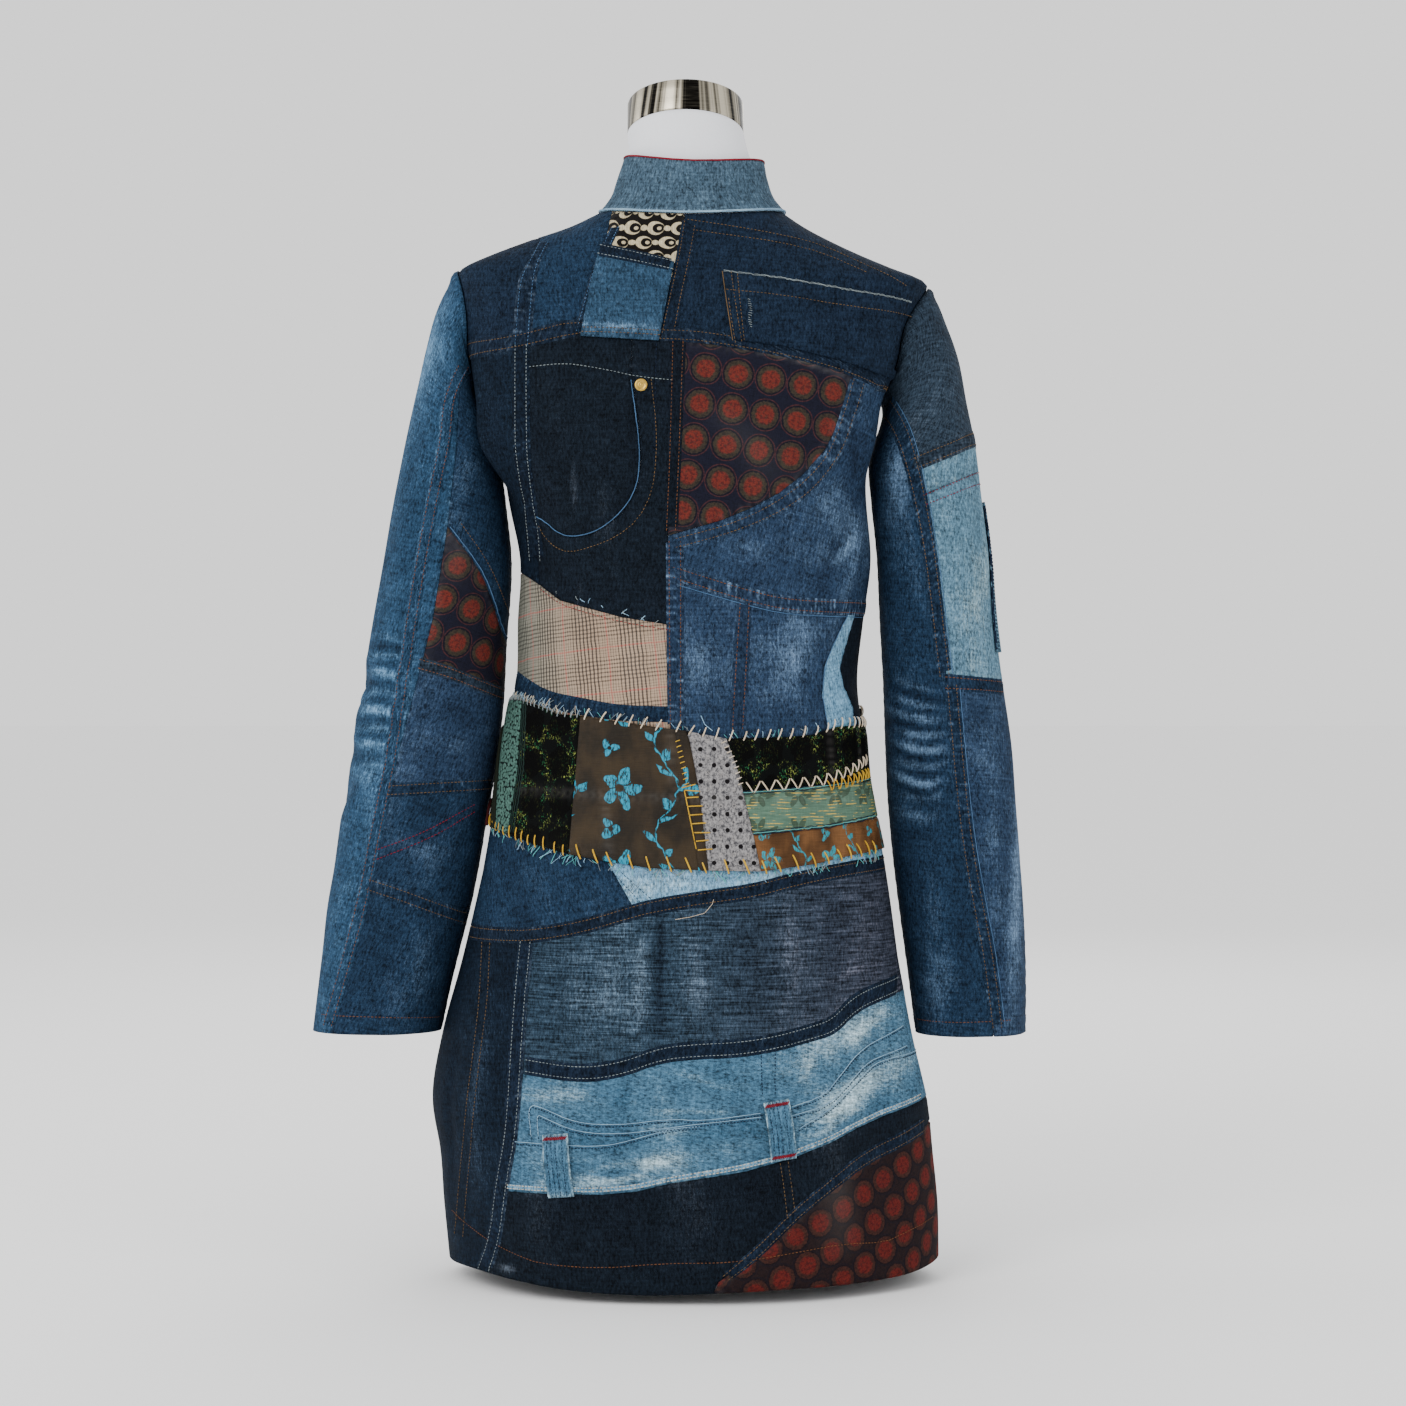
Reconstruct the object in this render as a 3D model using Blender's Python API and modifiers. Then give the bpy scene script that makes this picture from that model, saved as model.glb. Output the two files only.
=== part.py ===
"""Patchwork denim jacket on a limbless dress form, back towards -Y, standing on the floor at z = 0."""
import math
from collections import namedtuple

import bmesh
import bpy
import numpy as np
from mathutils import Vector

# Driving sizes, in metres unless a table says millimetres
MM = 0.001
WALL = 1.8 * MM
SEAM_GAP = 0.3 * MM
LIFT = 0.9 * MM
SIDE_SPLIT = 15 * MM
HEM_HEIGHT = 12
NECK_HEIGHT = 868
BODY_COLUMNS = 32
SLEEVE_COLUMNS = 14
ROW_STEP = 40
UPPER_LEVELS = (676, 696, 714, 730, 752, 775, 796, 809, 821, 833, 848, 868)

BodyRow = namedtuple("BodyRow", "height left right back front boxy tuck")

# The body of the jacket, level by level, in millimetres from the centre line
BODY = (
    BodyRow(12, 195, 200, 134, 124, 2.2, 0.00),
    BodyRow(58, 198, 198, 133, 123, 2.2, 0.00),
    BodyRow(100, 200, 194, 131, 121, 2.2, 0.00),
    BodyRow(142, 206, 190, 128, 119, 2.2, 0.00),
    BodyRow(198, 198, 179, 122, 115, 2.2, 0.00),
    BodyRow(255, 184, 171, 114, 110, 2.2, 0.00),
    BodyRow(339, 168, 159, 102, 101, 2.2, 0.00),
    BodyRow(405, 157, 146, 95, 96, 2.2, 0.00),
    BodyRow(451, 150, 142, 92, 93, 2.2, 0.00),
    BodyRow(486, 143, 138, 90, 92, 2.2, 0.00),
    BodyRow(536, 141, 142, 91, 95, 2.2, 0.00),
    BodyRow(584, 139, 148, 94, 100, 2.2, 0.00),
    BodyRow(629, 153, 149, 99, 107, 2.4, 0.03),
    BodyRow(676, 184, 166, 104, 112, 2.6, 0.16),
    BodyRow(712, 184, 168, 104, 110, 2.8, 0.13),
    BodyRow(737, 184, 173, 101, 105, 3.0, 0.07),
    BodyRow(773, 185, 179, 95, 93, 3.0, 0.00),
    BodyRow(800, 188, 191, 87, 79, 3.0, 0.00),
    BodyRow(809, 189, 193, 84, 75, 2.9, 0.00),
    BodyRow(821, 187, 166, 79, 69, 2.7, 0.00),
    BodyRow(831, 167, 143, 75, 66, 2.6, 0.00),
    BodyRow(843, 136, 118, 71, 64, 2.5, 0.00),
    BodyRow(855, 102, 96, 68, 62, 2.3, 0.00),
    BodyRow(868, 75, 77, 63, 60, 2.1, 0.00),
)

Fold = namedtuple("Fold", "angle width low high depth drift")

# Soft folds of the body: where round the body and how wide, in degrees; between which heights; depth in mm
FOLDS = (
    Fold(-100, 16, -60, 330, 7, 4),
    Fold(-62, 15, -60, 240, -5, -3),
    Fold(-15, 9, 120, 300, -3, 2),
    Fold(14, 14, -60, 330, 4, 3),
    Fold(48, 12, -60, 300, -5, 4),
    Fold(82, 14, -60, 260, 5, -4),
    Fold(118, 16, -60, 320, -6, 5),
    Fold(152, 12, -60, 260, 5, -3),
    Fold(-132, 15, -60, 280, -5, 4),
    Fold(-158, 12, -60, 240, 5, 3),
    Fold(-74, 14, 560, 720, -4, -16),
    Fold(62, 12, 590, 740, -4, 10),
    Fold(70, 14, 440, 560, -3, -20),
    Fold(-66, 14, 440, 590, -3, 18),
    Fold(125, 14, 560, 700, -4, -18),
    Fold(-125, 14, 560, 700, -4, 18),
)


def smooth_step(low, high, value):
    """Rise softly from 0 at low to 1 at high."""
    t = np.clip((value - low) / (high - low), 0.0, 1.0)
    return t * t * (3.0 - 2.0 * t)


def along(rows, column, where, key):
    """Read one column of a table at any place, on a smooth curve through the rows."""
    xs = np.array([getattr(row, key) for row in rows], dtype=float)
    ys = np.array([getattr(row, column) for row in rows], dtype=float)
    slopes = np.gradient(ys, xs)
    where = np.clip(where, xs[0], xs[-1])
    index = np.clip(np.searchsorted(xs, where, side="right") - 1, 0, len(xs) - 2)
    span = xs[index + 1] - xs[index]
    t = (where - xs[index]) / span
    rise = ys[index + 1] - ys[index]
    lead = slopes[index] * span - rise
    tail = rise - slopes[index + 1] * span
    return ys[index] + t * rise + t * (1 - t) * ((1 - t) * lead + t * tail)


def rounded_box(angle, boxy):
    """Point of a unit oval: 2 is a circle, more is squarer. Returns the sideways and backward parts."""
    sine = np.sin(np.radians(angle))
    cosine = np.cos(np.radians(angle))
    size = (np.abs(sine) ** boxy + np.abs(cosine) ** boxy) ** (1.0 / boxy)
    return sine / size, cosine / size


def fold_depth(angle, height, folds=FOLDS):
    """Sum of the soft folds at a place on the body, in millimetres outwards."""
    total = np.zeros(np.broadcast(angle, height).shape)
    for fold in folds:
        middle = 0.5 * (fold.low + fold.high)
        reach = 0.5 * (fold.high - fold.low)
        rise = (height - middle) / reach
        centre = fold.angle + fold.drift * rise
        across = (angle - centre + 180.0) % 360.0 - 180.0
        window = np.clip(1.0 - rise * rise, 0.0, 1.0)
        total = total + fold.depth * np.exp(-(across / fold.width) ** 2) * window
    return total


def body_level(angle, height):
    """Height above the floor: the neckline dips at the front and back, and the hem rises at the sides."""
    turn = np.radians(angle)
    neck_dip = -9.0 * np.clip(np.cos(turn), 0, 1) ** 2 - 24.0 * np.clip(-np.cos(turn), 0, 1) ** 2
    hem_lift = -3.0 + 8.0 * np.sin(turn) ** 2 + 1.5 * np.sin(5 * turn)
    neck = smooth_step(815.0, NECK_HEIGHT, height)
    hem = 1.0 - smooth_step(HEM_HEIGHT, 120.0, height)
    return height + neck_dip * neck + hem_lift * hem


def body_surface(angle, height, folded=True):
    """Outer face of the cloth, in metres: angle 0 is the centre back, +90 the right side, 180 the front."""
    angle = np.asarray(angle, dtype=float)
    height = np.asarray(height, dtype=float)
    across, facing = rounded_box(angle, along(BODY, "boxy", height, "height"))
    side = np.where(across > 0, along(BODY, "right", height, "height"), along(BODY, "left", height, "height"))
    deep = np.where(facing > 0, along(BODY, "back", height, "height"), along(BODY, "front", height, "height"))
    tuck = along(BODY, "tuck", height, "height") * smooth_step(-0.60, -0.10, -facing)
    bulge = fold_depth(angle, height) if folded else 0.0
    x = (side * (1.0 - tuck) + bulge) * across
    y = -(deep + bulge) * facing
    return np.stack([x, y, body_level(angle, height)], axis=-1) * MM


def body_side(side, y, height):
    """Distance of the body's side from the centre line at a depth y, in millimetres."""
    key = "right" if side > 0 else "left"
    boxy = along(BODY, "boxy", height, "height")
    deep = np.where(y < 0, along(BODY, "back", height, "height"), along(BODY, "front", height, "height"))
    facing = np.abs(y) / deep
    tuck = along(BODY, "tuck", height, "height") * smooth_step(-0.60, -0.10, y / deep)
    across = np.clip(1.0 - facing ** boxy, 0.0, 1.0) ** (1.0 / boxy)
    return along(BODY, key, height, "height") * (1.0 - tuck) * across


SleeveRow = namedtuple("SleeveRow", "down outer outer_z inner inner_z mid_y deep")

# Each sleeve's rings: distance down the sleeve, its outer and inner edge from the centre line and their
# heights, the ring's middle in depth and half its depth, in millimetres
LEFT_SLEEVE = (
    SleeveRow(0, 188, 822, 170, 729, 0, 46),
    SleeveRow(16, 199, 806, 172, 723, 1, 50),
    SleeveRow(34, 208, 786, 171, 716, 2, 55),
    SleeveRow(56, 216, 757, 167, 706, 4, 58),
    SleeveRow(82, 222, 731, 161, 694, 5, 60),
    SleeveRow(116, 230, 697, 158, 676, 7, 60),
    SleeveRow(149, 237, 664, 154, 652, 8, 59),
    SleeveRow(183, 244, 630, 151, 627, 10, 57),
    SleeveRow(228, 252, 585, 147, 585, 12, 55),
    SleeveRow(296, 264, 517, 151, 517, 13, 55),
    SleeveRow(350, 272, 463, 154, 463, 13, 55),
    SleeveRow(398, 280, 415, 160, 415, 14, 54),
    SleeveRow(437, 287, 376, 167, 376, 14, 53),
    SleeveRow(479, 293, 334, 174, 334, 15, 52),
    SleeveRow(513, 299, 300, 181, 300, 15, 51),
    SleeveRow(548, 303, 265, 190, 265, 16, 50),
    SleeveRow(581, 307, 232, 198, 232, 16, 48),
    SleeveRow(614, 311, 199, 205, 199, 17, 47),
)
RIGHT_SLEEVE = (
    SleeveRow(0, 192, 807, 149, 716, 0, 46),
    SleeveRow(14, 201, 798, 156, 713, 1, 50),
    SleeveRow(32, 210, 777, 158, 706, 2, 54),
    SleeveRow(60, 220, 749, 156, 695, 4, 57),
    SleeveRow(92, 227, 713, 151, 680, 5, 58),
    SleeveRow(124, 234, 680, 147, 662, 7, 57),
    SleeveRow(160, 239, 640, 149, 634, 8, 55),
    SleeveRow(212, 246, 585, 154, 585, 10, 53),
    SleeveRow(256, 250, 540, 156, 540, 11, 52),
    SleeveRow(310, 257, 486, 159, 486, 12, 52),
    SleeveRow(366, 265, 430, 161, 430, 13, 52),
    SleeveRow(408, 268, 388, 163, 388, 13, 52),
    SleeveRow(461, 272, 335, 168, 335, 14, 51),
    SleeveRow(508, 274, 288, 174, 288, 15, 50),
    SleeveRow(552, 275, 244, 180, 244, 16, 48),
    SleeveRow(599, 275, 197, 186, 197, 17, 46),
)
SLEEVE_BOXY = 2.15

# Soft folds of the sleeves, as those of the body: 0 is the back, 90 the outer side, -90 the inner side
LEFT_FOLDS = (
    Fold(40, 16, 120, 290, 3, -14),
    Fold(75, 14, 300, 350, -3, 30),
    Fold(60, 14, 345, 395, 3, -30),
    Fold(70, 15, 385, 440, -3, 25),
    Fold(-30, 18, 330, 470, -3, 10),
    Fold(150, 22, 260, 460, 4, -12),
    Fold(-20, 14, 430, 700, 3, 6),
    Fold(110, 18, 470, 720, -3, 5),
    Fold(-10, 14, 60, 180, -3, 20),
)
RIGHT_FOLDS = (
    Fold(-25, 14, 60, 210, -3, 20),
    Fold(20, 16, 150, 330, 3, -12),
    Fold(-35, 14, 290, 350, -3, 25),
    Fold(-20, 14, 340, 400, 3, -25),
    Fold(-35, 14, 390, 440, -3, 25),
    Fold(150, 22, 250, 450, 4, 12),
    Fold(10, 15, 420, 700, -3, 6),
    Fold(100, 18, 460, 700, 3, 5),
)
SLEEVES = {-1: (LEFT_SLEEVE, LEFT_FOLDS), 1: (RIGHT_SLEEVE, RIGHT_FOLDS)}

Armhole = namedtuple("Armhole", "middle_z half_z half_y")
ARMHOLES = {-1: Armhole(775.5, 45, 44), 1: Armhole(761, 45, 44)}
ARMHOLE_EASE = 1.2
CAP_BLEND = 14.0
SEAT_GAP = 0.8
CAP_RISE = 12.0


def sleeve_surface(side, angle, down):
    """Outer face of a sleeve, in metres; side is -1 for the left one and +1 for the right one."""
    rows, folds = SLEEVES[side]
    angle = np.asarray(angle, dtype=float)
    down = np.asarray(down, dtype=float)
    across, facing = rounded_box(angle, SLEEVE_BOXY)
    value = {key: along(rows, key, down, "down") for key in SleeveRow._fields[1:]}
    bulge = fold_depth(angle, down, folds)
    half = 0.5 * (value["outer"] - value["inner"])
    tilt = 0.5 * (value["outer_z"] - value["inner_z"])
    out = 0.5 * (value["outer"] + value["inner"]) + (half + bulge * np.abs(across)) * across
    z = 0.5 * (value["outer_z"] + value["inner_z"]) + tilt * across
    y = value["mid_y"] - (value["deep"] + bulge) * facing
    hole = ARMHOLES[side]
    seat_z = hole.middle_z + (hole.half_z + ARMHOLE_EASE) * across
    seat_y = -(hole.half_y + ARMHOLE_EASE) * facing
    inner = 1.0 - WALL / MM / hole.half_z
    inner_z = hole.middle_z + (seat_z - hole.middle_z) * inner
    seat = np.maximum(body_side(side, seat_y, seat_z), body_side(side, seat_y * inner, inner_z)) + SEAT_GAP
    blend = smooth_step(0.0, CAP_BLEND, down)
    out = seat + (out - seat) * blend + CAP_RISE * blend * (1.0 - blend)
    y = seat_y + (y - seat_y) * blend
    z = seat_z + (z - seat_z) * blend
    return np.stack([side * out, y, z], axis=-1) * MM


CollarRow = namedtuple("CollarRow", "up left right back front ahead")

# The stand collar and the form's neck: height above the neckline, half widths and depths, shift forwards
COLLAR = (
    CollarRow(0.0, 74, 78, 63, 60, 0),
    CollarRow(12, 65, 69, 60.5, 58, 1),
    CollarRow(26, 60, 64, 58, 57, 3),
    CollarRow(44, 54, 61, 56, 57, 7),
)
COLLAR_SEAT = 1.3
NeckRow = namedtuple("NeckRow", "height across middle_x middle_y deep lean")
NECK = (
    NeckRow(874, 62, 1, 0, 50, 0.0),
    NeckRow(886, 54, 1, 3, 49, 0.1),
    NeckRow(904, 51, 2, 8, 48, 0.5),
    NeckRow(920, 49, -1, 13, 48, 0.9),
    NeckRow(936.7, 48, -3.7, 17.9, 48, 1.0),
)
CAP_LEAN = math.radians(15.3)
CAP_RADIUS = 48 * MM
CAP_HEIGHT = 27.5 * MM
CAP_PLACE = (-3.7 * MM, 18 * MM, 937 * MM)
FORM_BOTTOM = 190
POLE_RADIUS = 14 * MM
BASE_RADIUS = 95 * MM
BASE_HEIGHT = 10 * MM
BASE_MIDDLE = (0.0, 8 * MM)

GapRow = namedtuple("GapRow", "height gap")

# How far the form's face lies inside the cloth's outer face: the shoulders carry the jacket
FORM_GAP = (
    GapRow(190, 36),
    GapRow(330, 22),
    GapRow(450, 14),
    GapRow(600, 13),
    GapRow(700, 11),
    GapRow(770, 6.5),
    GapRow(800, 4.0),
    GapRow(868, 3.6),
)


def collar_surface(angle, up):
    """Outer face of the stand collar, in metres, standing just above the neckline."""
    angle = np.asarray(angle, dtype=float)
    across, facing = rounded_box(angle, 2.1)
    side = np.where(across > 0, along(COLLAR, "right", up, "up"), along(COLLAR, "left", up, "up"))
    deep = np.where(facing > 0, along(COLLAR, "back", up, "up"), along(COLLAR, "front", up, "up"))
    x = side * across
    y = along(COLLAR, "ahead", up, "up") - deep * facing
    z = body_level(angle, NECK_HEIGHT) + COLLAR_SEAT + up * (1.0 - 0.04 * across)
    return np.stack([x, y, z], axis=-1) * MM


def back_angle(x, height):
    """Turn round the body at which its back lies a given distance sideways, all in millimetres."""
    side = np.where(x > 0, along(BODY, "right", height, "height"), along(BODY, "left", height, "height"))
    boxy = along(BODY, "boxy", height, "height")
    across = np.clip(x / side, -0.999, 0.999)
    return np.degrees(np.arctan2(across, (1.0 - np.abs(across) ** boxy) ** (1.0 / boxy)))


def moved_out(surface, first, second, out):
    """Points of a surface moved along its outward normal by a distance in metres."""
    point = surface(first, second)
    turn = surface(first + 0.4, second) - surface(first - 0.4, second)
    rise = surface(first, second + 0.4) - surface(first, second - 0.4)
    normal = np.cross(turn, rise)
    normal /= np.linalg.norm(normal, axis=-1, keepdims=True)
    return point + normal * np.asarray(out)[..., None]


def offset_rings(points, out):
    """Move closed rings of points along the normals that they themselves give."""
    turn = np.roll(points, -1, axis=1) - np.roll(points, 1, axis=1)
    rise = np.gradient(points, axis=0)
    normal = np.cross(turn, rise)
    normal /= np.linalg.norm(normal, axis=-1, keepdims=True)
    return points + normal * np.asarray(out)[..., None]


# Seams of the back, as they run on it: sideways from the centre back and up from the floor, in millimetres.
# A seam that leaves the back at a side runs on to 260 or 300, past the cloth.
SEAMS = {
    "yoke_1": ((-260, 747), (-132, 752)),
    "yoke_2": ((-132, 752), (-85, 760)),
    "yoke_3": ((-85, 760), (-46, 757)),
    "yoke_4": ((-46, 757), (-20, 755)),
    "yoke_5": ((-20, 755), (-10, 754)),
    "yoke_6": ((-10, 754), (40, 748), (90, 741), (130, 729)),
    "yoke_7": ((130, 729), (154, 723), (260, 716)),
    "yoke_left_strip": ((-112, 900), (-127, 804), (-132, 752)),
    "yoke_middle_strip": ((-58, 900), (-67, 835), (-78, 796), (-85, 760)),
    "yoke_right_strip": ((0, 900), (-7, 825), (-13, 787), (-20, 755)),
    "side_strip_1": ((-132, 752), (-133, 695), (-132, 660), (-127, 621)),
    "side_strip_2": ((-127, 621), (-121, 563)),
    "pocket_curve": (
        (-46, 757), (-45, 721), (-40, 690), (-38, 660), (-41, 638), (-53, 617), (-76, 602), (-93, 599), (-108, 605),
        (-127, 621)),
    "check_top_1": ((-260, 577), (-139, 575), (-121, 563)),
    "check_top_2": ((-121, 563), (-104, 550), (-87, 545), (-54, 536), (-17, 530)),
    "centre_1": ((-10, 754), (-14, 667), (-17, 600)),
    "centre_2": ((-17, 600), (-17, 574)),
    "centre_3": ((-17, 574), (-17, 530)),
    "centre_4": ((-17, 530), (-14, 393)),
    "dots_curve": (
        (130, 729), (127, 712), (118, 689), (107, 668), (89, 648), (71, 634), (49, 622), (25, 612), (-17, 600)),
    "rib_seam_1": ((-17, 574), (41, 557), (80, 547), (131, 546)),
    "rib_seam_2": ((131, 546), (136, 547)),
    "rib_seam_3": ((136, 547), (260, 547)),
    "crescent_left": ((131, 546), (116, 517), (108, 497), (106, 475), (110, 451), (114, 391)),
    "crescent_right": ((136, 547), (127, 517), (121, 497), (124, 482), (132, 465), (138, 391)),
    "waist_1": ((-260, 405), (-66, 395)),
    "waist_2": ((-66, 395), (-14, 393)),
    "waist_3": ((-14, 393), (114, 391)),
    "waist_4": ((114, 391), (138, 391)),
    "waist_5": ((138, 391), (260, 391)),
    "sky_edge": ((-66, 395), (-63, 340), (-44, 307)),
    "hip_1": ((-260, 283), (-178, 285), (-128, 287)),
    "hip_2": ((-128, 287), (-82, 295), (-44, 307)),
    "hip_3": ((-44, 307), (-23, 313), (14, 318), (52, 323), (82, 331), (129, 340), (260, 343)),
    "skirt_strip_1": ((-128, 287), (-129, 235), (-131, 176)),
    "skirt_strip_2": ((-131, 176), (-136, 132), (-143, 83)),
    "skirt_strip_3": ((-143, 83), (-154, 45), (-165, -20)),
    "slub_base": (
        (-131, 176), (-85, 173), (-48, 179), (-15, 191), (22, 195), (67, 200), (97, 206), (116, 215), (128, 228),
        (172, 235), (260, 237)),
    "bleach_base": (
        (-143, 83), (-109, 84), (-68, 85), (-41, 88), (-14, 95), (44, 104), (83, 114), (112, 124), (134, 133),
        (160, 141), (190, 148), (260, 150)),
    "corner_seam": (
        (260, 128), (188, 126), (162, 116), (140, 107), (119, 95), (102, 83), (83, 67), (55, 41), (23, 19), (5, -20)),
    "left_long_1": ((-140, 770), (-174, 741), (-184, 721), (-188, 668), (-195, 610)),
    "left_long_2": ((-195, 610), (-207, 536), (-216, 500)),
    "left_long_3": ((-216, 500), (-238, 416), (-242, 396)),
    "left_long_4": ((-242, 396), (-248, 375), (-260, 320)),
    "left_long_5": ((-260, 320), (-265, 303), (-277, 263), (-292, 199), (-298, 170)),
    "elbow_arc": ((-195, 610), (-175, 583), (-167, 569), (-160, 550), (-155, 530), (-148, 510), (-100, 500)),
    "elbow_base": ((-216, 500), (-151, 476), (-100, 470)),
    "slate_base": ((-242, 396), (-160, 402), (-100, 402)),
    "fore_base": ((-260, 320), (-203, 302), (-180, 300), (-100, 300)),
    "right_long_1": ((120, 760), (152, 724), (160, 708), (172, 689), (179, 657)),
    "right_long_2": ((179, 657), (185, 634)),
    "right_long_3": ((185, 634), (191, 609), (195, 575), (202, 532), (207, 490)),
    "right_long_4": ((207, 490), (212, 465), (217, 425), (220, 390), (226, 334), (236, 269), (245, 212), (250, 170)),
    "top_base": ((179, 657), (230, 677), (300, 704)),
    "light_base": ((185, 634), (233, 655), (300, 683)),
    "mint_base": ((207, 490), (252, 486), (300, 482)),
}

Panel = namedtuple("Panel", "name wall cloth outline depth", defaults=(None,))

# Each piece of the back: the wall it is cut from, its cloth, and the seams round it in order. A minus sign
# runs a seam backwards, and a corner outside the cloth is given by its two sizes. A piece reaches round to
# the side seam unless it names another depth, in metres.
PANELS = (
    Panel("yoke_left_outer", "body", "indigo_dark", ("yoke_left_strip", "-yoke_1", (-260, 900))),
    Panel("yoke_left_inner", "body", "indigo_dark", ("yoke_middle_strip", "-yoke_2", "-yoke_left_strip")),
    Panel("yoke_ring_insert", "body", "ring_cloth",
          ("yoke_right_strip", "-yoke_4", "-yoke_3", "-yoke_middle_strip")),
    Panel("yoke_right", "body", "indigo_dark", ("-yoke_right_strip", (260, 900), "-yoke_7", "-yoke_6", "-yoke_5")),
    Panel("back_left_side", "body", "indigo_mid", ("yoke_1", "side_strip_1", "side_strip_2", "-check_top_1")),
    Panel("back_pocket_bag", "body", "indigo_black", ("yoke_2", "yoke_3", "pocket_curve", "-side_strip_1")),
    Panel("back_pocket_panel", "body", "indigo_black",
          ("yoke_4", "yoke_5", "centre_1", "centre_2", "centre_3", "-check_top_2", "-side_strip_2", "-pocket_curve")),
    Panel("back_check", "body", "check_cloth", ("check_top_1", "check_top_2", "centre_4", "-waist_2", "-waist_1")),
    Panel("back_dots", "body", "dot_cloth", ("yoke_6", "dots_curve", "-centre_1")),
    Panel("back_right_side", "body", "indigo_mid",
          ("yoke_7", "-rib_seam_3", "-rib_seam_2", "-rib_seam_1", "-centre_2", "-dots_curve")),
    Panel("back_lower_middle", "body", "indigo_mid",
          ("rib_seam_1", "crescent_left", "-waist_3", "-centre_4", "-centre_3")),
    Panel("back_crescent", "body", "blue_light", ("rib_seam_2", "crescent_right", "-waist_4", "-crescent_left")),
    Panel("back_right_low", "body", "indigo_dark", ("rib_seam_3", "-waist_5", "-crescent_right")),
    Panel("skirt_upper_left", "body", "indigo_mid", ("waist_1", "sky_edge", "-hip_2", "-hip_1")),
    Panel("skirt_sky", "body", "blue_light", ("waist_2", "waist_3", "waist_4", "waist_5", "-hip_3", "-sky_edge")),
    Panel("skirt_left", "body", "indigo_mid",
          ("hip_1", "skirt_strip_1", "skirt_strip_2", "skirt_strip_3", (-260, -20))),
    Panel("skirt_slub", "body", "slub_slate", ("hip_2", "hip_3", "-slub_base", "-skirt_strip_1")),
    Panel("skirt_bleached", "body", "blue_bleached", ("slub_base", "-bleach_base", "-skirt_strip_2")),
    Panel("skirt_dark", "body", "indigo_black", ("bleach_base", "corner_seam", "-skirt_strip_3")),
    Panel("skirt_dots", "body", "dot_cloth", ("corner_seam", (260, -20))),
    Panel("sleeve_left_outer", "left", "indigo_blue",
          ("left_long_1", "left_long_2", "left_long_3", "left_long_4", "left_long_5", (-400, 170), (-400, 900),
           (-140, 900))),
    Panel("sleeve_left_upper", "left", "indigo_mid", ("left_long_1", "elbow_arc", (-100, 770))),
    Panel("sleeve_left_dots", "left", "dot_cloth", ("left_long_2", "elbow_base", "-elbow_arc")),
    Panel("sleeve_left_elbow", "left", "slub_slate", ("left_long_3", "slate_base", "-elbow_base")),
    Panel("sleeve_left_fore", "left", "indigo_dark", ("left_long_4", "fore_base", "-slate_base")),
    Panel("sleeve_left_cuff", "left", "indigo_mid", ("left_long_5", (-100, 170), "-fore_base")),
    Panel("sleeve_right_top", "right", "slub_slate", ("right_long_1", "top_base", (300, 900), (120, 900))),
    Panel("sleeve_right_strip", "right", "blue_light", ("right_long_2", "light_base", "-top_base")),
    Panel("sleeve_right_panel", "right", "blue_light", ("right_long_3", "mint_base", "-light_base")),
    Panel("sleeve_right_inner", "right", "indigo_dark",
          ("right_long_1", "right_long_2", "right_long_3", "right_long_4", (60, 170), (60, 760))),
    Panel("sleeve_right_lower", "right", "indigo_mid", ("mint_base", (300, 170), "-right_long_4")),
)

# Pieces that lie on the cloth, as plain outlines
LAID_ON = (
    Panel("yoke_blue_patch", "skin", "indigo_blue",
          ((-72, 829), (-12, 817), (-24, 753), (-86, 757), (-79, 796))),
    Panel("yoke_pocket", "skin", "indigo_dark",
          ((26, 809), (100, 800), (174, 791), (166, 757), (158, 728), (122, 738), (73, 749), (34, 754)), -0.045),
    Panel("band_left", "skin", "lurex_black",
          ((-260, 475), (-139, 471), (-121, 466), (-104, 459), (-86, 458), (-95, 348), (-122, 355), (-146, 363),
           (-163, 370), (-260, 377))),
    Panel("band_brocade", "skin", "brocade_brown",
          ((-86, 458), (-59, 454), (-33, 450), (-3, 446), (0, 438), (6, 402), (14, 336), (-33, 338), (-66, 343),
           (-95, 348))),
    Panel("band_grey", "skin", "grey_dotted",
          ((-3, 446), (29, 440), (40, 409), (42, 398), (50, 364), (56, 335), (14, 336), (6, 402), (0, 438))),
    Panel("band_lurex", "skin", "lurex_black",
          ((29, 440), (76, 441), (98, 443), (117, 449), (135, 450), (260, 457), (260, 413), (145, 405), (42, 398),
           (40, 409))),
    Panel("band_sage", "skin", "brocade_sage",
          ((42, 398), (145, 405), (260, 413), (260, 382), (150, 375), (110, 369), (50, 364))),
    Panel("band_rust", "skin", "brocade_brown",
          ((50, 364), (110, 369), (150, 375), (260, 382), (260, 356), (151, 349), (128, 346), (98, 340), (56, 335))),
)
BAND_FRONT_TOP = ((-260, 474), (0, 470), (260, 458))
BAND_FRONT_BASE = ((-260, 376), (0, 366), (260, 357))
SLEEVE_POCKET = ((236, 632), (244, 566), (249, 509), (300, 505), (300, 636))
PLACKET_HALF = 17
PLACKETS = {"placket_lower": (22, 360), "placket_upper": (478, 836)}
SLEEVE_SPLIT = 20 * MM
REACH = 0.4

# Where each belt loop is sewn down, and how far its ends lie off the smooth cloth, in millimetres
LoopPlace = namedtuple("LoopPlace", "name top_x top_z base_x base_z lift")
BELT_LOOPS = (
    LoopPlace("belt_loop_left", -104, 131, -99, 82, -0.1),
    LoopPlace("belt_loop_right", 67, 158, 73, 112, 0.15),
)
LOOP_HALF = 9.7
LOOP_RISE = 4.0 * MM
SKIN = 1.6 * MM

BUTTON_HEIGHTS = (505, 600, 695, 790)
STUD_SIDES = 14
BUTTON_RADIUS = 8.5 * MM
BUTTON_HEIGHT = 3.0 * MM
RIVET_PLACE = (-38, 718)
RIVET_RADIUS = 5.2 * MM
RIVET_HEIGHT = 2.0 * MM

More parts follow.
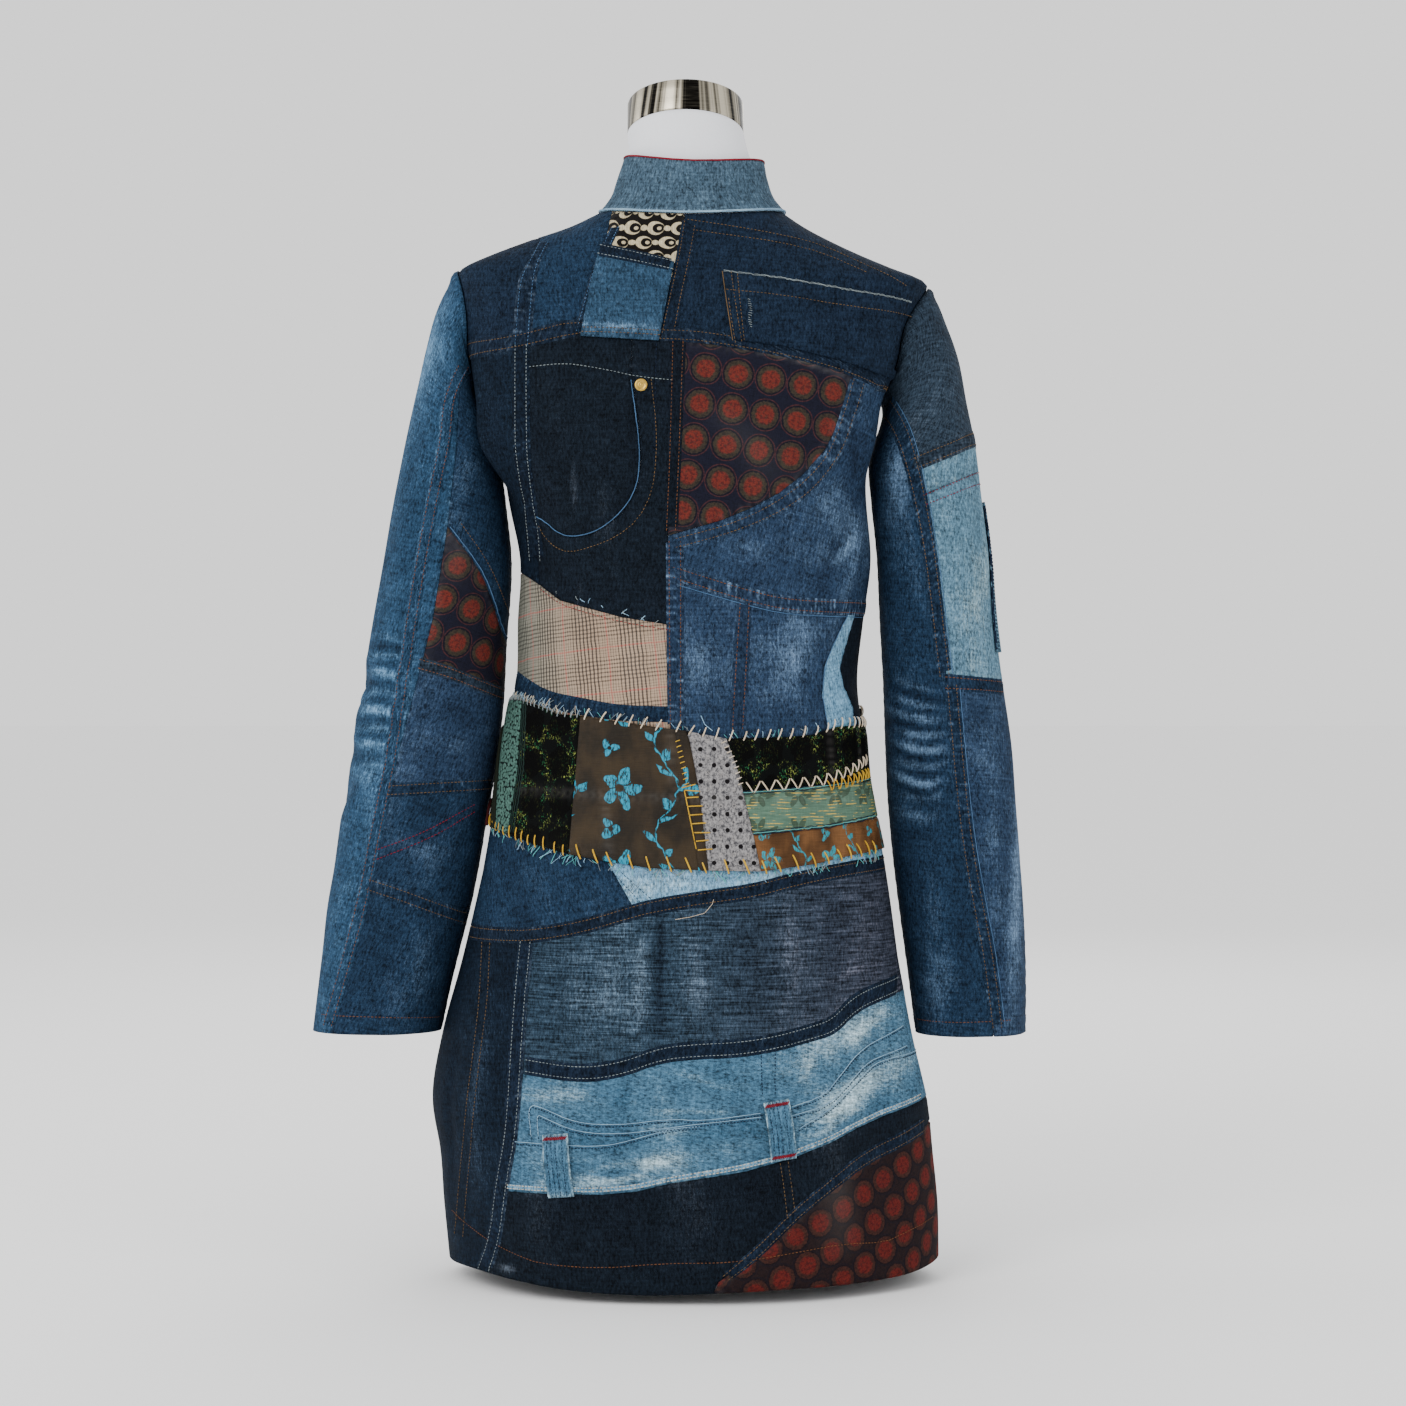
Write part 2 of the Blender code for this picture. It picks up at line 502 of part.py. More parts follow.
Cloth = namedtuple("Cloth", "colour rough metal")
CLOTHS = {
    "indigo_dark": Cloth((0.020, 0.034, 0.070), 0.85, 0.0),
    "indigo_black": Cloth((0.010, 0.014, 0.024), 0.85, 0.0),
    "indigo_mid": Cloth((0.030, 0.065, 0.140), 0.85, 0.0),
    "indigo_blue": Cloth((0.055, 0.130, 0.250), 0.85, 0.0),
    "blue_light": Cloth((0.230, 0.380, 0.480), 0.85, 0.0),
    "blue_bleached": Cloth((0.250, 0.420, 0.540), 0.85, 0.0),
    "slub_slate": Cloth((0.045, 0.060, 0.085), 0.85, 0.0),
    "collar_denim": Cloth((0.110, 0.190, 0.280), 0.85, 0.0),
    "ring_cloth": Cloth((0.020, 0.020, 0.022), 0.80, 0.0),
    "check_cloth": Cloth((0.500, 0.420, 0.350), 0.90, 0.0),
    "dot_cloth": Cloth((0.150, 0.040, 0.045), 0.80, 0.0),
    "lurex_black": Cloth((0.015, 0.022, 0.018), 0.60, 0.0),
    "brocade_brown": Cloth((0.070, 0.050, 0.028), 0.50, 0.0),
    "brocade_sage": Cloth((0.110, 0.200, 0.150), 0.60, 0.0),
    "grey_dotted": Cloth((0.300, 0.290, 0.290), 0.80, 0.0),
    "brass": Cloth((0.700, 0.550, 0.250), 0.30, 1.0),
    "form_jersey": Cloth((0.800, 0.800, 0.820), 0.90, 0.0),
    "form_metal": Cloth((0.400, 0.380, 0.340), 0.30, 1.0),
    "stand_steel": Cloth((0.600, 0.600, 0.600), 0.40, 1.0),
}


def clear_scene():
    """Start from nothing and make the two collections."""
    for old in list(bpy.data.objects):
        bpy.data.objects.remove(old, do_unlink=True)
    parts = bpy.data.collections.new("denim_jacket")
    cutters = bpy.data.collections.new("cutters")
    bpy.context.scene.collection.children.link(parts)
    bpy.context.scene.collection.children.link(cutters)
    return parts, cutters


def make_material(name):
    """A plain cloth or metal colour; the fine finish is made elsewhere."""
    found = bpy.data.materials.get(name)
    if found:
        return found
    cloth = CLOTHS[name]
    material = bpy.data.materials.new(name)
    material.use_nodes = True
    shader = material.node_tree.nodes["Principled BSDF"]
    shader.inputs["Base Color"].default_value = (*cloth.colour, 1.0)
    shader.inputs["Roughness"].default_value = cloth.rough
    shader.inputs["Metallic"].default_value = cloth.metal
    return material


def add_object(name, mesh, collection, cloth=None):
    """Put a mesh into the scene as a named object with its own material."""
    thing = bpy.data.objects.new(name, mesh)
    collection.objects.link(thing)
    if cloth:
        mesh.materials.clear()
        mesh.materials.append(make_material(cloth))
    return thing


def grid_mesh(name, points, closed, flipped=False, lid_low=False, lid_high=False):
    """Loft rows of points into a mesh; closed joins each row's ends, and a lid shuts an end."""
    rows, columns = points.shape[:2]
    shape = bmesh.new()
    verts = [[shape.verts.new(points[r, c]) for c in range(columns)] for r in range(rows)]
    last = columns if closed else columns - 1
    for r in range(rows - 1):
        for c in range(last):
            d = (c + 1) % columns
            corner = [verts[r][c], verts[r][d], verts[r + 1][d], verts[r + 1][c]]
            shape.faces.new(corner[::-1] if flipped else corner)
    for wanted, ring in ((lid_low, verts[0][::-1]), (lid_high, verts[-1])):
        if wanted:
            shape.faces.new(ring[::-1] if flipped else ring)
    mesh = bpy.data.meshes.new(name)
    shape.to_mesh(mesh)
    shape.free()
    return mesh


def solidify(thing, thickness):
    """Give an open surface its wall, on the inner side."""
    wall = thing.modifiers.new("wall", "SOLIDIFY")
    wall.thickness = thickness
    wall.offset = -1.0
    wall.use_quality_normals = True


def cut(thing, cutter, operation):
    """Cut or keep what a cutter covers."""
    boolean = thing.modifiers.new("cut", "BOOLEAN")
    boolean.operation = operation
    boolean.solver = "EXACT"
    boolean.object = cutter


def settle(thing, name):
    """Turn an object with its modifiers into a plain mesh and remove it."""
    graph = bpy.context.evaluated_depsgraph_get()
    mesh = bpy.data.meshes.new_from_object(thing.evaluated_get(graph))
    mesh.name = name
    bpy.data.objects.remove(thing, do_unlink=True)
    return mesh


def narrowed(outline, inset):
    """Move each side of a flat outline inwards by a small distance."""
    points = np.array(outline, dtype=float)
    ahead = np.roll(points, -1, axis=0)
    area = np.sum(points[:, 0] * ahead[:, 1] - ahead[:, 0] * points[:, 1])
    if area < 0:
        points = points[::-1]
        ahead = np.roll(points, -1, axis=0)
    run = ahead - points
    run /= np.linalg.norm(run, axis=1, keepdims=True)
    inward = np.stack([-run[:, 1], run[:, 0]], axis=1)
    before = np.roll(inward, 1, axis=0)
    middle = inward + before
    middle /= np.maximum(np.sum(middle * inward, axis=1, keepdims=True), 0.2)
    return points + middle * inset


def prism(name, outline, low, high, cutters, axis="y"):
    """A straight-sided cutter: an outline in millimetres pushed along Y, or along X for an armhole."""
    shape = bmesh.new()
    if axis == "y":
        ring = [shape.verts.new((a * MM, low, b * MM)) for a, b in outline]
        reach = (0.0, high - low, 0.0)
    else:
        ring = [shape.verts.new((low, a * MM, b * MM)) for a, b in outline]
        reach = (high - low, 0.0, 0.0)
    face = shape.faces.new(ring)
    pushed = bmesh.ops.extrude_face_region(shape, geom=[face])
    moved = [item for item in pushed["geom"] if isinstance(item, bmesh.types.BMVert)]
    bmesh.ops.translate(shape, verts=moved, vec=reach)
    bmesh.ops.recalc_face_normals(shape, faces=shape.faces)
    mesh = bpy.data.meshes.new(name)
    shape.to_mesh(mesh)
    shape.free()
    thing = add_object(name, mesh, cutters)
    thing.hide_render = True
    thing.display_type = "WIRE"
    return thing


def chain(outline):
    """Join seams and corners into one loop of points without repeats."""
    loop = []
    for step in outline:
        if isinstance(step, str):
            points = SEAMS[step.lstrip("-")]
            points = points[::-1] if step.startswith("-") else points
        else:
            points = (step,)
        for point in points:
            if not loop or loop[-1] != point:
                loop.append(point)
    if loop[0] == loop[-1]:
        loop.pop()
    return loop


def body_heights():
    """Levels of the body's rings: even below the chest, and closer round the armholes and the shoulders."""
    count = round((UPPER_LEVELS[0] - HEM_HEIGHT) / ROW_STEP)
    return list(np.linspace(HEM_HEIGHT, UPPER_LEVELS[0], count + 1)[:-1]) + list(UPPER_LEVELS)


def body_grid(heights, out):
    """Rings of the body's surface, moved out."""
    turns = np.arange(BODY_COLUMNS) * 360.0 / BODY_COLUMNS - 180.0
    angle, height = np.meshgrid(turns, heights)
    return offset_rings(body_surface(angle, height), np.full(angle.shape, out))


def sleeve_grid(side, out, first=0):
    """Rings of a sleeve's surface, moved out."""
    rows = SLEEVES[side][0]
    near = [0.0, 6.0] + [row.down for row in rows if 10 < row.down < 100]
    far = np.linspace(near[-1], rows[-1].down, round((rows[-1].down - near[-1]) / ROW_STEP) + 1)[1:]
    downs = np.array(near + list(far))[first:]
    turns = np.arange(SLEEVE_COLUMNS) * 360.0 / SLEEVE_COLUMNS - 180.0
    angle, down = np.meshgrid(turns, downs)
    return offset_rings(sleeve_surface(side, angle, down), np.full(angle.shape, -side * out))


def armhole_outline(side):
    """Oval of an armhole, in depth and height."""
    hole = ARMHOLES[side]
    turns = np.radians(np.arange(24) * 15.0)
    return [(hole.half_y * math.cos(t), hole.middle_z + hole.half_z * math.sin(t)) for t in turns]


def make_walls(cutters):
    """The four parent walls that the panels are cut from."""
    walls = {}
    body = add_object("body_wall", grid_mesh("body_wall", body_grid(body_heights(), 0.0), True), cutters)
    solidify(body, WALL)
    for side in (-1, 1):
        low, high = (-0.26, -0.11) if side < 0 else (0.11, 0.26)
        cut(body, prism("armhole", armhole_outline(side), low, high, cutters, "x"), "DIFFERENCE")
    walls["body"] = settle(body, "body_wall")
    skin = add_object("skin_wall", grid_mesh("skin_wall", body_grid(body_heights(), LIFT + SKIN), True), cutters)
    solidify(skin, SKIN)
    walls["skin"] = settle(skin, "skin_wall")
    for side, name in ((-1, "left"), (1, "right")):
        mesh = grid_mesh(name, sleeve_grid(side, 0.0), True, flipped=side > 0)
        sleeve = add_object(name, mesh, cutters)
        solidify(sleeve, WALL)
        walls[name] = settle(sleeve, name)
    return walls


def cut_panel(panel, walls, parts, cutters, low, high):
    """Keep one piece of a wall: what its outline covers between two depths."""
    outline = narrowed(chain(panel.outline), 500.0 * SEAM_GAP)
    thing = add_object(panel.name, walls[panel.wall].copy(), parts, panel.cloth)
    cut(thing, prism(panel.name + "_outline", outline, low, high, cutters), "INTERSECT")
    return thing


def make_back(walls, parts, cutters):
    """The patchwork of the back and the back halves of the sleeves."""
    for panel in PANELS:
        split = SIDE_SPLIT if panel.wall == "body" else SLEEVE_SPLIT
        cut_panel(panel, walls, parts, cutters, -REACH, split - 0.5 * SEAM_GAP)
    for panel in LAID_ON:
        high = panel.depth if panel.depth else SIDE_SPLIT - 0.5 * SEAM_GAP
        cut_panel(panel, walls, parts, cutters, -REACH, high)


def make_fronts(walls, parts, cutters):
    """The two fronts, the sleeves' front halves, the front of the waist band and the placket."""
    low = SIDE_SPLIT + 0.5 * SEAM_GAP
    for name, edge in (("front_left", -260), ("front_right", 260)):
        outline = ((edge, -20), (0, -20), (0, 900), (edge, 900))
        cut_panel(Panel(name, "body", "indigo_mid", outline), walls, parts, cutters, low, REACH)
    band = BAND_FRONT_TOP + BAND_FRONT_BASE[::-1]
    cut_panel(Panel("band_front", "skin", "brocade_brown", band), walls, parts, cutters, low, REACH)
    for name, (base, top) in PLACKETS.items():
        outline = ((-PLACKET_HALF, base), (PLACKET_HALF, base), (PLACKET_HALF, top), (-PLACKET_HALF, top))
        cut_panel(Panel(name, "skin", "indigo_dark", outline), walls, parts, cutters, low, REACH)
    low = SLEEVE_SPLIT + 0.5 * SEAM_GAP
    for name, wall, edge in (("sleeve_left_front", "left", -400), ("sleeve_right_front", "right", 400)):
        outline = ((edge, 100), (edge / 8, 100), (edge / 8, 900), (edge, 900))
        cut_panel(Panel(name, wall, "indigo_mid", outline), walls, parts, cutters, low, REACH)


def make_sleeve_pocket(parts, cutters):
    """The flat pocket on the outer side of the right sleeve."""
    mesh = grid_mesh("sleeve_pocket", sleeve_grid(1, LIFT + SKIN, 5), True, flipped=True)
    thing = add_object("sleeve_right_pocket", mesh, parts, "blue_light")
    solidify(thing, SKIN)
    outline = narrowed(SLEEVE_POCKET, 500.0 * SEAM_GAP)
    cut(thing, prism("sleeve_pocket_outline", outline, -14 * MM, 52 * MM, cutters), "INTERSECT")


def make_collar(parts):
    """The stand collar, open at the centre front."""
    step = 360.0 / BODY_COLUMNS
    turns = np.concatenate([[-178.5], np.arange(1, BODY_COLUMNS) * step - 180.0, [178.5]])
    angle, up = np.meshgrid(turns, [row.up for row in COLLAR])
    collar = add_object("collar", grid_mesh("collar", collar_surface(angle, up), False), parts, "collar_denim")
    solidify(collar, WALL)


def make_belt_loops(parts):
    """Two belt loops, sewn down at both ends and standing off the cloth between them."""
    for place in BELT_LOOPS:
        run = np.linspace(0.0, 1.0, 9)
        across, t = np.meshgrid((-LOOP_HALF, 0.0, LOOP_HALF), run)
        x = place.base_x + (place.top_x - place.base_x) * t + across
        height = place.base_z + (place.top_z - place.base_z) * t
        out = place.lift * MM + SKIN + LOOP_RISE * np.sin(np.pi * t) ** 0.6
        points = moved_out(body_surface, back_angle(x, height), height, out)
        loop = add_object(place.name, grid_mesh(place.name, points, False), parts, "blue_bleached")
        solidify(loop, SKIN)


def make_stud(name, angle, height, out, radius, thick, parts):
    """A round metal stud on the body's surface, with a rounded rim."""
    seat = moved_out(body_surface, np.array(angle, dtype=float), np.array(height, dtype=float), out)
    tip = moved_out(body_surface, np.array(angle, dtype=float), np.array(height, dtype=float), out + thick)
    middle = Vector(0.5 * (seat + tip))
    facing = Vector(tip - seat).to_track_quat("Z", "Y")
    bpy.ops.mesh.primitive_cylinder_add(vertices=STUD_SIDES, radius=radius, depth=thick)
    stud = bpy.context.object
    stud.name = name
    stud.data.name = name
    stud.location = middle
    stud.rotation_mode = "QUATERNION"
    stud.rotation_quaternion = facing
    move_to(stud, parts)
    stud.data.materials.append(make_material("brass"))
    rim = stud.modifiers.new("rim", "BEVEL")
    rim.width = 0.25 * thick
    rim.segments = 1


def move_to(thing, collection):
    """Keep an object in one collection only."""
    for home in list(thing.users_collection):
        home.objects.unlink(thing)
    collection.objects.link(thing)


def make_round(name, radius, height, place, lean, sides, cloth, parts, rim_width=0.0):
    """An upright or leaning cylinder whose lower face is centred on a place."""
    bpy.ops.mesh.primitive_cylinder_add(vertices=sides, radius=radius, depth=height)
    thing = bpy.context.object
    thing.name = name
    thing.data.name = name
    rise = Vector((0.0, math.sin(lean), math.cos(lean)))
    thing.location = Vector(place) + rise * (0.5 * height)
    thing.rotation_euler = (-lean, 0.0, 0.0)
    move_to(thing, parts)
    thing.data.materials.append(make_material(cloth))
    if rim_width:
        rim = thing.modifiers.new("rim", "BEVEL")
        rim.width = rim_width
        rim.segments = 2


def form_grid():
    """Rings of the dress form's torso and leaning neck."""
    heights = list(np.linspace(FORM_BOTTOM, UPPER_LEVELS[0], 8)[:-1]) + list(UPPER_LEVELS)
    turns = np.arange(BODY_COLUMNS) * 360.0 / BODY_COLUMNS - 180.0
    angle, height = np.meshgrid(turns, heights)
    inset = -along(FORM_GAP, "gap", height, "height") * MM
    torso = offset_rings(body_surface(angle, height, folded=False), inset)
    torso[0, :, 2] = FORM_BOTTOM * MM
    sine = np.sin(np.radians(turns))
    cosine = np.cos(np.radians(turns))
    rings = []
    for row in NECK:
        lean = CAP_LEAN * row.lean
        x = row.middle_x + row.across * sine
        y = row.middle_y - row.deep * cosine * math.cos(lean)
        z = row.height + row.deep * cosine * math.sin(lean)
        rings.append(np.stack([x, y, z], axis=-1) * MM)
    return np.concatenate([torso, np.array(rings)])


def make_form(parts):
    """The limbless dress form with its metal neck cap, pole and low round base."""
    mesh = grid_mesh("form_torso", form_grid(), True, lid_low=True, lid_high=True)
    form = add_object("form_torso", mesh, parts, "form_jersey")
    form.data.shade_smooth()
    make_round("form_neck_cap", CAP_RADIUS, CAP_HEIGHT, CAP_PLACE, CAP_LEAN, 32, "form_metal", parts, 1.2 * MM)
    foot = (*BASE_MIDDLE, BASE_HEIGHT + SEAM_GAP)
    length = FORM_BOTTOM * MM - BASE_HEIGHT - 2.0 * SEAM_GAP
    make_round("form_pole", POLE_RADIUS, length, foot, 0.0, 16, "stand_steel", parts)
    make_round("form_base", BASE_RADIUS, BASE_HEIGHT, (*BASE_MIDDLE, 0.0), 0.0, 32, "stand_steel", parts, 2.0 * MM)


def main():
    """Build every piece."""
    parts, cutters = clear_scene()
    walls = make_walls(cutters)
    make_back(walls, parts, cutters)
    make_fronts(walls, parts, cutters)
    make_sleeve_pocket(parts, cutters)
    make_collar(parts)
    make_belt_loops(parts)
    for number, height in enumerate(BUTTON_HEIGHTS, 1):
        make_stud(f"button_{number}", 180.0, height, LIFT + SKIN + 0.5 * MM, BUTTON_RADIUS, BUTTON_HEIGHT, parts)
    rivet_turn = float(back_angle(np.array(RIVET_PLACE[0]), np.array(RIVET_PLACE[1])))
    make_stud("pocket_rivet", rivet_turn, RIVET_PLACE[1], 0.4 * MM, RIVET_RADIUS, RIVET_HEIGHT, parts)
    make_form(parts)


main()
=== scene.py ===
# %% [markdown]
# # Patchwork denim jacket on a dress form
# The jacket is sewn from many pieces of worn jeans, each with its own colour and fading.
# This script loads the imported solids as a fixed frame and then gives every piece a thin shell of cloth,
# felled seams, rows of stitches and its own woven material. Sizes in the tables are millimetres.

# %% Load the frame
import math
import random
from collections import namedtuple

import bmesh
import bpy
import numpy as np
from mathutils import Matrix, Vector
from mathutils.geometry import delaunay_2d_cdt
from mathutils.kdtree import KDTree


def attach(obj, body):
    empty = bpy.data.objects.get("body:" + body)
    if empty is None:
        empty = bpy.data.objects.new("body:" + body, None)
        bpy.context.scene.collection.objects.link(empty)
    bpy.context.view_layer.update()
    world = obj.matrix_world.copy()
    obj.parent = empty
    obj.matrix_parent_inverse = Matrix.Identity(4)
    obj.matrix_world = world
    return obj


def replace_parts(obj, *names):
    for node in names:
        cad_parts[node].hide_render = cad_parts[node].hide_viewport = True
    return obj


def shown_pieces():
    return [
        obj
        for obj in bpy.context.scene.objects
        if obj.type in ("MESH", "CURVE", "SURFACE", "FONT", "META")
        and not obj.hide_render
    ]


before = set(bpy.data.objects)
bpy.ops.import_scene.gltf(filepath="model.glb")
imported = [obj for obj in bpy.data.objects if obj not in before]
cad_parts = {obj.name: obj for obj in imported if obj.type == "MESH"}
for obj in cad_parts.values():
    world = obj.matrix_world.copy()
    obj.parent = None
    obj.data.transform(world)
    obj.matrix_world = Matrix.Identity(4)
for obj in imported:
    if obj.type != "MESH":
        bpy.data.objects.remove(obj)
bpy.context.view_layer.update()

MM = 0.001
dice = random.Random(7)
print("solids in the frame:", len(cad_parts))

# %% [markdown]
# ## The form of the garment
# A coat's body is one closed tube of cloth. Rings of known width and depth at named heights give that tube,
# and a soft curve through the rings gives every level between them. A scan would be another way, but a short
# table can be read and changed. The same table is used in the solids, so the shell lies on them.

# %% Rings of the body
def table(kind, *rows):
    """Rows of values as rows with named columns."""
    return tuple(kind(*row) for row in rows)


HEM_HEIGHT = 12
NECK_HEIGHT = 868
BodyRow = namedtuple("BodyRow", "height left right back front boxy tuck")

# The body of the jacket, level by level, in millimetres from the centre line
BODY = table(BodyRow,
    (12, 195, 200, 134, 124, 2.2, 0.00), (58, 198, 198, 133, 123, 2.2, 0.00), (100, 200, 194, 131, 121, 2.2, 0.00),
    (142, 206, 190, 128, 119, 2.2, 0.00), (198, 198, 179, 122, 115, 2.2, 0.00), (255, 184, 171, 114, 110, 2.2, 0.00),
    (339, 168, 159, 102, 101, 2.2, 0.00), (405, 157, 146, 95, 96, 2.2, 0.00), (451, 150, 142, 92, 93, 2.2, 0.00),
    (486, 143, 138, 90, 92, 2.2, 0.00), (536, 141, 142, 91, 95, 2.2, 0.00), (584, 139, 148, 94, 100, 2.2, 0.00),
    (629, 153, 149, 99, 107, 2.4, 0.03), (676, 184, 166, 104, 112, 2.6, 0.16), (712, 184, 168, 104, 110, 2.8, 0.13),
    (737, 184, 173, 101, 105, 3.0, 0.07), (773, 185, 179, 95, 93, 3.0, 0.00), (800, 188, 191, 87, 79, 3.0, 0.00),
    (809, 189, 193, 84, 75, 2.9, 0.00), (821, 187, 166, 79, 69, 2.7, 0.00), (831, 167, 143, 75, 66, 2.6, 0.00),
    (843, 136, 118, 71, 64, 2.5, 0.00), (855, 102, 96, 68, 62, 2.3, 0.00), (868, 75, 77, 63, 60, 2.1, 0.00))

Fold = namedtuple("Fold", "angle width low high depth drift")

# Soft folds of the body: where round the body and how wide, in degrees; between which heights; depth in mm
FOLDS = table(Fold,
    (-100, 16, -60, 330, 7, 4), (-62, 15, -60, 240, -5, -3), (-15, 9, 120, 300, -3, 2), (14, 14, -60, 330, 4, 3),
    (48, 12, -60, 300, -5, 4), (82, 14, -60, 260, 5, -4), (118, 16, -60, 320, -6, 5), (152, 12, -60, 260, 5, -3),
    (-132, 15, -60, 280, -5, 4), (-158, 12, -60, 240, 5, 3), (-74, 14, 560, 720, -4, -16), (62, 12, 590, 740, -4, 10),
    (70, 14, 440, 560, -3, -20), (-66, 14, 440, 590, -3, 18), (125, 14, 560, 700, -4, -18),
    (-125, 14, 560, 700, -4, 18))
print("body rings:", len(BODY), "body folds:", len(FOLDS))

# %% Reading the tables
def smooth_step(low, high, value):
    """Rise softly from 0 at low to 1 at high."""
    t = np.clip((value - low) / (high - low), 0.0, 1.0)
    return t * t * (3.0 - 2.0 * t)


def bell(value):
    """One at nothing, falling softly to both sides."""
    return np.exp(-(value**2))


def along(rows, column, where):
    """Read one column of a table at any place in its first column, on a smooth curve through the rows."""
    xs = np.array([row[0] for row in rows], dtype=float)
    ys = np.array([getattr(row, column) for row in rows], dtype=float)
    slopes = np.gradient(ys, xs)
    where = np.clip(where, xs[0], xs[-1])
    index = np.clip(np.searchsorted(xs, where, side="right") - 1, 0, len(xs) - 2)
    span = xs[index + 1] - xs[index]
    t = (where - xs[index]) / span
    rise = ys[index + 1] - ys[index]
    lead = slopes[index] * span - rise
    tail = rise - slopes[index + 1] * span
    return ys[index] + t * rise + t * (1 - t) * ((1 - t) * lead + t * tail)


def rounded_box(angle, boxy):
    """Point of a unit oval: 2 is a circle, more is squarer. Returns the sideways and backward parts."""
    sine = np.sin(np.radians(angle))
    cosine = np.cos(np.radians(angle))
    size = (np.abs(sine) ** boxy + np.abs(cosine) ** boxy) ** (1.0 / boxy)
    return sine / size, cosine / size


def fold_depth(angle, height, folds=FOLDS):
    """Sum of the soft folds at a place on the body, in millimetres outwards."""
    total = np.zeros(np.broadcast(angle, height).shape)
    for fold in folds:
        middle = 0.5 * (fold.low + fold.high)
        reach = 0.5 * (fold.high - fold.low)
        rise = (height - middle) / reach
        centre = fold.angle + fold.drift * rise
        across = (angle - centre + 180.0) % 360.0 - 180.0
        window = np.clip(1.0 - rise * rise, 0.0, 1.0)
        total = total + fold.depth * bell(across / fold.width) * window
    return total


def body_level(angle, height):
    """Height above the floor: the neckline dips at the front and back, and the hem rises at the sides."""
    turn = np.radians(angle)
    neck_dip = -9.0 * np.clip(np.cos(turn), 0, 1) ** 2 - 24.0 * np.clip(-np.cos(turn), 0, 1) ** 2
    hem_lift = -3.0 + 8.0 * np.sin(turn) ** 2 + 1.5 * np.sin(5 * turn)
    neck = smooth_step(815.0, NECK_HEIGHT, height)
    hem = 1.0 - smooth_step(HEM_HEIGHT, 120.0, height)
    return height + neck_dip * neck + hem_lift * hem


def body_surface(angle, height, folded=True):
    """Outer face of the cloth, in metres: angle 0 is the centre back, +90 the right side, 180 the front."""
    angle = np.asarray(angle, dtype=float)
    height = np.asarray(height, dtype=float)
    across, facing = rounded_box(angle, along(BODY, "boxy", height))
    side = np.where(across > 0, along(BODY, "right", height), along(BODY, "left", height))
    deep = np.where(facing > 0, along(BODY, "back", height), along(BODY, "front", height))
    tuck = along(BODY, "tuck", height) * smooth_step(-0.60, -0.10, -facing)
    bulge = fold_depth(angle, height) if folded else 0.0
    x = (side * (1.0 - tuck) + bulge) * across
    y = -(deep + bulge) * facing
    return np.stack([x, y, body_level(angle, height)], axis=-1) * MM


def body_side(side, y, height):
    """Distance of the body's side from the centre line at a depth y, in millimetres."""
    key = "right" if side > 0 else "left"
    boxy = along(BODY, "boxy", height)
    deep = np.where(y < 0, along(BODY, "back", height), along(BODY, "front", height))
    facing = np.abs(y) / deep
    tuck = along(BODY, "tuck", height) * smooth_step(-0.60, -0.10, y / deep)
    across = np.clip(1.0 - facing ** boxy, 0.0, 1.0) ** (1.0 / boxy)
    return along(BODY, key, height) * (1.0 - tuck) * across
print("half width at the waist:", round(float(along(BODY, "left", 486)), 1), "mm")

# %% [markdown]
# ## Sleeves and collar
# A sleeve is a tube as well, but it leans outwards and its rings tilt at the shoulder, so each ring has an
# outer and an inner edge with heights of their own. The collar is a short open ring that leans with the neck.

# %% Rings of the sleeves
SOLID_WALL = 1.8
SleeveRow = namedtuple("SleeveRow", "down outer outer_z inner inner_z mid_y deep")

# Each sleeve's rings: distance down the sleeve, its outer and inner edge from the centre line and their
# heights, the ring's middle in depth and half its depth, in millimetres
LEFT_SLEEVE = table(SleeveRow,
    (0, 188, 822, 170, 729, 0, 46), (16, 199, 806, 172, 723, 1, 50), (34, 208, 786, 171, 716, 2, 55),
    (56, 216, 757, 167, 706, 4, 58), (82, 222, 731, 161, 694, 5, 60), (116, 230, 697, 158, 676, 7, 60),
    (149, 237, 664, 154, 652, 8, 59), (183, 244, 630, 151, 627, 10, 57), (228, 252, 585, 147, 585, 12, 55),
    (296, 264, 517, 151, 517, 13, 55), (350, 272, 463, 154, 463, 13, 55), (398, 280, 415, 160, 415, 14, 54),
    (437, 287, 376, 167, 376, 14, 53), (479, 293, 334, 174, 334, 15, 52), (513, 299, 300, 181, 300, 15, 51),
    (548, 303, 265, 190, 265, 16, 50), (581, 307, 232, 198, 232, 16, 48), (614, 311, 199, 205, 199, 17, 47))
RIGHT_SLEEVE = table(SleeveRow,
    (0, 192, 807, 149, 716, 0, 46), (14, 201, 798, 156, 713, 1, 50), (32, 210, 777, 158, 706, 2, 54),
    (60, 220, 749, 156, 695, 4, 57), (92, 227, 713, 151, 680, 5, 58), (124, 234, 680, 147, 662, 7, 57),
    (160, 239, 640, 149, 634, 8, 55), (212, 246, 585, 154, 585, 10, 53), (256, 250, 540, 156, 540, 11, 52),
    (310, 257, 486, 159, 486, 12, 52), (366, 265, 430, 161, 430, 13, 52), (408, 268, 388, 163, 388, 13, 52),
    (461, 272, 335, 168, 335, 14, 51), (508, 274, 288, 174, 288, 15, 50), (552, 275, 244, 180, 244, 16, 48),
    (599, 275, 197, 186, 197, 17, 46))
SLEEVE_BOXY = 2.15

